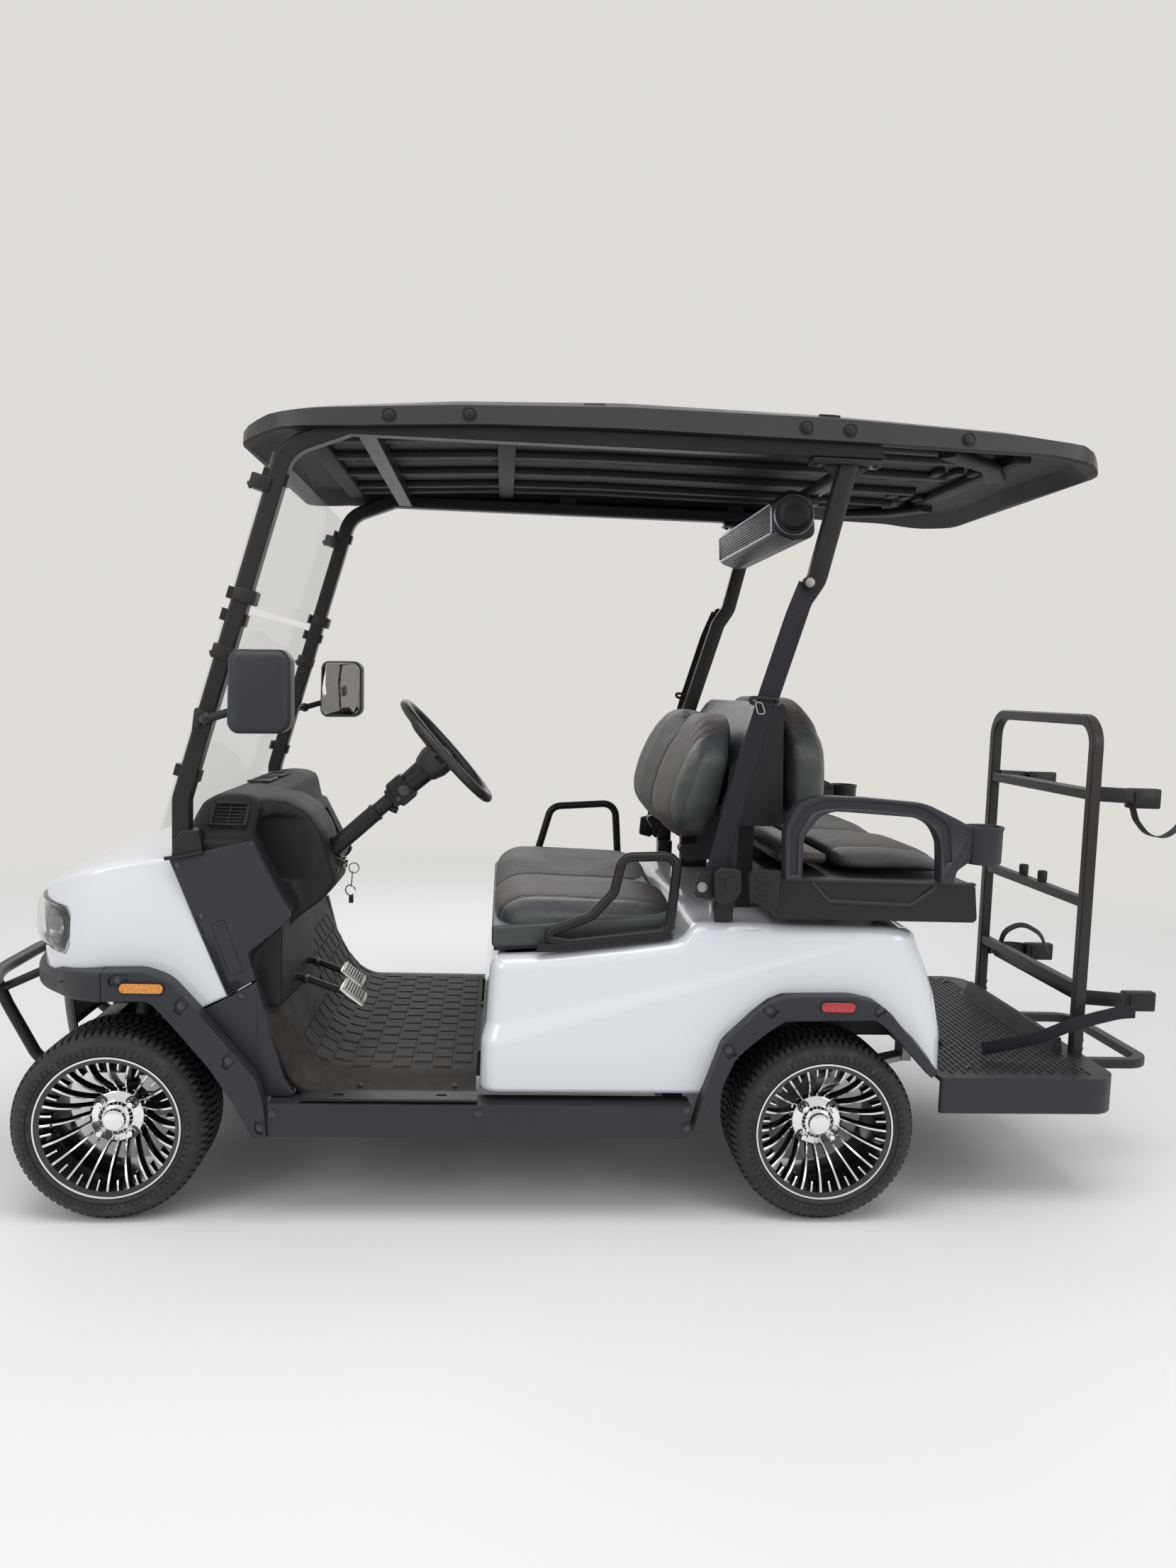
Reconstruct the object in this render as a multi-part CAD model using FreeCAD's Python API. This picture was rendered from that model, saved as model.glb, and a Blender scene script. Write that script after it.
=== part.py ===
import FreeCAD, Part
import math
import os

# Golf cart with two front seats, two rear-facing seats and a bag rack.
# Millimetres. While a piece is drawn, x runs forward from the rear axle, y runs to the
# driver's side and z up from the ground. Every piece is then moved along x so that the
# middle of the whole length stands at x = 0.

V = FreeCAD.Vector

# Driving dimensions of the whole cart
WHEELBASE = 1705.0
FRONT_TIP_X = 2145.0
TAIL_TIP_X = -1120.0
MIDDLE_X = (FRONT_TIP_X + TAIL_TIP_X) / 2.0
BODY_HALF = 560.0
FLARE_HALF = 612.0

# Wheels
TYRE_RADIUS = 227.5
TYRE_WIDTH = 215.0
RIM_LIP_RADIUS = 170.0
RIM_SEAT_RADIUS = 158.0
RIM_DISH = 78.0
TYRE_OUTER_Y = 600.0
TYRE_INNER_Y = TYRE_OUTER_Y - TYRE_WIDTH
RIM_OUTER_Y = 590.0
RIM_INNER_Y = 396.0
HUB_FACE_Y = RIM_OUTER_Y - RIM_DISH
HUB_RADIUS = 66.0
BLADES = 20
BLADE_THICK = 6.5
BLADE_STEPS = 4
LUG_CIRCLE = 101.6
LUG_COUNT = 4
SPINDLE_RADIUS = 15.0
RUNNING_GAP = 0.05

# Front running gear
KINGPIN_Y = 400.0
KINGPIN_RADIUS = 10.0
ARM_RISE = 64.0

# Body shells
SKIN = 5.0
FLOOR_TOP_Z = 330.0
SILL_TOP_Z = 295.0
SILL_BOTTOM_Z = 214.0
FLOOR_HALF = 510.0
FLOOR_EDGE = 547.0
MAT_HALF = 500.0
NOSE_X = 1984.0
HOOD_FALL = 0.075
HOOD_FLAT = 200.0
LENS_PROUD = 14.0
RAIL_PASS_X = 354.0

# Roof and its struts
STRUT_WIDTH = 44.0
PILLAR_Y = 545.0
PILLAR_LEAN = 15.82
PILLAR_FOOT = (1547.0, 1000.0)
PILLAR_TOP_Z = 1808.0
GLASS_GAP = 22.0
GLASS_THICK = 5.0
RAIL_Z = 1862.0

# Steering wheel and column
WHEEL_CENTRE = (952.0, 1114.0)
COLUMN_Y = 300.0
COLUMN_TILT = 42.5
WHEEL_PIN_RADIUS = 12.0

# Seats
SEAT_HALF = 525.0
REAR_SEAT_HALF = 500.0
HIP_Y = 546.0
SHELL_ARM_Y = 330.0

# Rear rack
RACK_X = -764.0
RACK_HALF = 313.0
RACK_TUBE = 30.0
RACK_TOP_Z = 1262.0


def edges_through(points, radius, closed):
    """Straight runs joined by tangent arcs; radius is one value or one per point."""
    count = len(points)
    radii = list(radius) if isinstance(radius, (list, tuple)) else [radius] * count
    starts = []
    ends = []
    middles = []
    for i, here in enumerate(points):
        inner = closed or 0 < i < count - 1
        before = points[i - 1]
        after = points[(i + 1) % count]
        back = before.sub(here)
        ahead = after.sub(here)
        turn = math.pi - back.getAngle(ahead) if inner else 0.0
        reach = radii[i] * math.tan(turn / 2.0) if inner and turn > 0.001 else 0.0
        reach = min(reach, 0.49 * back.Length, 0.49 * ahead.Length) if inner else 0.0
        if reach < 0.01:
            starts.append(here)
            ends.append(here)
            middles.append(None)
            continue
        back.normalize()
        ahead.normalize()
        bend = reach / math.tan(turn / 2.0)
        inward = back.add(ahead).normalize()
        starts.append(here.add(back.multiply(reach)))
        ends.append(here.add(ahead.multiply(reach)))
        middles.append(here.add(inward.multiply(bend / math.cos(turn / 2.0) - bend)))
    edges = []
    for i in range(count):
        if middles[i] is not None:
            edges.append(Part.Arc(starts[i], middles[i], ends[i]).toShape())
        if i == count - 1 and not closed:
            break
        following = starts[(i + 1) % count]
        if ends[i].distanceToPoint(following) > 0.01:
            edges.append(Part.LineSegment(ends[i], following).toShape())
    return Part.Wire(edges)


def face_of(points, radius=0.0):
    """Flat face inside a closed outline."""
    return Part.Face(edges_through(points, radius, True))


def side_cut(outline, y_low, y_high, radius=0.0):
    """Slab with an outline of (x, z) points, from y_low to y_high."""
    face = face_of([V(x, y_low, z) for x, z in outline], radius)
    return face.extrude(V(0, y_high - y_low, 0))


def plan_cut(outline, z_low, z_high, radius=0.0):
    """Slab with an outline of (x, y) points, from z_low to z_high."""
    face = face_of([V(x, y, z_low) for x, y in outline], radius)
    return face.extrude(V(0, 0, z_high - z_low))


def front_cut(outline, x_low, x_high, radius=0.0):
    """Slab with an outline of (y, z) points, from x_low to x_high."""
    face = face_of([V(x_low, y, z) for y, z in outline], radius)
    return face.extrude(V(x_high - x_low, 0, 0))


def block(x0, x1, y0, y1, z0, z1):
    """Rectangular block between two corners."""
    y0, y1 = sorted((y0, y1))
    return Part.makeBox(x1 - x0, y1 - y0, z1 - z0, V(x0, y0, z0))


def rod(start, end, radius):
    """Round bar from one point to another."""
    run = V(*end).sub(V(*start))
    return Part.makeCylinder(radius, run.Length, V(*start), run)


def mirrored(shape):
    """The same piece on the other side of the cart."""
    return shape.mirror(V(0, 0, 0), V(0, 1, 0))


def both_sides(shape):
    """The piece and its mirror image, as two solids."""
    return Part.makeCompound([shape, mirrored(shape)])


def fused(shapes):
    """One solid from pieces that meet."""
    whole = shapes[0].fuse(list(shapes[1:])) if len(shapes) > 1 else shapes[0]
    return whole.removeSplitter()


def bar(points, bend, width, height=None, round_section=False):
    """Tube along straight runs and tangent bends; the section is round or a soft square."""
    path = edges_through([V(*p) for p in points], bend, False)
    height = height or width
    first = path.OrderedEdges[0]
    start = first.valueAt(first.FirstParameter)
    along = first.tangentAt(first.FirstParameter)
    if round_section:
        profile = Part.Wire(Part.makeCircle(width / 2.0, start, along))
    else:
        level = V(0, 0, 1) if abs(along.z) < 0.9 else V(1, 0, 0)
        across = along.cross(level).normalize()
        upright = across.cross(along).normalize()
        corners = []
        for a, b in ((-1, -1), (1, -1), (1, 1), (-1, 1)):
            offset = V(across).multiply(a * width / 2.0).add(V(upright).multiply(b * height / 2.0))
            corners.append(start.add(offset))
        profile = edges_through(corners, 0.16 * min(width, height), True)
    return path.makePipeShell([profile], True, False)


def save(name, shape):
    """Write one piece in the cart's own frame."""
    placed = shape.copy()
    placed.translate(V(-MIDDLE_X, 0, 0))
    placed.exportStep("parts/" + name + ".step")


# Wheels

def tyre(axle_x, side):
    """Low-profile tyre: rounded shoulders, open in the middle for the rim."""
    inner = side * TYRE_INNER_Y
    outer = side * TYRE_OUTER_Y
    edge = side * 22.0
    section = [
        (inner + edge, RIM_SEAT_RADIUS), (outer - edge, RIM_SEAT_RADIUS),
        (outer - side * 6.0, RIM_LIP_RADIUS + 4.0), (outer, 196.0), (outer - side * 10.0, 217.0),
        (outer - side * 34.0, TYRE_RADIUS), (inner + side * 34.0, TYRE_RADIUS),
        (inner + side * 10.0, 217.0), (inner, 196.0), (inner + side * 6.0, RIM_LIP_RADIUS + 4.0),
    ]
    rounding = [0, 0, 6, 14, 12, 12, 12, 12, 14, 6]
    face = face_of([V(0, y, r) for y, r in section], rounding)
    ring = face.revolve(V(0, 0, 0), V(0, 1, 0), 360)
    ring.translate(V(axle_x, 0, TYRE_RADIUS))
    return ring


def dish_depth(radius):
    """How far a blade's edge lies behind the lip at a radius: steep at the hub, level at the ring."""
    return RIM_DISH * ((RIM_LIP_RADIUS - radius) / (RIM_LIP_RADIUS - HUB_RADIUS)) ** 2


def blade(side, turn, inner_r, back_depth):
    """One thin radial blade with a curved front edge, from inner_r out to the barrel."""
    outer_r = RIM_SEAT_RADIUS - 3
    radii = [outer_r - k * (outer_r - inner_r) / BLADE_STEPS for k in range(BLADE_STEPS + 1)]
    front = [(RIM_OUTER_Y - 5 - dish_depth(r), r) for r in radii]
    outline = front + [(front[-1][0] - back_depth, inner_r), (front[0][0] - back_depth, outer_r)]
    face = face_of([V(-BLADE_THICK / 2, side * y, r) for y, r in outline])
    solid = face.extrude(V(BLADE_THICK, 0, 0))
    return solid.rotate(V(0, 0, 0), V(0, 1, 0), turn)


def rim(axle_x, side):
    """Alloy wheel: barrel, hub disc, long blades and short stubs; the spindle runs in its bore."""
    section = [
        (RIM_INNER_Y, RIM_SEAT_RADIUS - 6), (RIM_INNER_Y, RIM_LIP_RADIUS - 2),
        (RIM_INNER_Y + 7, RIM_LIP_RADIUS - 2),
        (RIM_INNER_Y + 11, RIM_SEAT_RADIUS), (RIM_OUTER_Y - 15, RIM_SEAT_RADIUS),
        (RIM_OUTER_Y - 8, RIM_LIP_RADIUS),
        (RIM_OUTER_Y, RIM_LIP_RADIUS), (RIM_OUTER_Y, RIM_LIP_RADIUS - 4),
        (RIM_OUTER_Y - 6, RIM_SEAT_RADIUS - 6),
    ]
    barrel = face_of([V(0, side * y, r) for y, r in section]).revolve(V(0, 0, 0), V(0, 1, 0), 360)
    hub_section = [
        (HUB_FACE_Y - 30, SPINDLE_RADIUS + RUNNING_GAP), (HUB_FACE_Y - 30, HUB_RADIUS),
        (HUB_FACE_Y - 6, HUB_RADIUS),
        (HUB_FACE_Y, HUB_RADIUS - 5), (HUB_FACE_Y + 4, 42), (HUB_FACE_Y + 22, 32), (HUB_FACE_Y + 30, 24),
        (HUB_FACE_Y + 30, 0), (HUB_FACE_Y + 20, 0), (HUB_FACE_Y + 20, SPINDLE_RADIUS + RUNNING_GAP),
    ]
    hub = face_of([V(0, side * y, r) for y, r in hub_section]).revolve(V(0, 0, 0), V(0, 1, 0), 360)
    pieces = [hub]
    pitch = 360.0 / BLADES
    for i in range(BLADES):
        pieces.append(blade(side, i * pitch, HUB_RADIUS - 8, 22.0))
        pieces.append(blade(side, (i + 0.5) * pitch, RIM_SEAT_RADIUS - 26, 16.0))
    for i in range(LUG_COUNT):
        turn = math.radians(45 + i * 360.0 / LUG_COUNT)
        centre = V(LUG_CIRCLE / 2 * math.cos(turn), side * (HUB_FACE_Y - 2),
                   LUG_CIRCLE / 2 * math.sin(turn))
        pieces.append(Part.makeCylinder(9, 16, centre, V(0, side, 0)))
    whole = barrel.fuse(pieces)
    whole.translate(V(axle_x, 0, TYRE_RADIUS))
    return whole


def knuckle(side):
    """Kingpin barrel, spindle and steering arm of one front wheel."""
    centre = (WHEELBASE, side * KINGPIN_Y, TYRE_RADIUS)
    barrel = Part.makeCylinder(19, 98, V(centre[0], centre[1], TYRE_RADIUS - 49))
    bore = Part.makeCylinder(KINGPIN_RADIUS + RUNNING_GAP, 98, V(centre[0], centre[1], TYRE_RADIUS - 49))
    spindle_end = side * (HUB_FACE_Y + 18)
    spindle = rod(centre, (WHEELBASE, spindle_end, TYRE_RADIUS), SPINDLE_RADIUS)
    drum = rod((WHEELBASE, side * (KINGPIN_Y + 12), TYRE_RADIUS),
               (WHEELBASE, side * (HUB_FACE_Y - 36), TYRE_RADIUS), 46)
    arm = bar([(WHEELBASE, side * KINGPIN_Y, TYRE_RADIUS - 34),
               (WHEELBASE - 112, side * (KINGPIN_Y - 22), TYRE_RADIUS - 34)],
              0, 26, 14)
    eye = Part.makeCylinder(15, 18, V(WHEELBASE - 112, side * (KINGPIN_Y - 22), TYRE_RADIUS - 43))
    return fused([barrel, spindle, drum, arm, eye]).cut(bore)


def front_suspension():
    """Cross-member, lower and upper arms, and a coil-over strut on each side."""
    beam = block(WHEELBASE - 45, WHEELBASE + 45, -248, 248, 236, 300)
    tower = block(WHEELBASE - 30, WHEELBASE + 30, -276, 276, 440, 500)
    legs = [block(WHEELBASE - 26, WHEELBASE + 26, s * 236 - 12, s * 236 + 12, 300, 450) for s in (-1, 1)]
    pieces = [beam, tower] + legs
    for s in (-1, 1):
        for z in (TYRE_RADIUS - ARM_RISE, TYRE_RADIUS + ARM_RISE):
            for dx in (-58, 58):
                pieces.append(bar([(WHEELBASE + dx, s * 244, z + 12), (WHEELBASE, s * KINGPIN_Y, z)], 0,
                                  20, round_section=True))
            pieces.append(Part.makeCylinder(16, 18, V(WHEELBASE, s * KINGPIN_Y, z - 9)))
            pieces.append(block(WHEELBASE - 75, WHEELBASE + 75, s * 248 - 12, s * 248 + 12, z - 2, z + 26))
        pieces.append(rod((WHEELBASE, s * KINGPIN_Y, TYRE_RADIUS - ARM_RISE),
                          (WHEELBASE, s * KINGPIN_Y, TYRE_RADIUS + ARM_RISE),
                          KINGPIN_RADIUS))
        pieces.append(rod((WHEELBASE, s * 322, TYRE_RADIUS + ARM_RISE), (WHEELBASE, s * 262, 470), 10))
        pieces.append(rod((WHEELBASE, s * 316, 318), (WHEELBASE, s * 275, 444), 26))
    return fused(pieces)


def rear_axle():
    """Axle tube with the gear case and the electric motor lying across."""
    tube = rod((0, -376, TYRE_RADIUS), (0, 376, TYRE_RADIUS), 36)
    case = Part.makeSphere(96, V(0, 40, TYRE_RADIUS))
    case = case.common(block(-100, 100, -50, 130, 120, 340))
    motor = rod((-140, -250, TYRE_RADIUS + 26), (-140, 90, TYRE_RADIUS + 26), 82)
    mount = block(-140, 0, -30, 70, TYRE_RADIUS - 40, TYRE_RADIUS + 60)
    pieces = [tube, case, motor, mount]
    for s in (-1, 1):
        pieces.append(rod((0, s * 352, TYRE_RADIUS), (0, s * 380, TYRE_RADIUS), 62))
        pieces.append(rod((0, s * 376, TYRE_RADIUS), (0, s * (HUB_FACE_Y + 18), TYRE_RADIUS),
                          SPINDLE_RADIUS))
    return fused(pieces)


def rear_springs():
    """Leaf spring, shackle and shock absorber on each side of the axle."""
    pieces = []
    for s in (-1, 1):
        y = s * 300
        leaf = bar([(-290, y, 330), (-60, y, 276), (60, y, 276), (300, y, 318)], 260, 50, 16)
        clamp = block(-45, 45, y - 31, y + 31, 262, 292)
        shackle = block(-302, -278, y - 31, y + 31, 322, 372)
        eye = block(288, 312, y - 31, y + 31, 308, 362)
        shock = rod((30, s * 300, 285), (150, s * 288, 560), 18)
        pieces.append(fused([leaf, clamp, shackle, eye, shock]))
    return Part.makeCompound(pieces)


def frame():
    """Ladder frame: two long rails that rise over the rear axle, and cross-members."""
    pieces = []
    for s in (-1, 1):
        rail = bar([(1950, s * 225, 275), (330, s * 225, 275), (190, s * 225, 400), (-330, s * 225, 400),
                    (-420, s * 225, 295), (-770, s * 225, 295)], 60, 46, 70)
        pieces.append(rail)
        pieces.append(block(282, 318, s * 240, s * 330, 362, 384))
        pieces.append(block(-312, -268, s * 240, s * 330, 372, 392))
        for x in (340, 860, 1240):
            pieces.append(block(x, x + 50, s * 240, s * 556, 240, 285))
            pieces.append(block(x, x + 50, s * 246, s * 300, 285, 311))
        pieces.append(block(130, 172, s * 205, s * 275, 425, 600))
        pieces.append(block(440, 780, s * 205, s * 245, 300, 311))
    for x in (360, 840, 1300, 1900, -760):
        z = 295 if x < 0 else 275
        pieces.append(block(x, x + 44, -215, 215, z - 28, z + 28))
    pieces.append(block(-20, 24, -215, 215, 380, 420))
    return fused(pieces)


def battery_pack():
    """Sealed battery block under the front seat."""
    return block(420, 800, -330, 330, 311, 600)


def floor_pan():
    """Floor, rising at the front into the toe board and falling at each side to its sill."""
    outline = [(850, 311), (1255, 311), (1395, 560), (1379, 566), (1244, FLOOR_TOP_Z), (850, FLOOR_TOP_Z)]
    ramp = [(FLOOR_HALF, 311), (FLOOR_HALF, FLOOR_TOP_Z), (FLOOR_EDGE, SILL_TOP_Z + 6),
            (FLOOR_EDGE, SILL_TOP_Z)]
    toe = [(1244, 296), (1262, 296), (1400, 545), (1384, 552)]
    pieces = [side_cut(outline, -FLOOR_HALF, FLOOR_HALF)]
    for s in (-1, 1):
        pieces.append(front_cut([(s * y, z) for y, z in ramp], 850, 1250))
        pieces.append(side_cut(toe, *sorted((s * (FLOOR_HALF - 4), s * (BODY_HALF - 13)))))
    return fused(pieces)


def floor_mat():
    """Rubber mat with raised pads and drain slots near the sills."""
    mat = block(862, 1238, -MAT_HALF, MAT_HALF, FLOOR_TOP_Z, FLOOR_TOP_Z + 6)
    pads = []
    for row in range(4):
        for column in range(7):
            x = 890 + row * 88
            y = -450 + column * 134
            pads.append(block(x, x + 56, y, y + 96, FLOOR_TOP_Z + 4, FLOOR_TOP_Z + 10))
    return mat.fuse(pads)


def sills():
    """Rocker panel on each side, a C-shaped moulding."""
    outline = [(535, SILL_TOP_Z), (606, SILL_TOP_Z), (FLARE_HALF - 6, SILL_TOP_Z - 8),
               (FLARE_HALF - 10, SILL_BOTTOM_Z),
               (560, SILL_BOTTOM_Z), (560, SILL_BOTTOM_Z + 8), (FLARE_HALF - 18, SILL_BOTTOM_Z + 8),
               (FLARE_HALF - 15, SILL_TOP_Z - 12), (535, SILL_TOP_Z - 10)]
    piece = front_cut(outline, 335, 1334)
    return both_sides(piece)


# Front body

def cowl_block(inset):
    """The front cowl's outer form, drawn in by an inset for its hollow."""
    i = inset
    side = [(1380, 430), (2010, 430), (NOSE_X + 4 - i, 560), (NOSE_X - i, 728 - i), (1900, 790 - i),
            (1790, 850 - i),
            (1660, 884 - i), (1380, 893 - i)]
    quarter = [(1380, 562 - i), (1784, 562 - i), (1890 - i, 456 - i), (1961 - i, 276), (NOSE_X - i, 85)]
    bends = [0, 170, 330, 760, 1200]
    plan = quarter + [(x, -y) for x, y in reversed(quarter)]
    face = face_of([V(x, 0, z) for x, z in side], [0, 0, 60, 22, 900, 600, 400, 0])
    solid = plan_cut(plan, 400, 1000, bends + bends[::-1])
    for s in (-1, 1):
        tilted = face.extrude(V(0, s * 1400, -HOOD_FALL * 1400))
        tilted.translate(V(0, -s * 700, HOOD_FALL * (700 - HOOD_FLAT)))
        solid = solid.common(tilted)
    solid = solid.common(face.extrude(V(0, 1400, 0)).translate(V(0, -700, 0)))
    sides = [(-566 + i, 300), (566 - i, 300), (566 - i, 690), (546 - i, 850), (546 - i, 1000),
             (-546 + i, 1000),
             (-546 + i, 850), (-566 + i, 690)]
    return solid.common(front_cut(sides, 1300, 2100, [0, 0, 90, 0, 0, 0, 0, 90]))


ARCH_FRONT = [(1366, 211), (1408, 290), (1470, 382), (1565, 494), (1605, 536), (1712, 539), (1832, 547)]
FLARE_FRONT_TOP = [(1832, 592), (1712, 603), (1619, 606), (1565, 589), (1498, 516), (1361, 354),
                   (1343, 294), (1335, 211)]


LAMP_WINDOW = [(1822, 628), (2100, 622), (2100, 733), (1816, 733), (1805, 700)]


def front_cowl():
    """White front cowl: an open-backed shell over the front wheels."""
    shell = cowl_block(0).cut(cowl_block(SKIN))
    rear = [(1300, 400), (1300, 1000), (1640, 1000), (1577, 858), (1438, 538), (1511, 502), (1440, 400)]
    shell = shell.cut(side_cut(rear, -700, 700))
    below = [(1400, 380), (1511, 502), (1566, 588), (1619, 605), (1712, 602), (1832, 588), (1862, 575),
             (1920, 565),
             (2050, 555), (2050, 380)]
    shell = shell.cut(side_cut(below, -700, 700))
    lamp = side_cut(LAMP_WINDOW, 300, 700, 12)
    return shell.cut(lamp).cut(mirrored(lamp))


def headlamps():
    """Wrap-around lamp in each front corner: the lens in front of its bowl."""
    body = cowl_block(-LENS_PROUD).cut(cowl_block(SKIN + 50))
    window = side_cut(LAMP_WINDOW, 300, 700, 12)
    lamp = body.common(window)
    return both_sides(lamp)


def front_bumper():
    """Charcoal bumper band round the nose with the dark lower panel between the wheels."""
    band = cowl_block(-14).cut(cowl_block(SKIN + 8))
    zone = side_cut([(1712, 528), (1856, 529), (2060, 518), (2060, 556), (1920, 566), (1862, 576),
                     (1832, 590), (1712, 603)],
                    -700, 700)
    band = band.common(zone)
    panel_plan = [(1935, -262), (1972, -200), (1985, 0), (1972, 200), (1935, 262), (1927, 262),
                  (1958, 196), (1970, 0),
                  (1958, -196), (1927, -262)]
    panel = plan_cut(panel_plan, 320, 545)
    return fused([band, panel])


def front_flares():
    """Wheel-arch flare with a flat outer face on each side."""
    outline = ARCH_FRONT[:6] + [(1712, 603)] + FLARE_FRONT_TOP[2:]
    face = side_cut(outline, BODY_HALF - 4, FLARE_HALF)
    hollow = [(1375, 200), (1418, 284), (1478, 374), (1572, 486), (1612, 524), (1712, 526), (1712, 592),
              (1622, 594), (1572, 578), (1508, 508), (1372, 350), (1354, 292), (1347, 200)]
    cup = face.cut(side_cut(hollow, BODY_HALF - 10, FLARE_HALF - 6))
    return both_sides(cup)


def brush_guard():
    """Round-tube guard in front of the nose: two uprights and a bowed cross tube."""
    pieces = []
    for s in (-1, 1):
        pieces.append(bar([(1900, s * 225, 268), (1985, s * 240, 262), (2070, s * 240, 420),
                           (2099, s * 240, 486)],
                          70, 30, round_section=True))
        pieces.append(bar([(2088, s * 240, 460), (1940, s * 240, 530)], 0, 22, round_section=True))
    cross = bar([(2070, -330, 486), (2128, -150, 486), (2128, 150, 486), (2070, 330, 486)], 400, 34,
                round_section=True)
    pieces.append(cross)
    return fused(pieces)


def dash_hump(inset):
    """Raised top of the dash with the housing round the steering column, drawn in by an inset."""
    i = inset
    top = [(1556 - i, 860), (1545 - i, 930), (1500 - i, 985 - i), (1420, 1002 - i), (1388 + i, 985 - i),
           (1392 + i, 860)]
    arch = [(-540 + i, 850), (-535 + i, 905), (-430, 1004 - i), (430, 1004 - i), (535 - i, 905),
            (540 - i, 850)]
    raised = side_cut(top, -545, 545, [0, 60, 60, 60, 20, 0])
    raised = raised.common(front_cut(arch, 1200, 1600, [0, 40, 120, 120, 40, 0]))
    house = [(1450, 1000 - i), (1335, 990 - i), (1283 + i, 962 - i), (1250 + i, 912), (1234 + i, 862),
             (1222 + i, 795),
             (1245 + i, 742 + i), (1300, 700 + i), (1345, 668 + i), (1450, 668 + i)]
    plan = [(1220, 165 + i), (1220, 395 - i), (1450, 440 - i), (1450, 120 + i)]
    housing = side_cut(house, 100, 460, [0, 60, 60, 60, 60, 30, 30, 0, 0, 0])
    housing = housing.common(plan_cut(plan, 600, 1050, [60, 60, 0, 0]))
    return raised.fuse(housing)


def dashboard():
    """Dash moulding across the cart: a hollow shell with a tray and the column's housing."""
    outer = [(1395, 905), (1560, 905), (1575, 863), (1440, 545), (1396, 566), (1385, 640), (1318, 708),
             (1300, 735), (1386, 908)]
    skin = 6
    shell = side_cut(outer, -548, 548, [0, 20, 20, 0, 0, 20, 30, 20, 20]).fuse(dash_hump(0))
    inner = [(1398, 899), (1556, 899), (1566, 863), (1448, 590), (1402, 590), (1392, 644), (1324, 714),
             (1308, 737), (1390, 899)]
    hollow = side_cut(inner, -542, 542).fuse(dash_hump(skin))
    opening = block(1250, 1420, -500, -120, 740, 880)
    tray = block(1330, 1500, -500, -120, 740, 880).cut(block(1320, 1494, -494, -126, 746, 874))
    boss = rod(on_column(440), on_column(385), 40)
    return shell.cut(hollow).cut(opening).fuse([tray, boss])


def dash_sides():
    """Side panel of the dash and the leg panel that runs down to the sill."""
    upper = [(1573, 862), (1498, 880), (1386, 908), (1295, 731), (1306, 713), (1392, 641), (1371, 576),
             (1334, 433),
             (1304, 337), (1275, 296), (1345, 296), (1361, 354), (1490, 506), (1436, 537)]
    piece = side_cut(upper, BODY_HALF - 12, BODY_HALF + 6, [0, 0, 12, 10, 10, 15, 0, 60, 60, 0, 0, 0, 0, 0])
    pocket = side_cut([(1476, 710), (1446, 721), (1401, 596), (1431, 587)], BODY_HALF + 3,
                      BODY_HALF + 10, 8)
    return both_sides(piece.cut(pocket))


# Windshield, pillars and roof

def pillar_x(z):
    """Centre of the slanted front pillar at a height."""
    return PILLAR_FOOT[0] - (z - PILLAR_FOOT[1]) * math.tan(math.radians(PILLAR_LEAN))


def pillar_path(s):
    """Centre line of the front pillar and the roof rail behind it."""
    y = s * PILLAR_Y
    return [(PILLAR_FOOT[0] - 1, y, 876), (PILLAR_FOOT[0], y, PILLAR_FOOT[1]),
            (pillar_x(PILLAR_TOP_Z), y, PILLAR_TOP_Z),
            (1180, y, RAIL_Z), (-60, y, RAIL_Z)]


def roof_frame():
    """Square-tube pillars that bend back into the roof rails, with cross bars."""
    pieces = [bar(pillar_path(s), [0, 60, 90, 0, 0], STRUT_WIDTH, 40) for s in (-1, 1)]
    pieces.append(block(1120, 1160, -530, 530, RAIL_Z - 16, RAIL_Z + 16))
    pads = []
    for s in (-1, 1):
        for x in (1150, 620, 70):
            pads.append(block(x - 25, x + 25, s * PILLAR_Y - 20, s * PILLAR_Y + 20, RAIL_Z,
                              1960).common(canopy_hollow()))
        for z in (1060, 1420, 1470, 1740):
            clamp = block(-26, 34, s * PILLAR_Y - 12, s * PILLAR_Y + 12, -14, 14)
            clamp.rotate(V(0, 0, 0), V(0, 1, 0), -PILLAR_LEAN)
            clamp.translate(V(pillar_x(z), 0, z))
            pads.append(clamp)
    return fused(pieces + pads)


def rear_struts():
    """Bent rear strut on each side with a cross beam under the roof."""
    pieces = []
    for s in (-1, 1):
        y = s * PILLAR_Y
        pieces.append(bar([(14, y, 1836), (78, y, 1560), (110, y, 1510), (262, y, 1000), (262, y, 640)],
                          [0, 60, 60, 120, 0], STRUT_WIDTH, 36))
        pieces.append(block(-62, 106, y - 27, y + 27, 1831, RAIL_Z - 20))
    pieces.append(bar([(20, -535, 1816), (20, 535, 1816)], 0, 34, 30))
    return fused(pieces)


def canopy_hollow():
    """Space under the roof moulding, inside its rim."""
    low = [(1340, 1700), (1300, 1862), (1237, 1898), (935, 1924), (555, 1941), (63, 1941), (-360, 1917),
           (-500, 1900),
           (-540, 1700)]
    plan = [(-600, -450), (-530, -570), (1310, -570), (1400, -460), (1400, 460), (1310, 570),
            (-530, 570), (-600, 450)]
    return side_cut(low, -600, 600).common(plan_cut(plan, 1600, 2000, 100))


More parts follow.
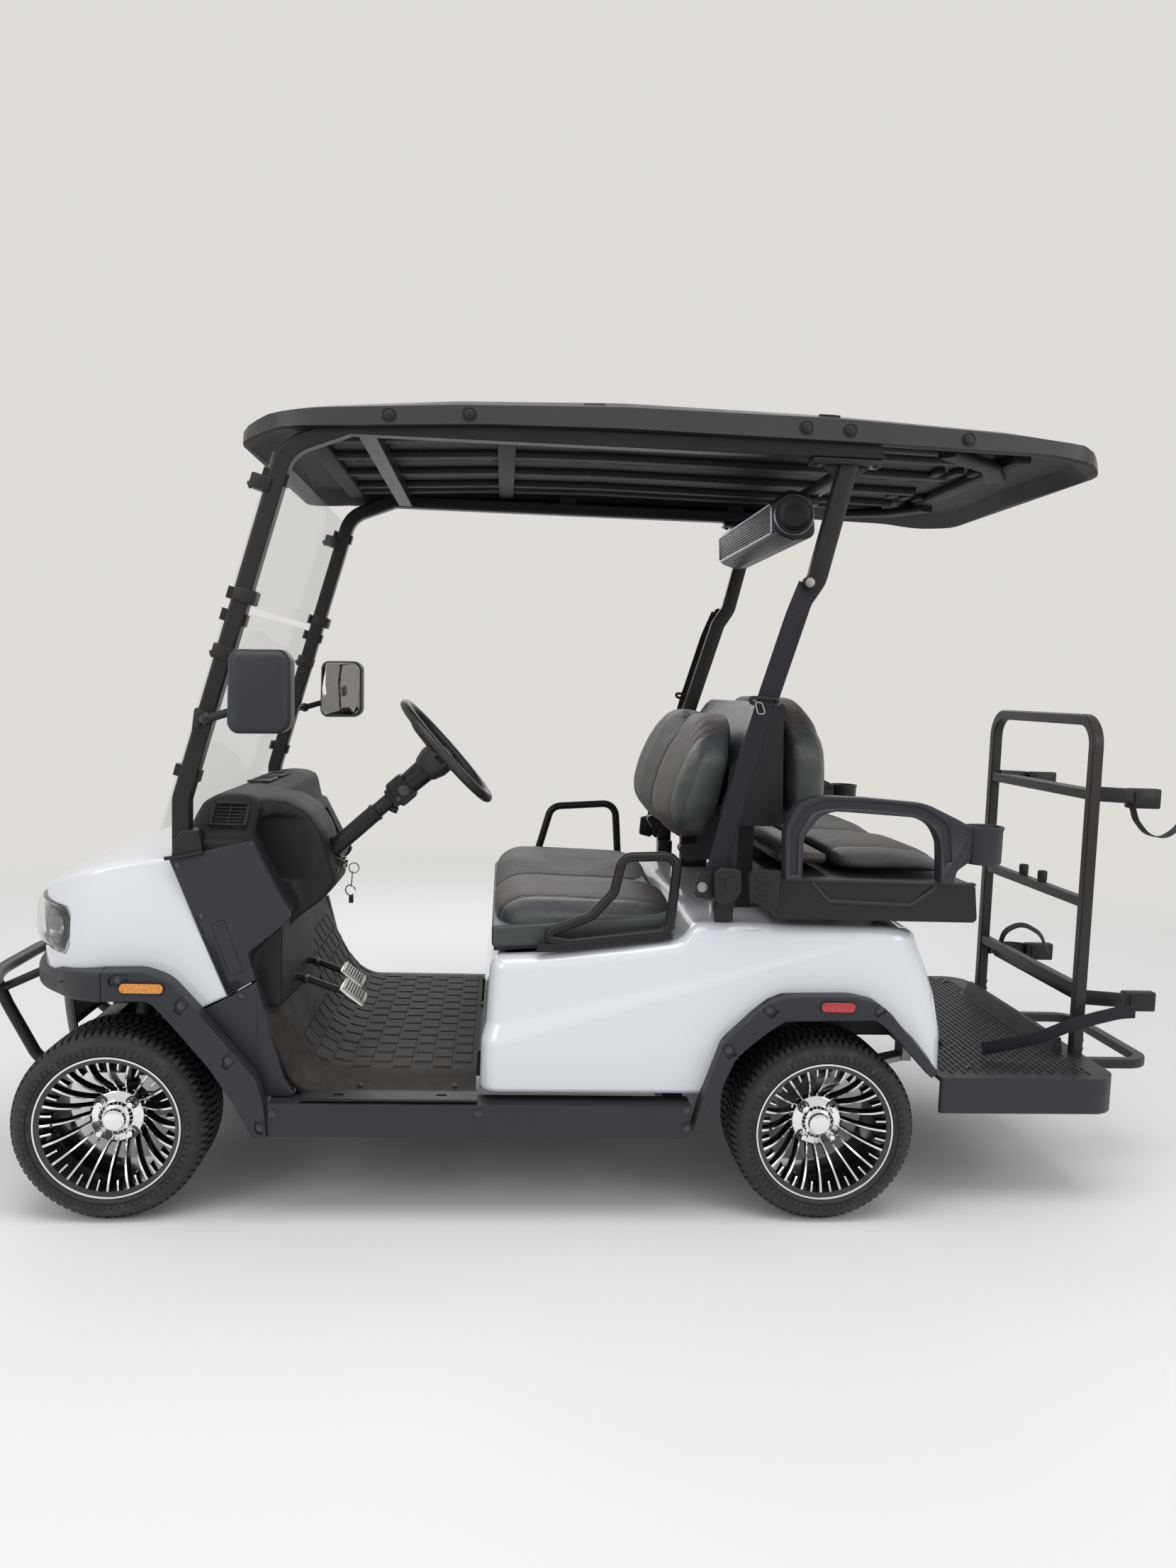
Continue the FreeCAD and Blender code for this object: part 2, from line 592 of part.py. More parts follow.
def canopy():
    """Moulded roof: crowned top, deep rim and an open underside with long ribs."""
    side = [(1437, 1825), (1425, 1867), (1369, 1893), (1237, 1912), (935, 1938), (555, 1955), (63, 1955),
            (-360, 1930),
            (-541, 1911), (-608, 1880), (-640, 1846), (-449, 1868), (-46, 1874), (553, 1878),
            (872, 1872), (1332, 1846)]
    plan = [(-640, -470), (-560, -590), (1330, -590), (1440, -480), (1440, 480), (1330, 590),
            (-560, 590), (-640, 470)]
    body = side_cut(side, -600, 600)
    body = body.common(plan_cut(plan, 1700, 2000, 120))
    return body.cut(canopy_hollow())


def sound_bar():
    """Long speaker bar hung under the rear cross beam."""
    outline = [(38, 1684), (50, 1790), (112, 1800), (152, 1770), (142, 1690), (92, 1674)]
    body = side_cut(outline, -375, 375, 22)
    hangers = [block(5, 112, s * 250 - 20, s * 250 + 20, 1782, 1801) for s in (-1, 1)]
    return fused([body] + hangers)


def windshield():
    """Lower and upper panes between the pillars, in one slanted plane."""
    panes = []
    out = V(math.cos(math.radians(PILLAR_LEAN)), 0, math.sin(math.radians(PILLAR_LEAN)))
    for low, high in ((918, 1436), (1452, 1790)):
        near = V(out).multiply(GLASS_GAP)
        far = V(out).multiply(GLASS_GAP + GLASS_THICK)
        outline = []
        for z, shift in ((low, near), (high, near), (high, far), (low, far)):
            outline.append((pillar_x(z) + shift.x, z + shift.z))
        panes.append(side_cut(outline, -552, 552))
    return Part.makeCompound(panes)


def mirrors():
    """Wing mirror on a short arm from each front pillar."""
    shell = side_cut([(1418, 1344), (1300, 1349), (1281, 1330), (1279, 1175), (1300, 1163), (1400, 1159),
                      (1416, 1175)],
                     602, 690, 25)
    arm = bar([(1500, 566, 1185), (1470, 640, 1190), (1400, 646, 1215)], 30, 18, round_section=True)
    foot = block(1478, 1524, 567, 573, 1150, 1216)
    return both_sides(fused([shell, arm, foot]))


def on_column(distance):
    """Point on the steering column's axis, so far below the steering wheel's centre."""
    tilt = math.radians(COLUMN_TILT)
    return (WHEEL_CENTRE[0] + distance * math.cos(tilt), COLUMN_Y,
            WHEEL_CENTRE[1] - distance * math.sin(tilt))


def steering_column():
    """Slanted column with a collar and the pin that the steering wheel turns on."""
    lower = rod(on_column(560), on_column(80), 20)
    collar = rod(on_column(170), on_column(78), 38)
    pin = rod(on_column(90), on_column(28), WHEEL_PIN_RADIUS)
    return fused([lower, collar, pin])


def steering_wheel():
    """Rim, three spokes and hub cone, turning about the column."""
    centre = V(*on_column(0))
    axis = centre.sub(V(*on_column(100))).normalize()
    ring = Part.makeTorus(160, 13, centre, axis)
    hub_foot = V(*on_column(72))
    hub = Part.makeCone(30, 50, 54, hub_foot, axis)
    across = V(0, 1, 0)
    upright = axis.cross(across).normalize()
    pieces = [ring, hub]
    for turn in (90, 210, 330):
        a = math.radians(turn)
        direction = V(across).multiply(math.cos(a)).add(V(upright).multiply(math.sin(a)))
        start = centre.sub(V(axis).multiply(28)).add(V(direction).multiply(22))
        end = centre.add(V(direction).multiply(154))
        pieces.append(rod(tuple(start), tuple(end), 9))
    bore = Part.makeCylinder(WHEEL_PIN_RADIUS + RUNNING_GAP, 46, hub_foot, axis)
    return fused(pieces).cut(bore)


def pedals():
    """Brake and drive pedals, slanted pads on arms from the toe board."""
    pieces = []
    for y in (120, 300):
        pad = side_cut([(1204, 506), (1146, 460), (1152, 450), (1214, 498)], y - 52, y + 52)
        arm = bar([(1196, y, 488), (1290, y, 511), (1366, y, 530)], 30, 22, 14)
        pieces.append(fused([pad, arm]))
    return Part.makeCompound(pieces)


# Rear body and seats

def rear_body_block(inset):
    """Outer form of the rear body, drawn in by an inset for its hollow."""
    i = inset
    side = [(842, 318), (836, 470), (824, 640), (700, 648), (500, 672), (368, 690), (332, 704),
            (260, 732), (-150, 736),
            (-200, 716), (-236, 660), (-276, 560), (-300, 462), (-302, 360), (-302, 250), (842, 250)]
    inner = [(842 - i, 240), (836 - i, 470), (824 - i, 640 - i), (700, 648 - i), (500, 672 - i),
             (368, 690 - i),
             (332, 704 - i), (260, 732 - i), (-150, 736 - i), (-200 + i, 716 - i), (-236 + i, 660),
             (-276 + i, 560),
             (-300 + i, 462), (-302 + i, 360), (-302 + i, 240), (842 - i, 240)]
    outline = inner if i else side
    body = side_cut(outline, -600, 600)
    section = [(-570 + i, 200), (570 - i, 200), (580 - i, 420), (572 - i, 620), (548 - i, 760 - i),
               (-548 + i, 760 - i),
               (-572 + i, 620), (-580 + i, 420)]
    tumble = front_cut(section, -400, 900, [0, 0, 300, 200, 40, 40, 200, 300])
    return body.common(tumble)


ARCH_REAR = [(312, 232), (232, 419), (167, 475), (119, 509), (-103, 514), (-141, 487), (-249, 373)]
FLARE_REAR_TOP = [(-264, 388), (-138, 533), (-100, 560), (-45, 572), (113, 569), (149, 556), (192, 524),
                  (265, 455),
                  (309, 321), (332, 234)]


def rear_body():
    """White rear body: hollow shell with the wheel arches and the battery bay open."""
    shell = rear_body_block(0).cut(rear_body_block(SKIN))
    arch = side_cut([(326, 180), (306, 321), (263, 452), (190, 521), (147, 552), (112, 566), (-45, 569),
                     (-100, 556),
                     (-138, 529), (-262, 386), (-320, 340), (-320, 180)], -700, 700)
    lower = side_cut([(300, 200), (860, 200), (860, 317), (300, 317)], -700, 700)
    bay = block(430, 790, -500, 500, 600, 800)
    tail = block(-340, -280, -440, 440, 200, 560)
    return shell.cut(arch).cut(lower).cut(bay).cut(tail)


def rear_flares():
    """Wheel-arch flare of each rear wheel."""
    outline = ARCH_REAR + FLARE_REAR_TOP
    face = side_cut(outline, BODY_HALF + 6, FLARE_HALF + 6)
    return both_sides(face)


def front_seat_cushion():
    """Bench cushion on its pan, hinged along the front edge."""
    outline = [(828, 650), (828, 715), (790, 752), (620, 768), (400, 758), (370, 738), (362, 697),
               (500, 680), (700, 656)]
    pad = side_cut(outline, -SEAT_HALF, SEAT_HALF, [0, 30, 60, 200, 40, 20, 0, 0, 0])
    front = [(-SEAT_HALF, 640), (SEAT_HALF, 640), (SEAT_HALF, 735), (SEAT_HALF - 75, 772),
             (75, 772), (0, 738), (-75, 772), (75 - SEAT_HALF, 772), (-SEAT_HALF, 735)]
    return pad.common(front_cut(front, 350, 840, [0, 0, 30, 60, 60, 40, 60, 60, 30]))


def front_backrest():
    """Two-lobed backrest, one soft block."""
    side = [(392, 985), (372, 1080), (296, 1225), (262, 1240), (232, 1215), (250, 1090), (300, 900),
            (350, 890), (384, 915)]
    body = side_cut(side, -505, 505, [60, 200, 30, 20, 20, 0, 20, 20, 30])
    front = [(-505, 890), (505, 890), (505, 1180), (440, 1245), (60, 1245), (0, 1205), (-60, 1245),
             (-440, 1245), (-505, 1180)]
    return body.common(front_cut(front, 150, 500, [30, 30, 80, 60, 60, 40, 60, 60, 80]))


def seat_back_shell():
    """Moulded shell behind the rear backrest, on two plate arms that also carry the front one."""
    side = [(256, 1090), (150, 1250), (124, 1272), (112, 1240), (106, 960), (236, 960)]
    pieces = [side_cut(side, -470, 470, [12, 20, 12, 12, 20, 12])]
    arm = [(156, 690), (236, 690), (240, 860), (330, 850), (352, 884), (300, 925), (250, 1000), (156, 1000)]
    for y in (-SHELL_ARM_Y, SHELL_ARM_Y):
        pieces.append(side_cut(arm, y - 20, y + 20, [0, 0, 10, 10, 10, 10, 10, 0]))
    return fused(pieces)


def rear_backrest():
    """Rear-facing backrest, one soft block."""
    side = [(110, 930), (122, 1240), (106, 1280), (66, 1292), (30, 1250), (4, 1180), (-2, 1100), (8, 1000),
            (30, 932)]
    body = side_cut(side, -490, 490, [10, 30, 20, 20, 60, 100, 100, 60, 25])
    front = [(-490, 925), (490, 925), (490, 1205), (420, 1296), (70, 1296), (0, 1262), (-70, 1296),
             (-420, 1296), (-490, 1205)]
    return body.common(front_cut(front, -20, 200, [30, 30, 90, 60, 60, 40, 60, 60, 90]))


def rear_seat_base():
    """Black seat box with a pressed line on each side, open below."""
    side = [(150, 752), (136, 850), (-338, 846), (-348, 752)]
    body = side_cut(side, -590, 590, [10, 10, 12, 12])
    inner = side_cut([(140, 740), (128, 840), (-328, 838), (-338, 740)], -580, 580)
    line = [(60, 842), (20, 795), (-180, 789), (-236, 834), (-230, 838), (-177, 796), (17, 802), (54, 844)]
    shell = body.cut(inner)
    for y in (-600, 587):
        shell = shell.cut(side_cut(line, y, y + 13))
    legs = [block(-250, -216, s * 225 - 17, s * 225 + 17, 435, 843) for s in (-1, 1)]
    posts = [block(96, 128, s * 225 - 17, s * 225 + 17, 600, 843) for s in (-1, 1)]
    return shell.fuse(legs + posts)


def rear_seat_cushion():
    """Rear bench cushion on the plate that folds over to make a deck."""
    pad = side_cut([(-12, 856), (-15, 884), (-46, 906), (-180, 910), (-270, 892), (-328, 866), (-330, 856)],
                   -REAR_SEAT_HALF, REAR_SEAT_HALF, [0, 20, 40, 100, 60, 8, 0])
    plate = block(-330, -14, -470, 470, 856, 864)
    return fused([pad, plate])


def armrests():
    """Moulded armrest loop with a cup holder at its rear end."""
    outer = [(132, 850), (137, 966), (115, 1031), (58, 1051), (-53, 1049), (-201, 1039), (-277, 1005),
             (-320, 985),
             (-320, 905), (-285, 880), (-278, 850)]
    hole = [(92, 852), (93, 952), (55, 1004), (19, 1016), (-173, 1006), (-219, 989), (-240, 946),
            (-247, 852)]
    loop = side_cut(outer, 560, 606, [0, 60, 60, 60, 300, 80, 30, 10, 20, 20, 0])
    loop = loop.cut(side_cut(hole, 550, 620, [0, 60, 40, 60, 80, 60, 40, 0]))
    cup = Part.makeCylinder(44, 92, V(-355, 583, 896))
    well = Part.makeCylinder(39, 86, V(-355, 583, 903))
    return both_sides(fused([loop, cup]).cut(well))


def hip_restraints():
    """Round-tube loop beside the front seat: low and swept on the driver's side, upright on the other."""
    swept = bar([(640, HIP_Y, 676), (396, HIP_Y, 706), (381, HIP_Y, 892), (515, HIP_Y, 886),
                (533, HIP_Y, 800),
                (585, HIP_Y, 742), (712, HIP_Y, 690)], 30, 24, round_section=True)
    upright = bar([(704, -HIP_Y, 672), (642, -HIP_Y, 890), (430, -HIP_Y, 906), (412, -HIP_Y, 690)],
                  40, 24, round_section=True)
    foot = block(600, 720, HIP_Y - 10, HIP_Y + 10, 640, 690)
    heel = block(386, 440, HIP_Y - 10, HIP_Y + 10, 660, 706)
    return Part.makeCompound([fused([swept, foot, heel]), fused([upright, mirrored(foot), mirrored(heel)])])


def seat_belts():
    """Belt from the strut down to the retractor behind the front seat."""
    belt = bar([(112, 578, 1540), (196, 578, 1280), (250, 578, 1090), (290, 578, 850)], 200, 6, 46)
    reel = block(262, 330, 567, 612, 770, 860)
    anchor = rod((108, 567, 1546), (108, 590, 1546), 16)
    return both_sides(fused([belt, reel, anchor]))


def footplate():
    """Rear foot platform with a raised heel bar."""
    plan = [(-311, -520), (-311, 520), (-740, 520), (-784, 480), (-784, -480), (-740, -520)]
    plate = plan_cut(plan, 250, 341, [10, 10, 60, 60, 60, 60])
    hollow_plan = [(-300, -512), (-300, 512), (-738, 512), (-776, 474), (-776, -474), (-738, -512)]
    hollow = plan_cut(hollow_plan, 240, 330)
    bar_top = side_cut([(-735, 336), (-730, 380), (-716, 380), (-700, 336)], -300, 300)
    shell = plate.cut(hollow)
    for s in (-1, 1):
        shell = shell.cut(block(-RAIL_PASS_X, -300, s * 225 - 29, s * 225 + 29, 320, 345))
    return shell.fuse(bar_top)


def bag_rack():
    """Square-tube rack with rounded top corners, cross bars and two rubber stops."""
    loop = bar([(RACK_X, -RACK_HALF, 290), (RACK_X, -RACK_HALF, RACK_TOP_Z - 15),
                (RACK_X, RACK_HALF, RACK_TOP_Z - 15),
                (RACK_X, RACK_HALF, 290)], 70, RACK_TUBE, RACK_TUBE)
    pieces = [loop]
    for z in (1048, 757, 520):
        pieces.append(bar([(RACK_X, -RACK_HALF, z), (RACK_X, RACK_HALF, z)], 0, 24, 28))
    for y in (-60, 60):
        pieces.append(Part.makeCylinder(12, 32, V(RACK_X, y, 768)))
    return fused(pieces)


def bag_straps():
    """Bag cradles on the rack with their straps and buckles."""
    pieces = []
    for z, reach, depth in ((1044, -1120, 20), (500, -1015, 24)):
        for s in (-1, 1):
            cradle = bar([(RACK_X - 12, s * 250, z), (-900, s * 262, z), (reach + 60, s * 230, z - 8)],
                         60, 8, 40)
            buckle = block(reach, reach + 66, s * 230 - 12, s * 230 + 12, z - 30, z + 16)
            pieces.append(fused([cradle, buckle]))
    return Part.makeCompound(pieces)


def rear_bumper():
    """Tube loop behind the footplate."""
    return bar([(-770, -225, 288), (-1025, -225, 288), (-1025, 225, 288), (-770, 225, 288)], 60, 30, 26)


def tail_lamps():
    """Lamp in each rear corner of the body."""
    lamp = side_cut([(-240, 560), (-285, 560), (-253, 640), (-220, 640)], 430, 530, 6)
    return both_sides(lamp)


def reflectors():
    """Amber side reflector over each front wheel and red over each rear wheel."""
    amber = side_cut([(1570, 578), (1668, 578), (1668, 556), (1570, 556)], FLARE_HALF, FLARE_HALF + 6, 10.9)
    red = side_cut([(33, 558), (-49, 558), (-49, 535), (33, 535)], FLARE_HALF + 6, FLARE_HALF + 12, 11)
    return Part.makeCompound([amber, mirrored(amber), red, mirrored(red)])


# Smallest solid that a notch may leave, in cubic millimetres
CRUMB = 5000.0

# Where one piece is notched round another that passes through it or stands in it
NOTCHES = (
    ("footplate", ("bag_rack", "rear_bumper", "frame")), ("front_bumper", ("brush_guard", "front_cowl")),
    ("brush_guard", ("frame",)), ("dashboard", ("roof_frame", "steering_column")),
    ("floor_pan", ("dashboard",)), ("front_suspension", ("frame",)),
    ("rear_springs", ("frame", "rear_axle")),
    ("front_flares", ("front_cowl", "dash_sides")), ("mirrors", ("roof_frame",)),
    ("rear_flares", ("rear_body", "sills")), ("rear_body",
                                              ("rear_struts", "rear_seat_base", "tail_lamps",
                                               "seat_back_shell",
                                                  "hip_restraints", "frame")),
    ("sills", ("frame",)), ("roof_frame", ("windshield",)),
    ("seat_back_shell", ("front_backrest", "rear_backrest")),
    ("bag_straps", ("bag_rack",)), ("pedals", ("floor_pan",)), ("headlamps", ("front_cowl",)),
)


def main():
    os.makedirs("parts", exist_ok=True)
    shapes = {}
    corners = (("front_left", WHEELBASE, 1), ("front_right", WHEELBASE, -1), ("rear_left", 0.0, 1),
               ("rear_right", 0.0, -1))
    for name, axle_x, side in corners:
        shapes["rim_" + name] = rim(axle_x, side)
        shapes["tyre_" + name] = tyre(axle_x, side).cut(shapes["rim_" + name])
    shapes["knuckle_left"] = knuckle(1)
    shapes["knuckle_right"] = knuckle(-1)
    pieces = (front_suspension, rear_axle, rear_springs, frame, battery_pack, floor_pan, floor_mat,
              sills, front_cowl,
              headlamps, front_bumper, front_flares, brush_guard, dashboard, dash_sides, roof_frame,
              rear_struts, canopy,
              sound_bar, windshield, mirrors, steering_column, steering_wheel, pedals, rear_body,
              rear_flares,
              front_seat_cushion, front_backrest, seat_back_shell, rear_backrest, rear_seat_base,
              rear_seat_cushion,
              armrests, hip_restraints, seat_belts, footplate, bag_rack, bag_straps, rear_bumper,
              tail_lamps, reflectors)
    for make in pieces:
        shapes[make.__name__] = make()
    for name, cutters in NOTCHES:
        for cutter in cutters:
            shapes[name] = shapes[name].cut(shapes[cutter])
        shapes[name] = Part.makeCompound([solid for solid in shapes[name].Solids if solid.Volume > CRUMB])
    for name, shape in shapes.items():
        save(name, shape)


main()
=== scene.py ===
"""Electric golf cart with a front bench, a rear-facing bench, a canopy and a bag rack.

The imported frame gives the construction; the classes here dress it. Lengths are millimetres from
the middle of the rear axle at floor level, with x forward, y to the driver's side and z up.
"""
from __future__ import annotations

import logging
import math
from dataclasses import dataclass
from enum import Enum
from functools import lru_cache
from typing import Callable, Sequence

import bmesh
import bpy
from mathutils import Matrix, Quaternion, Vector


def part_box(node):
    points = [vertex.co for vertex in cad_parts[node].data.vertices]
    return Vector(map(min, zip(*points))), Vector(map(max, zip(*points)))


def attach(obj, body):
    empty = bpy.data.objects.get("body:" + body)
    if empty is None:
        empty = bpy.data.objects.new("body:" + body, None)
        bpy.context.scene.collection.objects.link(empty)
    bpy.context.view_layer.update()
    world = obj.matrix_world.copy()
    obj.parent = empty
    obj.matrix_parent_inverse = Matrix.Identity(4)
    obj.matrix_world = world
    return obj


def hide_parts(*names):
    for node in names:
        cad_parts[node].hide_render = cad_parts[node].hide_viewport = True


LOG = logging.getLogger("cart")
MM = 0.001
CLOTH_PRESSURE = 4.0
CLOTH_FRAMES = 20
WELD = 0.05

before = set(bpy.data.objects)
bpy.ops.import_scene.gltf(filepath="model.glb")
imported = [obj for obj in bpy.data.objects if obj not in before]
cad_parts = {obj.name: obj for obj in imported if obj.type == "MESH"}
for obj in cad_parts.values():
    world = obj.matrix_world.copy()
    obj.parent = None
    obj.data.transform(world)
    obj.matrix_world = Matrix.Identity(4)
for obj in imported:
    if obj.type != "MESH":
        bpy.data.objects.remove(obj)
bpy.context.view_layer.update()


def middle_x(node: str) -> float:
    """Middle of a node along x, in metres."""
    low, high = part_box(node)
    return (low[0] + high[0]) / 2


REAR_AXLE = middle_x("tyre_rear_left")
WHEELBASE = (middle_x("tyre_front_left") - REAR_AXLE) / MM
TYRE_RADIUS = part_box("tyre_rear_left")[1][2] / MM / 2
TO_ROW = Matrix.Translation((REAR_AXLE, 0, 0)) @ Matrix.Scale(MM, 4)


class Body(str, Enum):
    """Bodies of the frame that pieces ride on."""

    ROOT = "root"
    WHEEL_FL = "front_left_wheel"
    WHEEL_FR = "front_right_wheel"
    WHEEL_RL = "rear_left_wheel"
    WHEEL_RR = "rear_right_wheel"
    STEERING = "steering_wheel_body"
    FRONT_SEAT = "front_seat"
    REAR_SEAT = "rear_seat"


class Signal:
    """A value in a shader; arithmetic on it adds the matching Math nodes."""

    def __init__(self, recipe: "Recipe", socket: bpy.types.NodeSocket) -> None:
        """Wraps an output socket of the recipe's tree."""
        self.recipe = recipe
        self.socket = socket

    def math(self, operation: str, *others: "Signal | float", flipped: bool = False) -> "Signal":
        """Result of one Math node.

        Args:
            operation: Blender's name of the operation.
            others: the other operands.
            flipped: puts this value second.

        Returns:
            The node's output.
        """
        operands = [self, *others]
        if flipped:
            operands.reverse()
        node = self.recipe.node("ShaderNodeMath", {"operation": operation}, dict(enumerate(operands)))
        return Signal(self.recipe, node.outputs[0])

    def __add__(self, other: "Signal | float") -> "Signal":
        """Sum."""
        return self.math("ADD", other)

    def __mul__(self, other: "Signal | float") -> "Signal":
        """Product."""
        return self.math("MULTIPLY", other)

    def __sub__(self, other: "Signal | float") -> "Signal":
        """Difference."""
        return self.math("SUBTRACT", other)

    def __rsub__(self, other: "Signal | float") -> "Signal":
        """Difference from a number."""
        return self.math("SUBTRACT", other, flipped=True)

    def __pow__(self, other: "Signal | float") -> "Signal":
        """Power."""
        return self.math("POWER", other)

    __radd__ = __add__
    __rmul__ = __mul__

    def sine(self) -> "Signal":
        """Sine."""
        return self.math("SINE")

    def size(self) -> "Signal":
        """Absolute value."""
        return self.math("ABSOLUTE")

    def step(self, start: float, end: float) -> "Signal":
        """Smooth step from 0 at start to 1 at end.

        Args:
            start: where it begins.
            end: where it ends.

        Returns:
            The new signal.
        """
        node = self.recipe.node("ShaderNodeMapRange", {"interpolation_type": "SMOOTHSTEP"},
                                {"Value": self, "From Min": start, "From Max": end})
        return Signal(self.recipe, node.outputs[0])


class Recipe:
    """Node tree of one material."""

    def __init__(self, name: str) -> None:
        """Starts a material with only its surface shader and output.

        Args:
            name: name of what is made.
        """
        self.material = bpy.data.materials.new(name)
        self.material.use_nodes = True
        self.tree = self.material.node_tree
        self.shader = self.tree.nodes["Principled BSDF"]
        coordinates = self.node("ShaderNodeTexCoord", {}, {})
        self.place = Signal(self, coordinates.outputs["Object"])

    def node(self, kind: str, settings: dict, sockets: dict) -> bpy.types.Node:
        """Adds a node.

        Args:
            kind: Blender's type name.
            settings: attributes set first.
            sockets: values or signals for the inputs, by name or number.

        Returns:
            The node.
        """
        node = self.tree.nodes.new(kind)
        for key, value in settings.items():
            setattr(node, key, value)
        for key, value in sockets.items():
            if isinstance(value, Signal):
                self.tree.links.new(value.socket, node.inputs[key])
            else:
                node.inputs[key].default_value = value
        return node

    def axis(self, name: str) -> Signal:
        """One Object coordinate in metres, by the name X, Y or Z."""
        node = self.node("ShaderNodeSeparateXYZ", {}, {0: self.place})
        return Signal(self, node.outputs[name])

    def stretched(self, x: float, y: float, z: float) -> Signal:
        """Object coordinates with each axis scaled."""
        node = self.node("ShaderNodeMapping", {}, {"Vector": self.place, "Scale": (x, y, z)})
        return Signal(self, node.outputs[0])

    def noise(self, scale: float, detail: float = 2.0, rough: float = 0.5,
              place: Signal | None = None) -> Signal:
        """Soft noise from 0 to 1 at a scale in waves per metre.

        Args:
            scale: waves or cells per metre.
            detail: number of finer layers.
            rough: strength of the finer layers.
            place: where the pattern is read, or the function that places a point.

        Returns:
            The new signal.
        """
        node = self.node("ShaderNodeTexNoise", {},
                         {"Vector": place or self.place, "Scale": scale, "Detail": detail,
                          "Roughness": rough})
        return Signal(self, node.outputs[0])

    def cells(self, scale: float, feature: str = "F1", place: Signal | None = None) -> Signal:
        """Distance inside a cell pattern, as in leather grain.

        Args:
            scale: waves or cells per metre.
            feature: what the cells give.
            place: where the pattern is read, or the function that places a point.

        Returns:
            The new signal.
        """
        node = self.node("ShaderNodeTexVoronoi", {"feature": feature},
                         {"Vector": place or self.place, "Scale": scale})
        return Signal(self, node.outputs["Distance"])

    def blend(self, amount: Signal, first: Sequence[float] | Signal,
              second: Sequence[float] | Signal) -> Signal:
        """Colour between two colours.

        Args:
            amount: share of the second colour.
            first: colour at 0.
            second: colour at 1.

        Returns:
            The new signal.
        """
        pair = [value if isinstance(value, Signal) else (*value, 1) for value in (first, second)]
        node = self.node("ShaderNodeMix", {"data_type": "RGBA"}, {0: amount, 6: pair[0], 7: pair[1]})
        return Signal(self, node.outputs[2])

    def relief(self, height: Signal, depth: float, strength: float = 1.0) -> Signal:
        """Bumped normal from a height of 0 to 1 and a depth in metres."""
        node = self.node("ShaderNodeBump", {}, {"Height": height, "Distance": depth, "Strength": strength})
        return Signal(self, node.outputs[0])

    def surface(self, **sockets: "Signal | float | Sequence[float]") -> bpy.types.Material:
        """Sets the shader's sockets, named with underscores for spaces, and returns the material.

        Returns:
            The finished material.
        """
        for key, value in sockets.items():
            socket = self.shader.inputs[key.replace("_", " ")]
            if isinstance(value, Signal):
                self.tree.links.new(value.socket, socket)
            else:
                socket.default_value = (*value, 1) if isinstance(value, tuple) else value
        return self.material


@dataclass(frozen=True)
class Finish:
    """A surface finish; each kind writes its own recipe."""

    name: str

    def material(self) -> bpy.types.Material:
        """The material, made once."""
        return cooked(self)

    def cook(self, recipe: Recipe) -> bpy.types.Material:
        """Writes the recipe."""
        raise NotImplementedError


@lru_cache(maxsize=None)
def cooked(finish: Finish) -> bpy.types.Material:
    """The one material of a finish."""
    return finish.cook(Recipe(finish.name))


@dataclass(frozen=True)
class Paint(Finish):
    """Gloss paint over a moulded shell, with faint orange peel."""

    colour: tuple[float, float, float] = (0.7, 0.722, 0.75)

    def cook(self, recipe: Recipe) -> bpy.types.Material:
        """Writes the recipe.

        Args:
            recipe: the material being made.

        Returns:
            The finished material.
        """
        drift = recipe.noise(2.1, 1.0)
        deep = tuple(part * 0.965 for part in self.colour)
        peel = recipe.relief(recipe.noise(160.0, 1.0), 0.0003, 0.16)
        return recipe.surface(Base_Color=recipe.blend(drift, deep, self.colour), Roughness=0.24, IOR=1.5,
                              Coat_Weight=1.0, Coat_Roughness=0.04, Normal=peel)


@dataclass(frozen=True)
class Moulding(Finish):
    """Grained moulded plastic that is a little paler in random worn patches."""

    colour: tuple[float, float, float] = (0.02, 0.0215, 0.0255)
    roughness: float = 0.46
    grain: float = 900.0
    depth: float = 0.00022

    def cook(self, recipe: Recipe) -> bpy.types.Material:
        """Writes the recipe.

        Args:
            recipe: the material being made.

        Returns:
            The finished material.
        """
        cloud = recipe.noise(7.0, 3.0)
        pale = tuple(part * 1.35 + 0.003 for part in self.colour)
        pores = recipe.cells(self.grain)
        rough = self.roughness - 0.07 + 0.14 * recipe.noise(23.0, 3.0, 0.6)
        return recipe.surface(Base_Color=recipe.blend(cloud, self.colour, pale), Roughness=rough,
                              Specular_IOR_Level=0.34, Normal=recipe.relief(pores, self.depth, 0.5))


@dataclass(frozen=True)
class PowderCoat(Finish):
    """Satin powder coat on steel tube."""

    colour: tuple[float, float, float] = (0.0095, 0.0095, 0.0105)
    roughness: float = 0.36

    def cook(self, recipe: Recipe) -> bpy.types.Material:
        """Writes the recipe.

        Args:
            recipe: the material being made.

        Returns:
            The finished material.
        """
        peel = recipe.noise(520.0, 2.0, 0.6)
        pale = tuple(part * 1.6 + 0.002 for part in self.colour)
        rough = self.roughness - 0.05 + 0.1 * recipe.noise(31.0, 2.0)
        return recipe.surface(Base_Color=recipe.blend(recipe.noise(5.0), self.colour, pale), Roughness=rough,
                              Specular_IOR_Level=0.3, Normal=recipe.relief(peel, 0.0003, 0.35))


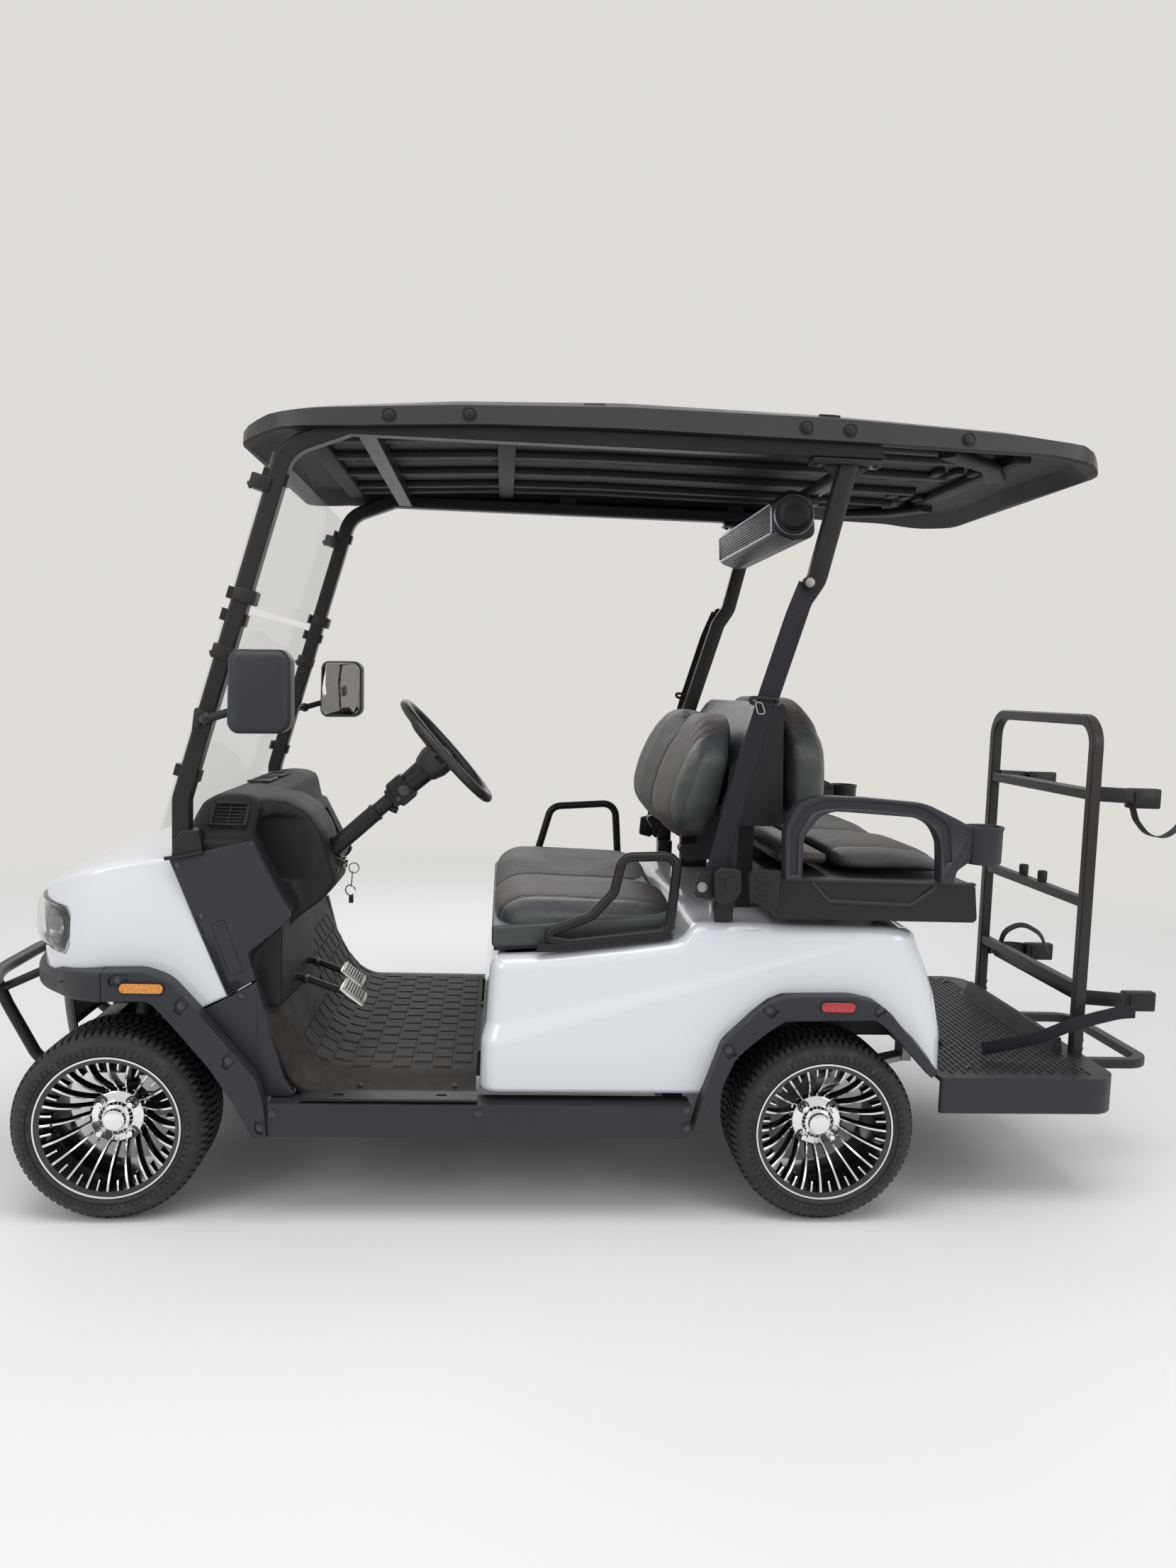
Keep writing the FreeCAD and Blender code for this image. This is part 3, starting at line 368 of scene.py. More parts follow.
@dataclass(frozen=True)
class Rubber(Finish):
    """Matt rubber with a trace of dust."""

    colour: tuple[float, float, float] = (0.016, 0.016, 0.018)
    dust: tuple[float, float, float] = (0.045, 0.044, 0.044)

    def cook(self, recipe: Recipe) -> bpy.types.Material:
        """Writes the recipe.

        Args:
            recipe: the material being made.

        Returns:
            The finished material.
        """
        cloud = recipe.noise(38.0, 4.0, 0.65).step(0.5, 0.75)
        rough = 0.62 + 0.16 * recipe.noise(60.0, 3.0)
        return recipe.surface(Base_Color=recipe.blend(cloud, self.colour, self.dust), Roughness=rough,
                              Normal=recipe.relief(recipe.noise(700.0, 2.0), 0.0003, 0.4))


@dataclass(frozen=True)
class Metal(Finish):
    """Bare or plated metal with a fine machined or cast texture."""

    colour: tuple[float, float, float] = (0.83, 0.82, 0.81)
    roughness: float = 0.12
    lines: float = 0.05

    def cook(self, recipe: Recipe) -> bpy.types.Material:
        """Writes the recipe.

        Args:
            recipe: the material being made.

        Returns:
            The finished material.
        """
        marks = recipe.noise(900.0, 2.0, 0.6, recipe.stretched(1, 0.1, 1))
        rough = self.roughness + self.lines * recipe.noise(120.0, 3.0, 0.7)
        return recipe.surface(Base_Color=self.colour, Metallic=1.0, Roughness=rough,
                              Normal=recipe.relief(marks, 0.0001, 0.12))


@dataclass(frozen=True)
class Enamel(Finish):
    """Hard gloss coat, as on the dark part of an alloy wheel."""

    colour: tuple[float, float, float] = (0.006, 0.006, 0.007)
    roughness: float = 0.14

    def cook(self, recipe: Recipe) -> bpy.types.Material:
        """Writes the recipe.

        Args:
            recipe: the material being made.

        Returns:
            The finished material.
        """
        rough = self.roughness + 0.08 * recipe.noise(90.0, 3.0)
        return recipe.surface(Base_Color=self.colour, Roughness=rough, Coat_Weight=0.7, Coat_Roughness=0.06,
                              Normal=recipe.relief(recipe.noise(260.0), 0.0002, 0.1))


@dataclass(frozen=True)
class Clear(Finish):
    """Clear moulded sheet or lens."""

    colour: tuple[float, float, float] = (0.96, 0.98, 0.98)
    roughness: float = 0.02
    index: float = 1.45

    def cook(self, recipe: Recipe) -> bpy.types.Material:
        """Writes the recipe.

        Args:
            recipe: the material being made.

        Returns:
            The finished material.
        """
        rough = self.roughness + 0.03 * recipe.noise(14.0, 4.0).step(0.55, 0.9)
        return recipe.surface(Base_Color=self.colour, Roughness=rough, IOR=self.index,
                              Transmission_Weight=1.0)


@dataclass(frozen=True)
class ThinSheet(Finish):
    """Thin clear sheet that hardly bends the light."""

    colour: tuple[float, float, float] = (0.52, 0.54, 0.54)
    cover: float = 0.13

    def cook(self, recipe: Recipe) -> bpy.types.Material:
        """Writes the recipe."""
        rough = 0.05 + 0.04 * recipe.noise(14.0, 4.0).step(0.55, 0.9)
        return recipe.surface(Base_Color=self.colour, Roughness=rough, Alpha=self.cover)


@dataclass(frozen=True)
class Glow(Finish):
    """Coloured reflector lens with small prisms under its face."""

    colour: tuple[float, float, float] = (0.95, 0.33, 0.01)

    def cook(self, recipe: Recipe) -> bpy.types.Material:
        """Writes the recipe.

        Args:
            recipe: the material being made.

        Returns:
            The finished material.
        """
        prism = recipe.cells(260.0, "F1")
        deep = tuple(part * 0.55 for part in self.colour)
        return recipe.surface(Base_Color=recipe.blend(prism.step(0.1, 0.7), self.colour, deep),
                              Roughness=0.18,
                              Coat_Weight=1.0, Coat_Roughness=0.03, Normal=recipe.relief(prism, 0.0012, 0.5))


@dataclass(frozen=True)
class Vinyl(Finish):
    """Seat vinyl with leather grain."""

    colour: tuple[float, float, float] = (0.034, 0.039, 0.041)
    pale: tuple[float, float, float] = (0.05, 0.056, 0.059)

    def cook(self, recipe: Recipe) -> bpy.types.Material:
        """Writes the recipe.

        Args:
            recipe: the material being made.

        Returns:
            The finished material.
        """
        grain = recipe.cells(420.0, "DISTANCE_TO_EDGE").step(0.0, 0.35)
        creases = recipe.noise(48.0, 4.0, 0.6)
        height = 0.7 * grain + 0.3 * creases
        rough = 0.36 + 0.1 * recipe.noise(18.0, 3.0)
        return recipe.surface(Base_Color=recipe.blend(recipe.noise(6.0), self.colour, self.pale),
                              Roughness=rough,
                              Normal=recipe.relief(height, 0.0005, 0.35))


@dataclass(frozen=True)
class Webbing(Finish):
    """Flat woven strap."""

    colour: tuple[float, float, float] = (0.0085, 0.009, 0.012)

    def cook(self, recipe: Recipe) -> bpy.types.Material:
        """Writes the recipe.

        Args:
            recipe: the material being made.

        Returns:
            The finished material.
        """
        warp = (recipe.axis("Y") * 2600.0).sine()
        weft = ((recipe.axis("Z") + recipe.axis("X")) * 2100.0).sine()
        weave = (warp * weft) * 0.5 + 0.5
        pale = tuple(part * 2.0 for part in self.colour)
        return recipe.surface(Base_Color=recipe.blend(weave, self.colour, pale), Roughness=0.6,
                              Specular_IOR_Level=0.25,
                              Normal=recipe.relief(weave, 0.0006, 0.6))


WHITE = Paint("white_gloss")
CHARCOAL = Moulding("charcoal_moulding")
CHARCOAL_DEEP = Moulding("charcoal_inner", colour=(0.008, 0.008, 0.009), roughness=0.6)
ROOF_INSIDE = Moulding("roof_underside", colour=(0.007, 0.0065, 0.006), roughness=0.6)
SATIN_ROOF = Moulding("satin_roof_skin", colour=(0.028, 0.029, 0.028), roughness=0.36, grain=1500.0,
                      depth=0.0001)
BLACK_TUBE = PowderCoat("satin_black_tube")
BROWN_BLACK_TUBE = PowderCoat("rear_tube_coat", colour=(0.019, 0.016, 0.014), roughness=0.4)
BLACK_MOULDING = Moulding("black_moulding", colour=(0.008, 0.008, 0.009), roughness=0.42)
TYRE_RUBBER = Rubber("tyre_rubber")
MAT_RUBBER = Rubber("floor_mat_rubber", colour=(0.019, 0.015, 0.012), dust=(0.04, 0.031, 0.024))
MACHINED = Metal("machined_alloy", roughness=0.17)
CHROME = Metal("polished_hub", colour=(0.88, 0.88, 0.89), roughness=0.05, lines=0.03)
MIRROR = Metal("mirror_glass", colour=(0.3, 0.29, 0.28), roughness=0.03, lines=0.0)
LAMP_BOWL = Metal("lamp_bowl", colour=(0.2, 0.2, 0.21), roughness=0.22, lines=0.1)
GLOSS_BLACK = Enamel("gloss_black_alloy")
STEEL = Metal("plain_steel", colour=(0.36, 0.35, 0.34), roughness=0.38, lines=0.2)
BOLT_BLACK = Metal("blackened_bolt", colour=(0.09, 0.09, 0.1), roughness=0.3, lines=0.1)
LILAC_TRIM = Metal("lilac_trim", colour=(0.5, 0.48, 0.6), roughness=0.38, lines=0.1)
GLASS = ThinSheet("windshield_sheet")
LENS = Clear("lamp_lens", index=1.49)
AMBER = Glow("amber_lens")
RED_LENS = Glow("red_lens", colour=(0.62, 0.005, 0.012))
VINYL = Vinyl("seat_vinyl")
SEAT_CLOTH = Vinyl("seat_insert_plain", colour=(0.033, 0.026, 0.022), pale=(0.044, 0.035, 0.03))
STRAP = Webbing("woven_strap")
WHEEL_GRIP = Vinyl("wheel_grip", colour=(0.014, 0.014, 0.015), pale=(0.022, 0.022, 0.023))


class Plane(Enum):
    """Plane of a flat outline, with the way that it is pushed."""

    SIDE = "xz"
    PLAN = "xy"
    FRONT = "yz"

    def point(self, a: float, b: float, depth: float) -> Vector:
        """Point of the outline at a depth along the push.

        Args:
            a: first coordinate of the outline's plane.
            b: second coordinate of the outline's plane.
            depth: distance along the push.

        Returns:
            The point, in millimetres.
        """
        if self is Plane.SIDE:
            return Vector((a, depth, b))
        if self is Plane.PLAN:
            return Vector((a, b, depth))
        return Vector((depth, a, b))


def rounded(points: Sequence[Sequence[float]], radius: float | Sequence[float] = 0.0, closed: bool = True,
            turn_step: float = 12.0) -> list[Vector]:
    """Turns the corners of an outline or a route into arcs.

    Args:
        points: corners, in two or three coordinates.
        radius: one radius, or one for each corner.
        closed: joins the last corner to the first.
        turn_step: degrees that one run of an arc turns.

    Returns:
        The points along the rounded line, with as many coordinates as were given.
    """
    flat = len(points[0]) == 2
    places = [Vector((*p, 0.0)) if flat else Vector(p) for p in points]
    count = len(places)
    radii = list(radius) if isinstance(radius, (list, tuple)) else [radius] * count
    line: list[Vector] = []
    for i, here in enumerate(places):
        inner = closed or 0 < i < count - 1
        back = places[i - 1] - here
        ahead = places[(i + 1) % count] - here
        turn = math.pi - back.angle(ahead) if inner and radii[i] > 0 else 0.0
        if turn < 0.02:
            line.append(here)
            continue
        reach = min(radii[i] * math.tan(turn / 2), 0.49 * back.length, 0.49 * ahead.length)
        bend = reach / math.tan(turn / 2)
        inward = (back.normalized() + ahead.normalized()).normalized()
        centre = here + inward * (bend / math.cos(turn / 2))
        start = here + back.normalized() * reach - centre
        axis = start.cross(here + ahead.normalized() * reach - centre).normalized()
        steps = max(2, math.ceil(math.degrees(turn) / turn_step))
        for k in range(steps + 1):
            line.append(centre + Quaternion(axis, turn * k / steps) @ start)
    return [p.to_2d() for p in line] if flat else line


def circle(radius: float, steps: int = 16) -> list[tuple[float, float]]:
    """Round tube section."""
    return [(radius * math.cos(2 * math.pi * k / steps), radius * math.sin(2 * math.pi * k / steps))
            for k in range(steps)]


def soft_box(width: float, height: float, radius: float) -> list[Vector]:
    """Section of a tube or bar with rounded corners."""
    a, b = width / 2, height / 2
    return rounded([(-a, -b), (a, -b), (a, b), (-a, b)], radius, turn_step=30)


def blend_value(table: Sequence[tuple[float, float]], at: float) -> float:
    """Value between the rows of a short table of (position, value).

    Args:
        table: rows of (position, value), in order.
        at: position to read the table at.

    Returns:
        The value there.
    """
    if at <= table[0][0]:
        return table[0][1]
    for (x0, v0), (x1, v1) in zip(table, table[1:]):
        if at <= x1:
            return v0 + (v1 - v0) * (at - x0) / (x1 - x0)
    return table[-1][1]


def placed(name: str, data: bpy.types.ID) -> bpy.types.Object:
    """New object in the scene, for a mesh, a camera or a light.

    Args:
        name: name of what is made.
        data: mesh, camera or light.

    Returns:
        The new object.
    """
    item = bpy.data.objects.new(name, data)
    bpy.context.scene.collection.objects.link(item)
    return item


def verts_of(made: Sequence[bmesh.types.BMElem]) -> list[bmesh.types.BMVert]:
    """The vertices in an operator's result."""
    return [item for item in made if isinstance(item, bmesh.types.BMVert)]


class Form:
    """Mesh of one piece while it is made, in millimetres from the rear axle."""

    def __init__(self) -> None:
        """Starts an empty mesh."""
        self.bm = bmesh.new()

    def mesh(self, name: str) -> bpy.types.Mesh:
        """Ends the form and returns its mesh.

        Args:
            name: name of what is made.

        Returns:
            The new mesh.
        """
        mesh = bpy.data.meshes.new(name)
        self.bm.to_mesh(mesh)
        self.bm.free()
        return mesh

    def outward(self) -> None:
        """Turns all faces outwards."""
        bmesh.ops.recalc_face_normals(self.bm, faces=self.bm.faces)

    def whole(self) -> None:
        """Adds the other half, joins the two and turns the faces outwards."""
        self.mirror()
        bmesh.ops.remove_doubles(self.bm, verts=self.bm.verts, dist=WELD)
        self.outward()

    def dress(self, finish: int, closed: bool = False) -> list[bmesh.types.BMFace]:
        """Gives the faces made since the last call a finish.

        Args:
            finish: number of the finish in the list that build() gets.
            closed: turns the faces of a closed shape outwards.

        Returns:
            The new faces.
        """
        fresh = [face for face in self.bm.faces if face.material_index == 0]
        for face in fresh:
            face.material_index = finish + 1
        if closed:
            bmesh.ops.recalc_face_normals(self.bm, faces=fresh)
        return fresh

    def wire(self, points: Sequence[Sequence[float]], closed: bool = True) -> list[bmesh.types.BMEdge]:
        """Edges through points.

        Args:
            points: points in millimetres.
            closed: joins the last point to the first.

        Returns:
            The new edges.
        """
        verts = [self.bm.verts.new(p) for p in points]
        ends = verts[1:] + verts[:1] if closed else verts[1:]
        return [self.bm.edges.new(pair) for pair in zip(verts, ends)]

    def prism(self, plane: Plane, outline: Sequence[Sequence[float]], low: float, high: float,
              radius: float | Sequence[float] = 0.0, finish: int = 0, edge: float = 0.0,
              segments: int = 2) -> None:
        """Slab with a flat outline.

        Args:
            plane: plane of the outline.
            outline: its corners.
            low: depth where the slab starts.
            high: depth where it ends.
            radius: rounding of the corners.
            finish: number of its finish.
            edge: width of the bevel round its two faces.
            segments: steps of that bevel.
        """
        points = rounded(outline, radius)
        face = self.bm.faces.new([self.bm.verts.new(plane.point(a, b, low)) for a, b in points])
        pushed = bmesh.ops.extrude_face_region(self.bm, geom=[face])["geom"]
        verts = verts_of(pushed)
        bmesh.ops.translate(self.bm, verts=verts, vec=plane.point(0, 0, high - low))
        fresh = self.dress(finish, closed=True)
        if edge:
            rims = {e for f in fresh if len(f.verts) == len(points) for e in f.edges}
            self.bevel(list(rims), edge, segments)

    def bevel(self, edges: list[bmesh.types.BMEdge], width: float, segments: int = 2) -> None:
        """Rounds edges.

        Args:
            edges: edges to round.
            width: width of the rounding.
            segments: steps of the rounding.
        """
        bmesh.ops.bevel(self.bm, geom=edges, offset=width, offset_type="OFFSET", affect="EDGES",
                        segments=segments,
                        profile=0.5, material=-1, clamp_overlap=True)

    def block(self, low: Sequence[float], high: Sequence[float], finish: int = 0, edge: float = 0.0,
              turn: Matrix | None = None) -> None:
        """Rectangular block between two corners, with rounded edges, turned about its middle.

        Args:
            low: lower corner, or lower end.
            high: upper corner, or upper end.
            finish: index of the finish.
            edge: width of the rounded edges.
            turn: rotation about the middle.
        """
        size = Vector(high) - Vector(low)
        middle = (Vector(high) + Vector(low)) / 2
        matrix = Matrix.Translation(middle) @ (turn or Matrix()) @ Matrix.Diagonal((*size, 1))
        bmesh.ops.create_cube(self.bm, size=1.0, matrix=matrix)
        fresh = self.dress(finish)
        if edge:
            self.bevel(list({e for f in fresh for e in f.edges}), edge, 2)

    def rod(self, start: Sequence[float], end: Sequence[float], radius: float, finish: int = 0,
            steps: int = 16,
            end_radius: float | None = None, edge: float = 0.0) -> None:
        """Round bar or cone from one point to another.

        Args:
            start: where it begins.
            end: where it ends.
            radius: radius in millimetres.
            finish: index of the finish.
            steps: number of steps.
            end_radius: radius at the far end, where it differs.
            edge: width of the rounded edges.
        """
        a, b = Vector(start), Vector(end)
        turn = (b - a).to_track_quat("Z", "Y").to_matrix().to_4x4()
        bmesh.ops.create_cone(self.bm, cap_ends=True, segments=steps, radius1=radius,
                              radius2=radius if end_radius is None else end_radius, depth=(b - a).length,
                              matrix=Matrix.Translation((a + b) / 2) @ turn)
        fresh = self.dress(finish)
        if edge:
            rims = {e for f in fresh if len(f.verts) == steps for e in f.edges}
            self.bevel(list(rims), edge, 2)

    def ball(self, centre: Sequence[float], radius: float, finish: int = 0) -> None:
        """Round ball.

        Args:
            centre: the middle.
            radius: radius in millimetres.
            finish: index of the finish.
        """
        matrix = Matrix.Translation(Vector(centre))
        bmesh.ops.create_uvsphere(self.bm, u_segments=20, v_segments=12, radius=radius, matrix=matrix)
        self.dress(finish)

    def sweep(self, route: Sequence[Sequence[float]], section: Sequence[Sequence[float]], finish: int = 0,
              closed: bool = False, level: Sequence[float] = (0, 0, 1)) -> None:
        """Moves a section along a route by extruding its ring from station to station.

        Args:
            route: points of the route.
            section: ring of offsets, across and upright.
            finish: number of its finish.
            closed: joins the last station to the first.
            level: direction that the section's upright leans to.
        """
        places = [Vector(p) for p in route]
        count = len(places)
        stations = []
        for i, here in enumerate(places):
            after = places[(i + 1) % count] if closed or i < count - 1 else here
            before = places[i - 1] if closed or i > 0 else here
            along = (after - before).normalized()
            across = along.cross(Vector(level))
            if across.length < 0.05:
                across = along.cross(Vector((1, 0, 0)))
            if stations:
                old = stations[-1].to_3x3().col[0]
                moved = old - along * old.dot(along)
                across = moved if moved.length > 0.2 else across
            across.normalize()
            upright = across.cross(along)
            matrix = Matrix((across, upright, along)).transposed().to_4x4()
            stations.append(Matrix.Translation(here) @ matrix)
        edges = self.wire([stations[0] @ Vector((a, b, 0)) for a, b in section])
        first = edges
        for before, after in zip(stations, stations[1:]):
            made = bmesh.ops.extrude_edge_only(self.bm, edges=edges)["geom"]
            verts = verts_of(made)
            bmesh.ops.transform(self.bm, matrix=after @ before.inverted(), verts=verts)
            edges = [item for item in made if isinstance(item, bmesh.types.BMEdge)
                     and all(v in verts for v in item.verts)]
        if closed:
            bmesh.ops.bridge_loops(self.bm, edges=edges + first)
        else:
            for rim in (first, edges):
                bmesh.ops.edgeloop_fill(self.bm, edges=rim)
        self.dress(finish, closed=True)

    def lathe(self, profile: Sequence[Sequence[float]], centre: Sequence[float],
              axis: Sequence[float] = (0, 1, 0),
              steps: int = 48, finish: int = 0, closed: bool = False) -> None:
        """Turns a profile about an axis.

        Args:
            profile: points of (radius, distance along the axis).
            centre: place of the axis.
            axis: its direction.
            steps: steps of the turn.
            finish: number of its finish.
            closed: joins the profile's last point to its first.
        """
        along = Vector(axis).normalized()
        out = along.orthogonal().normalized()
        middle = Vector(centre)
        edges = self.wire([middle + out * r + along * d for r, d in profile], closed)
        verts = list({v for e in edges for v in e.verts})
        bmesh.ops.spin(self.bm, geom=verts + edges, cent=middle, axis=along, angle=2 * math.pi, steps=steps,
                       use_merge=True, dvec=(0, 0, 0), use_duplicate=False)
        fresh = self.dress(finish)
        bmesh.ops.remove_doubles(self.bm, verts=list({v for f in fresh for v in f.verts}), dist=0.01)
        bmesh.ops.recalc_face_normals(self.bm, faces=[f for f in fresh if f.is_valid])

    def skin(self, columns: int, rows: int, place: Callable[[float, float], Sequence[float]],
             finish: int = 0) -> None:
        """Sheet made from a grid whose points are moved to place(u, v), with u and v from 0 to 1.

        Args:
            columns: steps along u.
            rows: steps along v.
            place: where the pattern is read, or the function that places a point.
            finish: index of the finish.
        """
        made = bmesh.ops.create_grid(self.bm, x_segments=columns, y_segments=rows, size=0.5)
        for vert in made["verts"]:
            vert.co = Vector(place(vert.co.x + 0.5, vert.co.y + 0.5))
        self.dress(finish)

    def loft(self, rings: Sequence[Sequence[Vector]], finish: int = 0) -> None:
        """Closed skin through rings that have the same number of points.

        Args:
            rings: rings of points.
            finish: index of the finish.
        """
        count, last = len(rings[0]), len(rings) - 1
        made = bmesh.ops.create_grid(self.bm, x_segments=count, y_segments=last, size=0.5)["verts"]
        for vert in made:
            u, v = round((vert.co.x + 0.5) * count) % count, round((vert.co.y + 0.5) * last)
            vert.co = Vector(rings[v][u])
        bmesh.ops.remove_doubles(self.bm, verts=made, dist=0.001)
        rims = [e for e in self.bm.edges if e.is_boundary and e.link_faces[0].material_index == 0]
        bmesh.ops.holes_fill(self.bm, edges=rims, sides=0)
        self.dress(finish, closed=True)

    def wall_along(self, line: Sequence[Sequence[float]], low: float, high: float, finish: int = 0) -> None:
        """Open wall that follows a side-view line from one y to another.

        Args:
            line: points of the line, in order.
            low: lower corner, or lower end.
            high: upper corner, or upper end.
            finish: index of the finish.
        """
        edges = self.wire([Plane.SIDE.point(a, b, low) for a, b in line], closed=False)
        made = bmesh.ops.extrude_edge_only(self.bm, edges=edges)["geom"]
        bmesh.ops.translate(self.bm, vec=(0, high - low, 0), verts=verts_of(made))
        self.dress(finish)

    def mirror(self) -> None:
        """Adds the mirror image on the other side of the cart."""
        copy = bmesh.ops.duplicate(self.bm,
                                   geom=list(self.bm.verts) + list(self.bm.edges)
                                   + list(self.bm.faces))["geom"]
        bmesh.ops.scale(self.bm, vec=(1, -1, 1), verts=verts_of(copy))
        bmesh.ops.reverse_faces(self.bm,
                                faces=[item for item in copy if isinstance(item, bmesh.types.BMFace)])

    def around(self, count: int, centre: Sequence[float], axis: Sequence[float] = (0, 1, 0)) -> None:
        """Repeats all that is there round an axis.

        Args:
            count: number of copies in a full turn.
            centre: the middle.
            axis: direction of the axis.
        """
        source = list(self.bm.verts) + list(self.bm.edges) + list(self.bm.faces)
        for k in range(1, count):
            copy = bmesh.ops.duplicate(self.bm, geom=source)["geom"]
            bmesh.ops.rotate(self.bm, cent=Vector(centre),
                             matrix=Matrix.Rotation(2 * math.pi * k / count, 3, Vector(axis)),
                             verts=verts_of(copy))

    def turn(self, matrix: Matrix) -> None:
        """Moves all that is there."""
        bmesh.ops.transform(self.bm, matrix=matrix, verts=self.bm.verts)

    def bolt(self, at: Sequence[float], toward: Sequence[float], radius: float = 7.0,
             finish: int = 0) -> None:
        """Socket-head bolt on a washer.

        Args:
            at: middle of the washer's foot.
            toward: direction of the bolt's head.
            radius: radius in millimetres.
            finish: index of the finish.
        """
        a, out = Vector(at), Vector(toward).normalized()
        self.rod(a - out * 1.0, a + out * 1.6, radius * 1.35, finish, 20, edge=0.5)
        self.rod(a, a + out * 5.0, radius * 0.86, finish, 12, edge=0.9)
        self.lathe([(0.0, 3.4), (radius * 0.42, 3.4), (radius * 0.42, 5.3), (radius * 0.55, 5.3)], a, out, 6,
                   finish)

    def build(self, name: str, body: Body, finishes: Sequence[Finish], replaces: Sequence[str] = (),
              slot: str = "",
              sharp: float = 38.0, thickness: float = 0.0, inner: int = 0) -> bpy.types.Object:
        """Makes the finished piece.

        Args:
            name: the piece's name.
            body: the body that it rides on.
            finishes: its finishes, in the order of their numbers.
            replaces: nodes of the frame that it stands for.
            slot: the record's material slot; not used.
            sharp: angle above which an edge stays sharp.
            thickness: wall given to an open sheet, inwards.
            inner: how many finishes further the wall's inside is.

        Returns:
            The object.
        """
        self.turn(TO_ROW)
        for face in self.bm.faces:
            face.smooth = True
            face.material_index = max(0, face.material_index - 1)
        mesh = self.mesh(name)
        mesh.set_sharp_from_angle(angle=math.radians(sharp))
        piece = placed(name, mesh)
        for finish in finishes:
            mesh.materials.append(finish.material())
        if thickness:
            wall = piece.modifiers.new("wall", "SOLIDIFY")
            wall.thickness = thickness * MM
            wall.offset = -1.0
            wall.use_even_offset = True
            wall.material_offset = inner
        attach(piece, body.value)
        if replaces:
            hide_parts(*replaces)
        LOG.info("%s: %d faces", name, len(mesh.polygons))
        return piece


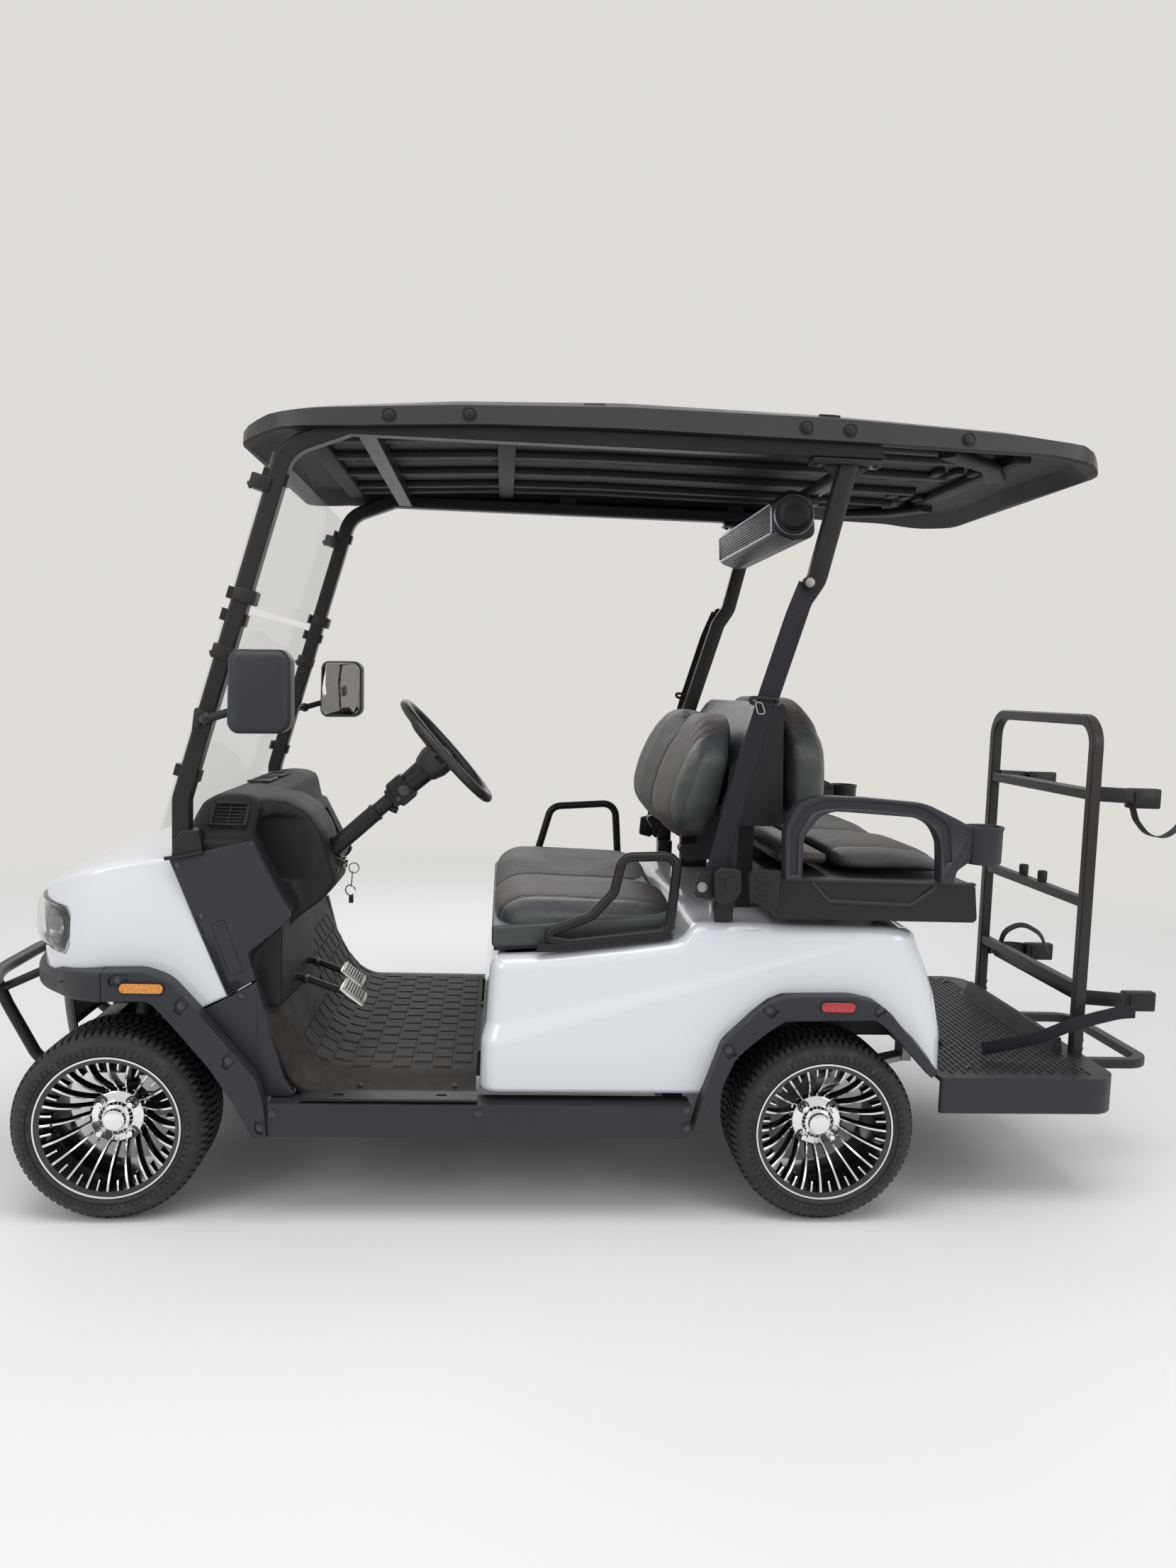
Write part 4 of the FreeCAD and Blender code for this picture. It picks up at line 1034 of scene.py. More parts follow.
@dataclass
class Wheel:
    """One alloy wheel with its low-profile tyre."""

    corner: str
    body: Body
    axle_x: float
    side: int
    outer_y: float = 600.0
    width: float = 215.0
    lip_radius: float = 170.0
    seat_radius: float = 158.0
    dish: float = 78.0
    hub_radius: float = 66.0
    blades: int = 20
    pitches: int = 76
    lugs: int = 4
    lug_circle: float = 50.8

    def place(self, form: Form) -> None:
        """Puts a wheel drawn about the origin, with its face towards +y, at its corner.

        Args:
            form: the form that is added to.
        """
        form.turn(Matrix.Translation((self.axle_x, 0, TYRE_RADIUS)) @ Matrix.Diagonal((1, self.side, 1, 1)))
        if self.side < 0:
            bmesh.ops.reverse_faces(form.bm, faces=form.bm.faces)

    def tyre(self) -> None:
        """Carcass with ribs on its sidewall, and the directional tread blocks."""
        form = Form()
        out, r = self.outer_y, TYRE_RADIUS
        inn = out - self.width
        base = r - 7
        half = [(self.seat_radius + 1, 22), (self.lip_radius - 2, 15), (self.lip_radius + 4, 7), (178, 3.5),
                (183, 4.5),
                (184, 1.5), (187, 1.5), (188, 3), (198, 1.5), (206, 6), (214, 14), (base - 1, 26), (base, 40)]
        profile = [(q, out - d) for q, d in half] + [(q, inn + d) for q, d in reversed(half)]
        form.lathe(profile, (0, 0, 0), steps=120, closed=True)
        centre = out - self.width / 2
        span = self.width / 2 - 6
        pitch = 2 * math.pi / self.pitches
        for sign in (1, -1):
            for inner, outer, share, slant in ((0.05, 0.27, 0.66, 0.55), (0.33, 0.62, 0.62, 0.75),
                                               (0.66, 1.0, 0.64, 0.35)):
                self.block(form, centre, sign, span, pitch, inner, outer, share, slant)
        self.place(form)
        form.build(f"tyre_{self.corner}_tread", self.body, [TYRE_RUBBER], [f"tyre_{self.corner}"], "tyre",
                   sharp=30)

    def block(self, form: Form, centre: float, sign: int, span: float, pitch: float, inner: float,
              outer: float, share: float, slant: float) -> None:
        """One row of slanted tread blocks, bent over the shoulder, all round the tyre.

        Args:
            form: the form that is added to.
            centre: the tyre's middle plane.
            sign: 1 or -1, for the half of the tread.
            span: half width of the tread.
            pitch: angle from block to block.
            inner: share of the half width where the row starts.
            outer: share of the half width where the row ends.
            share: share of the pitch that is rubber.
            slant: how far a block leans.
        """
        row = Form()
        base, crown = TYRE_RADIUS - 9, TYRE_RADIUS

        def lift(t: float) -> float:
            """Drop of the tread's surface towards the shoulder."""
            return 34.0 * max(0.0, (t - 0.72) / 0.28) ** 2.2 + 2.0 * t * t

        def place(u: float, v: float) -> Vector:
            """Point of the block's outer face.

            Args:
                u: place along the surface, from 0 to 1.
                v: place across the surface, from 0 to 1.

            Returns:
                The point, in millimetres.
            """
            t = inner + (outer - inner) * v
            angle = pitch * (share * (u - 0.5) + slant * t * 1.6)
            y = centre + sign * (span * t + (6 if t > 0.96 else 0))
            radius = crown - lift(t)
            return Vector((radius * math.sin(angle), y, radius * math.cos(angle)))

        row.skin(2, 5 if outer > 0.9 else 3, place)
        rim = [e for e in row.bm.edges if e.is_boundary]
        made = bmesh.ops.extrude_edge_only(row.bm, edges=rim)["geom"]
        for vert in verts_of(made):
            flat = Vector((vert.co.x, 0, vert.co.z))
            vert.co -= flat.normalized() * (crown - base) * 0.9
        row.dress(0)
        row.outward()
        row.around(self.pitches, (0, 0, 0))
        self.join(form, row)

    @staticmethod
    def join(form: Form, part: Form) -> None:
        """Adds one form's mesh to another.

        Args:
            form: the form that is added to.
            part: the form that is added.
        """
        mesh = part.mesh("part")
        form.bm.from_mesh(mesh)
        bpy.data.meshes.remove(mesh)

    def depth(self, radius: float) -> float:
        """How far a blade's edge lies behind the lip."""
        return self.dish * ((self.lip_radius - radius) / (self.lip_radius - self.hub_radius)) ** 2

    def rim(self) -> None:
        """Gloss barrel, machined ring and blades, polished hub with its lugs and cap."""
        form = Form()
        face = self.outer_y - 10
        hub = face - self.dish
        inner = self.outer_y - self.width + 11
        black, bright, polished = 0, 1, 2
        for index, (radius, thick, back) in enumerate(((self.hub_radius - 8, 6.5, 26.0),
                                                       (self.seat_radius - 26, 5.0, 16.0))):
            row = Form()
            steps = 12 if index == 0 else 4
            rim_r = self.seat_radius - 2
            radii = [rim_r + (radius - rim_r) * k / steps for k in range(steps + 1)]
            front = [(face - 5 - self.depth(q), q) for q in radii]
            back_line = [(y - back - 10 * k / steps, q) for k, (y, q) in enumerate(front)]
            outline = front + back_line[::-1]
            verts = [row.bm.verts.new((-thick / 2, y, q)) for y, q in outline]
            flat = row.bm.faces.new(verts)
            pushed = bmesh.ops.extrude_face_region(row.bm, geom=[flat])["geom"]
            bmesh.ops.translate(row.bm, verts=verts_of(pushed), vec=(thick, 0, 0))
            row.dress(black, closed=True)
            for side_face in row.bm.faces:
                if len(side_face.verts) == 4 and side_face.normal.y > 0.3 and abs(side_face.normal.x) < 0.3:
                    side_face.material_index = bright + 1
            edges = [e for e in row.bm.edges if len(e.link_faces) == 2 and
                     {f.material_index for f in e.link_faces} == {black + 1, bright + 1}]
            row.bevel(edges, 0.7, 1)
            if index == 0:
                for vert in row.bm.verts:
                    taper = (vert.co.z - self.hub_radius) / (self.seat_radius - self.hub_radius)
                    vert.co.x *= 0.66 + 0.34 * taper
            else:
                row.turn(Matrix.Rotation(math.pi / self.blades, 4, "Y"))
            row.around(self.blades, (0, 0, 0))
            self.join(form, row)
        seat, lip = self.seat_radius, self.lip_radius
        barrel = [(seat - 6, inner), (lip - 2, inner), (lip - 2, inner + 7), (seat, inner + 11),
                  (seat, face - 15),
                  (lip + 1, face - 8), (lip + 1, face - 1), (lip, face + 0.4), (lip - 4, face + 0.4),
                  (lip - 5, face - 2),
                  (seat - 3, face - 5), (seat - 4, face - 40), (seat - 12, face - 60),
                  (seat - 12, inner + 20)]
        form.lathe(barrel, (0, 0, 0), steps=96, finish=black, closed=True)
        form.lathe([(lip - 0.2, face + 0.2), (lip - 0.4, face + 1.3), (lip - 4.2, face + 1.3),
                    (lip - 4.6, face - 1.4)],
                   (0, 0, 0), steps=96, finish=bright)
        disc = [(0.0, hub + 31), (20, hub + 31), (24.5, hub + 29.5), (26, hub + 26), (27, hub + 22),
                (33, hub + 20),
                (37, hub + 15), (39, hub + 8), (44, hub + 5.5), (58, hub + 3.5),
                (self.hub_radius - 3, hub + 1.5),
                (self.hub_radius, hub - 3), (self.hub_radius, hub - 12), (self.hub_radius - 3, hub - 30),
                (16, hub - 30)]
        form.lathe(disc, (0, 0, 0), steps=72, finish=polished)
        for k in range(self.lugs):
            turn = math.radians(45) + 2 * math.pi * k / self.lugs
            lug = Vector((self.lug_circle * math.cos(turn), 0, self.lug_circle * math.sin(turn)))
            form.lathe([(15.5, hub + 1.5), (15.5, hub + 6.2), (10.5, hub + 6.6), (9.6, hub + 3)], lug,
                       steps=24, finish=black)
            form.lathe([(10.5, hub + 1), (10.5, hub + 8), (9.2, hub + 9), (9.0, hub + 21), (7.0, hub + 25),
                        (0.0, hub + 26)],
                       lug, steps=6, finish=polished)
        form.rod((seat - 22, face - 30, 0), (seat - 30, face - 8, 0), 3.2, black, 10)
        self.place(form)
        form.build(f"rim_{self.corner}_alloy", self.body, [GLOSS_BLACK, MACHINED, CHROME],
                   [f"rim_{self.corner}"], "rim",
                   sharp=35)

    def build(self) -> None:
        """Makes the wheel."""
        self.tyre()
        self.rim()


@dataclass
class FrontBody:
    """White front cowl with its lamps, the charcoal bumper band and the wheel flares."""

    rear_top: tuple[float, float] = (1577.0, 862.0)
    rear_low: tuple[float, float] = (1438.0, 538.0)
    nose_x: float = 1984.0
    curve_x: float = 1715.0
    half: float = 562.0
    curl: float = 2.11
    shoulder: float = 18.0
    lamp: tuple[float, float] = (0.542, 0.815)

    def top(self, x: float, y: float) -> float:
        """Height of the cowl's crown."""
        run = max(0.0, (x - 1560) / 430)
        return 888.6 - 167 * run ** 2.16 - 23.7 * (y / 500) ** 2

    def bottom(self, x: float) -> float:
        """Height of the cowl's lower edge.

        Args:
            x: place along the cart.

        Returns:
            The value, in millimetres.
        """
        return blend_value(((1438, 538), (1513, 501), (1566, 588), (1619, 604), (1712, 602), (1832, 588),
                            (1862, 575),
                            (1920, 565), (1984, 557)), x)

    def rear(self, z: float) -> float:
        """The cowl's slanted rear edge."""
        share = (z - self.rear_low[1]) / (self.rear_top[1] - self.rear_low[1])
        return self.rear_low[0] + max(0.0, min(1.0, share)) * (self.rear_top[0] - self.rear_low[0])

    def point(self, u: float, v: float, inset: float = 0.0,
              foot: Callable[[float], float] | None = None) -> Vector:
        """Point of the cowl's surface.

        Args:
            u: 0 at the rear edge, 1 at the middle of the nose.
            v: 0 at the lower edge, 1 at the centre line of the top.
            inset: distance inside the surface.
            foot: height of the lower edge, if not the cowl's own.

        Returns:
            The point, on the driver's side.
        """
        straight, wall, bend = 0.42, 0.6, 0.7
        if u <= straight:
            share, plan, inward = u / straight, Vector((0, self.half)), Vector((0, -1))
        else:
            angle = math.pi / 2 * (1 - (u - straight) / (1 - straight))
            reach = self.nose_x - self.curve_x
            power = 2 / self.curl
            cos, sin = max(0.0, math.cos(angle)), max(0.0, math.sin(angle))
            share, plan = 1.0, Vector((self.curve_x + reach * cos ** power, self.half * sin ** power))
            inward = Vector((-cos * 1.5, -sin)).normalized()
        height_at = foot or self.bottom
        low_x = self.rear_low[0] + (self.curve_x - self.rear_low[0]) * share if u <= straight else plan.x
        low = height_at(low_x)
        brow_x = self.rear_top[0] + (self.curve_x - self.rear_top[0]) * share if u <= straight else plan.x
        edge_x = brow_x + inward.x * self.shoulder
        edge_y = plan.y + inward.y * self.shoulder
        crown = self.top(edge_x, edge_y) - inset

        def lean_at(z: float) -> float:
            """How far the wall leans inwards at a height."""
            return 18.0 * ((z - 640) / 200) ** 2 if z > 640 else 0.0

        if v <= wall:
            z = low + (crown - self.shoulder - low) * v / wall
            lean = lean_at(z)
            x = self.rear(z) + (self.curve_x - self.rear(z)) * share if u <= straight else plan.x
            return Vector((x + inward.x * (lean + inset), plan.y + inward.y * (lean + inset), z))
        lean = lean_at(crown - self.shoulder)
        rear = self.rear(crown - self.shoulder)
        start = Vector((brow_x if u > straight else rear + (self.curve_x - rear) * share, plan.y))
        start += inward * (lean + inset)
        if v <= bend:
            turn = math.pi / 2 * (v - wall) / (bend - wall)
            spot = start + inward * self.shoulder * (1 - math.cos(turn))
            return Vector((spot.x, spot.y, crown - self.shoulder * (1 - math.sin(turn))))
        spot = start + inward * self.shoulder
        spine_x = 1585 + (self.nose_x - 95 - 1585) * u
        t = (v - bend) / (1 - bend)
        x = spot.x + (spine_x - spot.x) * t
        y = spot.y * (1 - t)
        return Vector((x, y, self.top(x, y) - inset))

    def cowl(self) -> None:
        """White shell with the lamp openings cut through its corners."""
        form = Form()
        form.skin(130, 64, self.point, 0)
        form.whole()
        piece = form.build("cowl_shell", Body.ROOT, [WHITE, CHARCOAL_DEEP], ["front_cowl"], "white_paint",
                           sharp=50,
                           thickness=5.0, inner=1)
        cutter = Form()
        for side in (1, -1):
            outline = [(1822, 628), (2100, 622), (2100, 733), (1818, 733), (1806, 712), (1808, 668)]
            cutter.prism(Plane.SIDE, outline, side * 286, side * 640, [14, 0, 0, 12, 12, 16], 1)
        cut_away(piece, cutter)

    def lamps(self) -> None:
        """Dark bowl, reflectors and clear lens in each corner."""
        start, end = self.lamp
        for side, name in ((1, "left"), (-1, "right")):
            bowl = Form()
            lens = Form()

            def wall(u: float, v: float, inset: float, side: int = side) -> Vector:
                """Point on the lamp's surface, following the cowl's corner.

                Args:
                    u: place along the surface, from 0 to 1.
                    v: place across the surface, from 0 to 1.
                    inset: distance inside the outer skin.
                    side: distance to the left.

                Returns:
                    The point, in millimetres.
                """
                low = 624 + 20 * max(0.0, 1 - u / 0.06)
                high = 737 - 14 * max(0.0, 1 - u / 0.05)
                spot = self.point(start + (end - start) * u, 0.0, inset, lambda x: low + (high - low) * v)
                return Vector((spot.x, side * spot.y, spot.z))

            def hollow(u: float, v: float) -> Vector:
                """Point of the bowl behind the lens."""
                deep = 58 * (1 - abs(2 * u - 1) ** 4) * (1 - abs(2 * v - 1) ** 4)
                return wall(u, v, 3 + deep)

            def clear(u: float, v: float) -> Vector:
                """Point of the lens, which swells forward on the nose's side.

                Args:
                    u: place along the surface, from 0 to 1.
                    v: place across the surface, from 0 to 1.

                Returns:
                    The point, in millimetres.
                """
                swell = math.sin(math.pi / 2 * min(1.0, u / 0.45))
                swell *= math.sin(math.pi / 2 * min(1.0, (1 - u) / 0.12))
                return wall(u, v, 1.5 - 19 * swell * (1 - abs(2 * v - 1) ** 5))

            bowl.skin(36, 18, hollow, 0)
            for u, radius in ((0.3, 34), (0.68, 36)):
                spot = wall(u, 0.5, 44)
                ahead = (wall(u, 0.5, -4) - spot).normalized()
                bowl.lathe([(6, 4), (radius * 0.5, 10), (radius * 0.8, 22), (radius, 38), (radius + 4, 40),
                            (radius + 5, 36), (radius + 3, 4)], spot, ahead, 36, 0)
                bowl.ball(spot + ahead * 14, 9, 2)
                bowl.lathe([(radius + 4, 39), (radius + 7, 41), (radius + 8, 37)], spot, ahead, 36, 1)
            bowl.block(wall(0.49, 0.5, 30) - Vector((5, 5, 40)), wall(0.49, 0.5, 30) + Vector((5, 5, 40)), 1,
                       2)
            for k in range(7):
                v = 0.14 + 0.12 * k
                bowl.rod(wall(0.86, v, 20), wall(0.97, v, 6), 2.2, 1, 8)
            bowl.outward()
            bowl.build(f"lamp_bowl_{name}", Body.ROOT, [LAMP_BOWL, GLOSS_BLACK, LENS], slot="lens", sharp=50)
            lens.skin(44, 18, clear, 0)
            lens.outward()
            lens.build(f"lamp_lens_{name}", Body.ROOT, [LENS], ["headlamps"] if side > 0 else [], "lens",
                       thickness=2.5)

    def bumper(self) -> None:
        """Charcoal band round the nose and the panel below it."""
        form = Form()

        def band(u: float, v: float) -> Vector:
            """Point of the band, from the flare's seam to the middle of the nose.

            Args:
                u: place along the surface, from 0 to 1.
                v: place across the surface, from 0 to 1.

            Returns:
                The point, in millimetres.
            """
            where = 0.4155 + 0.5845 * u
            x = self.point(where, 0.0).x
            out = 15 + 34 * max(0.0, min(1.0, (1830 - x) / 118))
            foot = blend_value(((1700, 531), (1856, 529), (1984, 519)), x)
            low = self.point(where, 0.0, -out, lambda _: foot)
            high = self.point(where, 0.0, -out, lambda _: self.bottom(x) + 0.5)
            if v <= 0.1:
                back = self.point(where, 0.0, 8, lambda _: foot - 1)
                return back.lerp(low, v / 0.1)
            if v >= 0.88:
                back = self.point(where, 0.0, 0, lambda _: self.bottom(x) + 1.5)
                return high.lerp(back, (v - 0.88) / 0.12)
            t = (v - 0.1) / 0.78
            edge = 4.0 * (abs(2 * t - 1) ** 8)
            spot = low.lerp(high, t)
            inward = (self.point(where, 0.0, 10, lambda _: spot.z) - self.point(where, 0.0, 0,
                                                                                lambda _: spot.z)) / 10
            return spot + inward * edge

        form.skin(70, 30, band, 0)
        form.whole()
        form.build("bumper_band", Body.ROOT, [CHARCOAL], ["front_bumper"], "charcoal_plastic", sharp=34,
                   thickness=4.0)
        panel = Form()

        def apron(u: float, v: float) -> Vector:
            """Point of the curved panel under the nose.

            Args:
                u: place along the surface, from 0 to 1.
                v: place across the surface, from 0 to 1.

            Returns:
                The point, in millimetres.
            """
            y = -262 + 524 * u
            bow = 1 - abs(y / 262) ** 5
            return Vector((1900 + 64 * bow - 18 * (1 - v) ** 2, y, 330 + 196 * v))

        panel.skin(44, 10, apron, 0)
        for k in range(3):
            z = 396 + 34 * k
            route = [(apron(u, (z - 330) / 196) + Vector((3, 0, 0)))
                     for u in (0.22, 0.32, 0.42, 0.5, 0.58, 0.68, 0.78)]
            panel.sweep(route, soft_box(8, 7, 2), 0)
        panel.outward()
        panel.build("nose_apron", Body.ROOT, [BLACK_MOULDING], slot="charcoal_plastic", thickness=4.0)

    def flares(self) -> None:
        """Wheel-arch flares with their bolt pockets and bolts."""
        outer = [(1711, 603), (1619, 606), (1565, 589), (1498, 516), (1361, 354), (1343, 294), (1335, 211)]
        inner = [(1366, 211), (1408, 290), (1470, 382), (1565, 494), (1605, 536), (1711, 533)]
        form = Form()
        form.prism(Plane.SIDE, outer + inner, 556, 612, [0, 30, 90, 60, 40, 80, 3, 3, 60, 200, 60, 40, 0], 0,
                   5.0, 3)
        form.mirror()
        piece = form.build("front_arch_flares", Body.ROOT, [CHARCOAL], ["front_flares"], "charcoal_plastic",
                           sharp=30)
        pockets = ((1672, 585, 0, 26), (1531, 527, -48, 24), (1423, 398, -50, 24), (1352, 238, -84, 18))
        bolt_pockets("front_flare", piece, pockets, 612)

    def wells(self) -> None:
        """Dark liners of the front wheel wells."""
        outline = [(1372, 240), (1400, 330), (1470, 440), (1560, 540), (1640, 575), (1780, 575), (1822, 562)]
        line = rounded(outline, [0, 30, 40, 50, 40, 60, 0], closed=False)
        form = Form()
        form.wall_along(line, 352, 556)
        form.mirror()
        form.build("front_wheel_wells", Body.ROOT, [CHARCOAL_DEEP], slot="charcoal_plastic", thickness=3.0)

    def build(self) -> None:
        """Makes the front body."""
        self.cowl()
        self.lamps()
        self.bumper()
        self.flares()
        self.wells()


def melted(form: Form, cell: float = 6.0, passes: int = 5, cutter: Form | None = None) -> Form:
    """One soft-edged moulding from overlapping closed shapes.

    Args:
        form: the shapes.
        cell: size of the moulding's faces.
        passes: how often its edges are softened.
        cutter: closed shapes that are hollowed out of it.

    Returns:
        The moulding as a new form.
    """
    objects = []
    for part in (form, cutter):
        if part:
            shape = placed("moulding", part.mesh("moulding"))
            even = shape.modifiers.new("even", "REMESH")
            even.mode = "VOXEL"
            even.voxel_size = cell
            objects.append(shape)
    source = objects[0]
    if cutter:
        cut = source.modifiers.new("cut", "BOOLEAN")
        cut.object = objects[1]
        cut.solver = "EXACT"
        again = source.modifiers.new("again", "REMESH")
        again.mode = "VOXEL"
        again.voxel_size = cell
    soft = source.modifiers.new("soft", "SMOOTH")
    soft.iterations = passes
    result = settled(source)
    fresh = Form()
    fresh.bm.from_mesh(result)
    for face in fresh.bm.faces:
        face.material_index = 1
    for shape in objects:
        bpy.data.objects.remove(shape)
    return fresh


def cut_away(piece: bpy.types.Object, cutter: Form) -> None:
    """Cuts the cutter's shape out of a piece and keeps the result as its mesh.

    Args:
        piece: the object that is worked on.
        cutter: closed form that is taken away.
    """
    cutter.turn(TO_ROW)
    tool = placed("cutter", cutter.mesh("cutter"))
    cut = piece.modifiers.new("cut", "BOOLEAN")
    cut.object = tool
    cut.solver = "EXACT"
    result = settled(piece)
    piece.modifiers.clear()
    piece.data = result
    bpy.data.objects.remove(tool)


def bolt_pockets(name: str, piece: bpy.types.Object, pockets: Sequence[tuple[float, float, float, float]],
                 face_y: float) -> None:
    """Cuts slanted pockets into a flare's face on both sides and puts a bolt in each.

    Args:
        name: start of the bolts' name.
        piece: the flare.
        pockets: centre x and z, turn in degrees and half size of each.
        face_y: the flare's outer face.
    """
    cutter = Form()
    bolts = Form()
    for x, z, turn, size in pockets:
        a = math.radians(turn)
        shape = [(-size * 0.9, -size * 0.55), (size * 0.8, -size * 0.55), (size * 0.9, size * 0.1),
                 (size * 0.2, size * 0.6),
                 (-size * 0.9, size * 0.6)]
        outline = [(x + p * math.cos(a) - q * math.sin(a), z + p * math.sin(a) + q * math.cos(a))
                   for p, q in shape]
        cutter.prism(Plane.SIDE, outline, face_y - 6, face_y + 12, 3)
        bolts.bolt((x, face_y - 5.8, z), (0, 1, 0), 7.0)
    cutter.mirror()
    bolts.mirror()
    cut_away(piece, cutter)
    bolts.build(f"{name}_bolts", Body.ROOT, [BOLT_BLACK], slot="black_metal")


@dataclass
class Dash:
    """Dash moulding with its side panels, vents, key switch, steering column and pedals."""

    half: float = 548.0
    face_y: float = 566.0
    tilt: float = 42.5
    hub: tuple[float, float, float] = (952.0, 300.0, 1114.0)

    def along(self, distance: float, off: float = 0.0, side: float = 0.0) -> Vector:
        """Point on the steering axis, a distance below the wheel's centre.

        Args:
            distance: how far down the axis.
            off: how far above the axis.
            side: how far to the driver's side.

        Returns:
            The point, in millimetres.
        """
        a = math.radians(self.tilt)
        down, up = Vector((math.cos(a), 0, -math.sin(a))), Vector((math.sin(a), 0, math.cos(a)))
        return Vector(self.hub) + down * distance + up * off + Vector((0, side, 0))

    def hump(self) -> list[list[Vector]]:
        """Rings of the raised top, from the windshield back to the driver.

        Returns:
            The rings, in order.
        """
        arch = rounded([(-540, 840), (-536, 905), (-432, 1004), (432, 1004), (536, 905), (540, 840)],
                       [0, 30, 60, 60, 30, 0],
                       turn_step=9)
        rings = []
        for x, rise, wide in ((1390, 0.84, 1.0), (1398, 0.93, 1.0), (1420, 0.985, 1.0), (1460, 1.0, 1.0),
                              (1500, 0.97, 1.0),
                              (1530, 0.86, 0.996), (1548, 0.66, 0.992), (1558, 0.42, 0.99)):
            rings.append([Vector((x, y * wide, 840 + (z - 840) * rise)) for y, z in arch])
        return rings

    def moulding(self) -> None:
        """Dash with its raised top, the housing round the column and the driver's pocket."""
        form = Form()
        outer = [(1395, 905), (1560, 905), (1575, 863), (1440, 545), (1396, 566), (1385, 640), (1318, 708),
                 (1300, 735),
                 (1386, 908)]
        form.prism(Plane.SIDE, outer, -self.half, self.half, [0, 20, 20, 0, 0, 20, 30, 20, 20])
        form.loft(self.hump())
        house = rounded([(1450, 1000), (1335, 992), (1283, 964), (1250, 914), (1234, 862), (1210, 782),
                         (1246, 738),
                         (1342, 665), (1430, 650)], [0, 60, 60, 50, 60, 24, 24, 30, 0])
        rings = []
        for y in range(0, 13):
            share = -1 + y / 6
            ring = []
            for x, z in house:
                reach = 112 + 40 * max(0.0, min(1.0, (x - 1215) / 230))
                slim = 1 - 0.035 * abs(share) ** 5
                ring.append(Vector((1450 - (1450 - x) * slim, 281 + share * reach, 640 + (z - 640) * slim)))
            rings.append(ring)
        form.loft(rings)
        form.rod(self.along(452), self.along(383), 41, 0, 40)
        panel = [(518, 500), (520, 712), (250, 690), (28, 655), (30, 455), (280, 478)]
        form.prism(Plane.FRONT, panel, 1322, 1392, 8)
        for x, reach in ((1440, 250), (1380, 180)):
            form.block((x, -420, 640), (x + 30, -reach, 700), 0)
        cutter = Form()
        pocket = [(1240, 778), (1378, 786), (1446, 900), (1436, 926), (1372, 950), (1200, 950)]
        cutter.prism(Plane.SIDE, pocket, 402, 468, [0, 20, 30, 20, 20, 0])
        tray = [(1230, 752), (1490, 752), (1494, 870), (1230, 872)]
        cutter.prism(Plane.SIDE, tray, -494, -128, 12)
        cutter.rod(self.along(470), self.along(370), 29, 0, 32)
        body = melted(form, 6.0, 6, cutter)
        body.build("dash_moulding", Body.ROOT, [CHARCOAL_DEEP], ["dashboard"], "charcoal_plastic", sharp=60)

    def vents(self) -> None:
        """Louvred vents on the slanted corners and along the middle of the top."""
        form = Form()
        for side in (1, -1):
            turn = Matrix.Rotation(math.radians(-side * 41), 4, "X")
            middle = Vector((1452, side * 486, 957))
            for a, b, c, d, z in ((-44, -38, 44, -31, 4), (-44, 31, 44, 38, 4), (-44, -38, -36, 38, 4),
                                  (36, -38, 44, 38, 4)):
                self.slat(form, middle, turn, (a, b, c, d), z, 5)
            for k in range(5):
                y = -22 + 11 * k
                self.slat(form, middle, turn, (-36, y - 3, 36, y + 2), 1.5, 3)
            self.slat(form, middle, turn, (-2, -31, 2, 31), 4, 3)
        for y in (-110, 60):
            middle = Vector((1462, y, 1005))
            for a, b, c, d in ((-28, -74, 28, -66), (-28, 66, 28, 74), (-28, -74, -20, 74),
                               (20, -74, 28, 74)):
                self.slat(form, middle, Matrix(), (a, b, c, d), 2, 5)
            for k in range(5):
                x = -14 + 7 * k
                self.slat(form, middle, Matrix(), (x - 1.6, -66, x + 1.6, 66), 0.5, 3)
        form.build("dash_vents", Body.ROOT, [BLACK_MOULDING], slot="black_plastic", sharp=30)

    @staticmethod
    def slat(form: Form, middle: Vector, turn: Matrix, box: tuple[float, float, float, float], lift: float,
             thick: float) -> None:
        """One bar of a vent, laid on its slanted face.

        Args:
            form: the form that is added to.
            middle: the middle of the vent.
            turn: slant of the vent's face.
            box: two opposite corners on that face.
            lift: distance above the face.
            thick: thickness of the bar.
        """
        x0, y0, x1, y1 = box
        centre = middle + turn @ Vector(((x0 + x1) / 2, (y0 + y1) / 2, lift))
        half = Vector((abs(x1 - x0) / 2, abs(y1 - y0) / 2, thick / 2))
        form.block(centre - half, centre + half, 0, 1.2, turn)

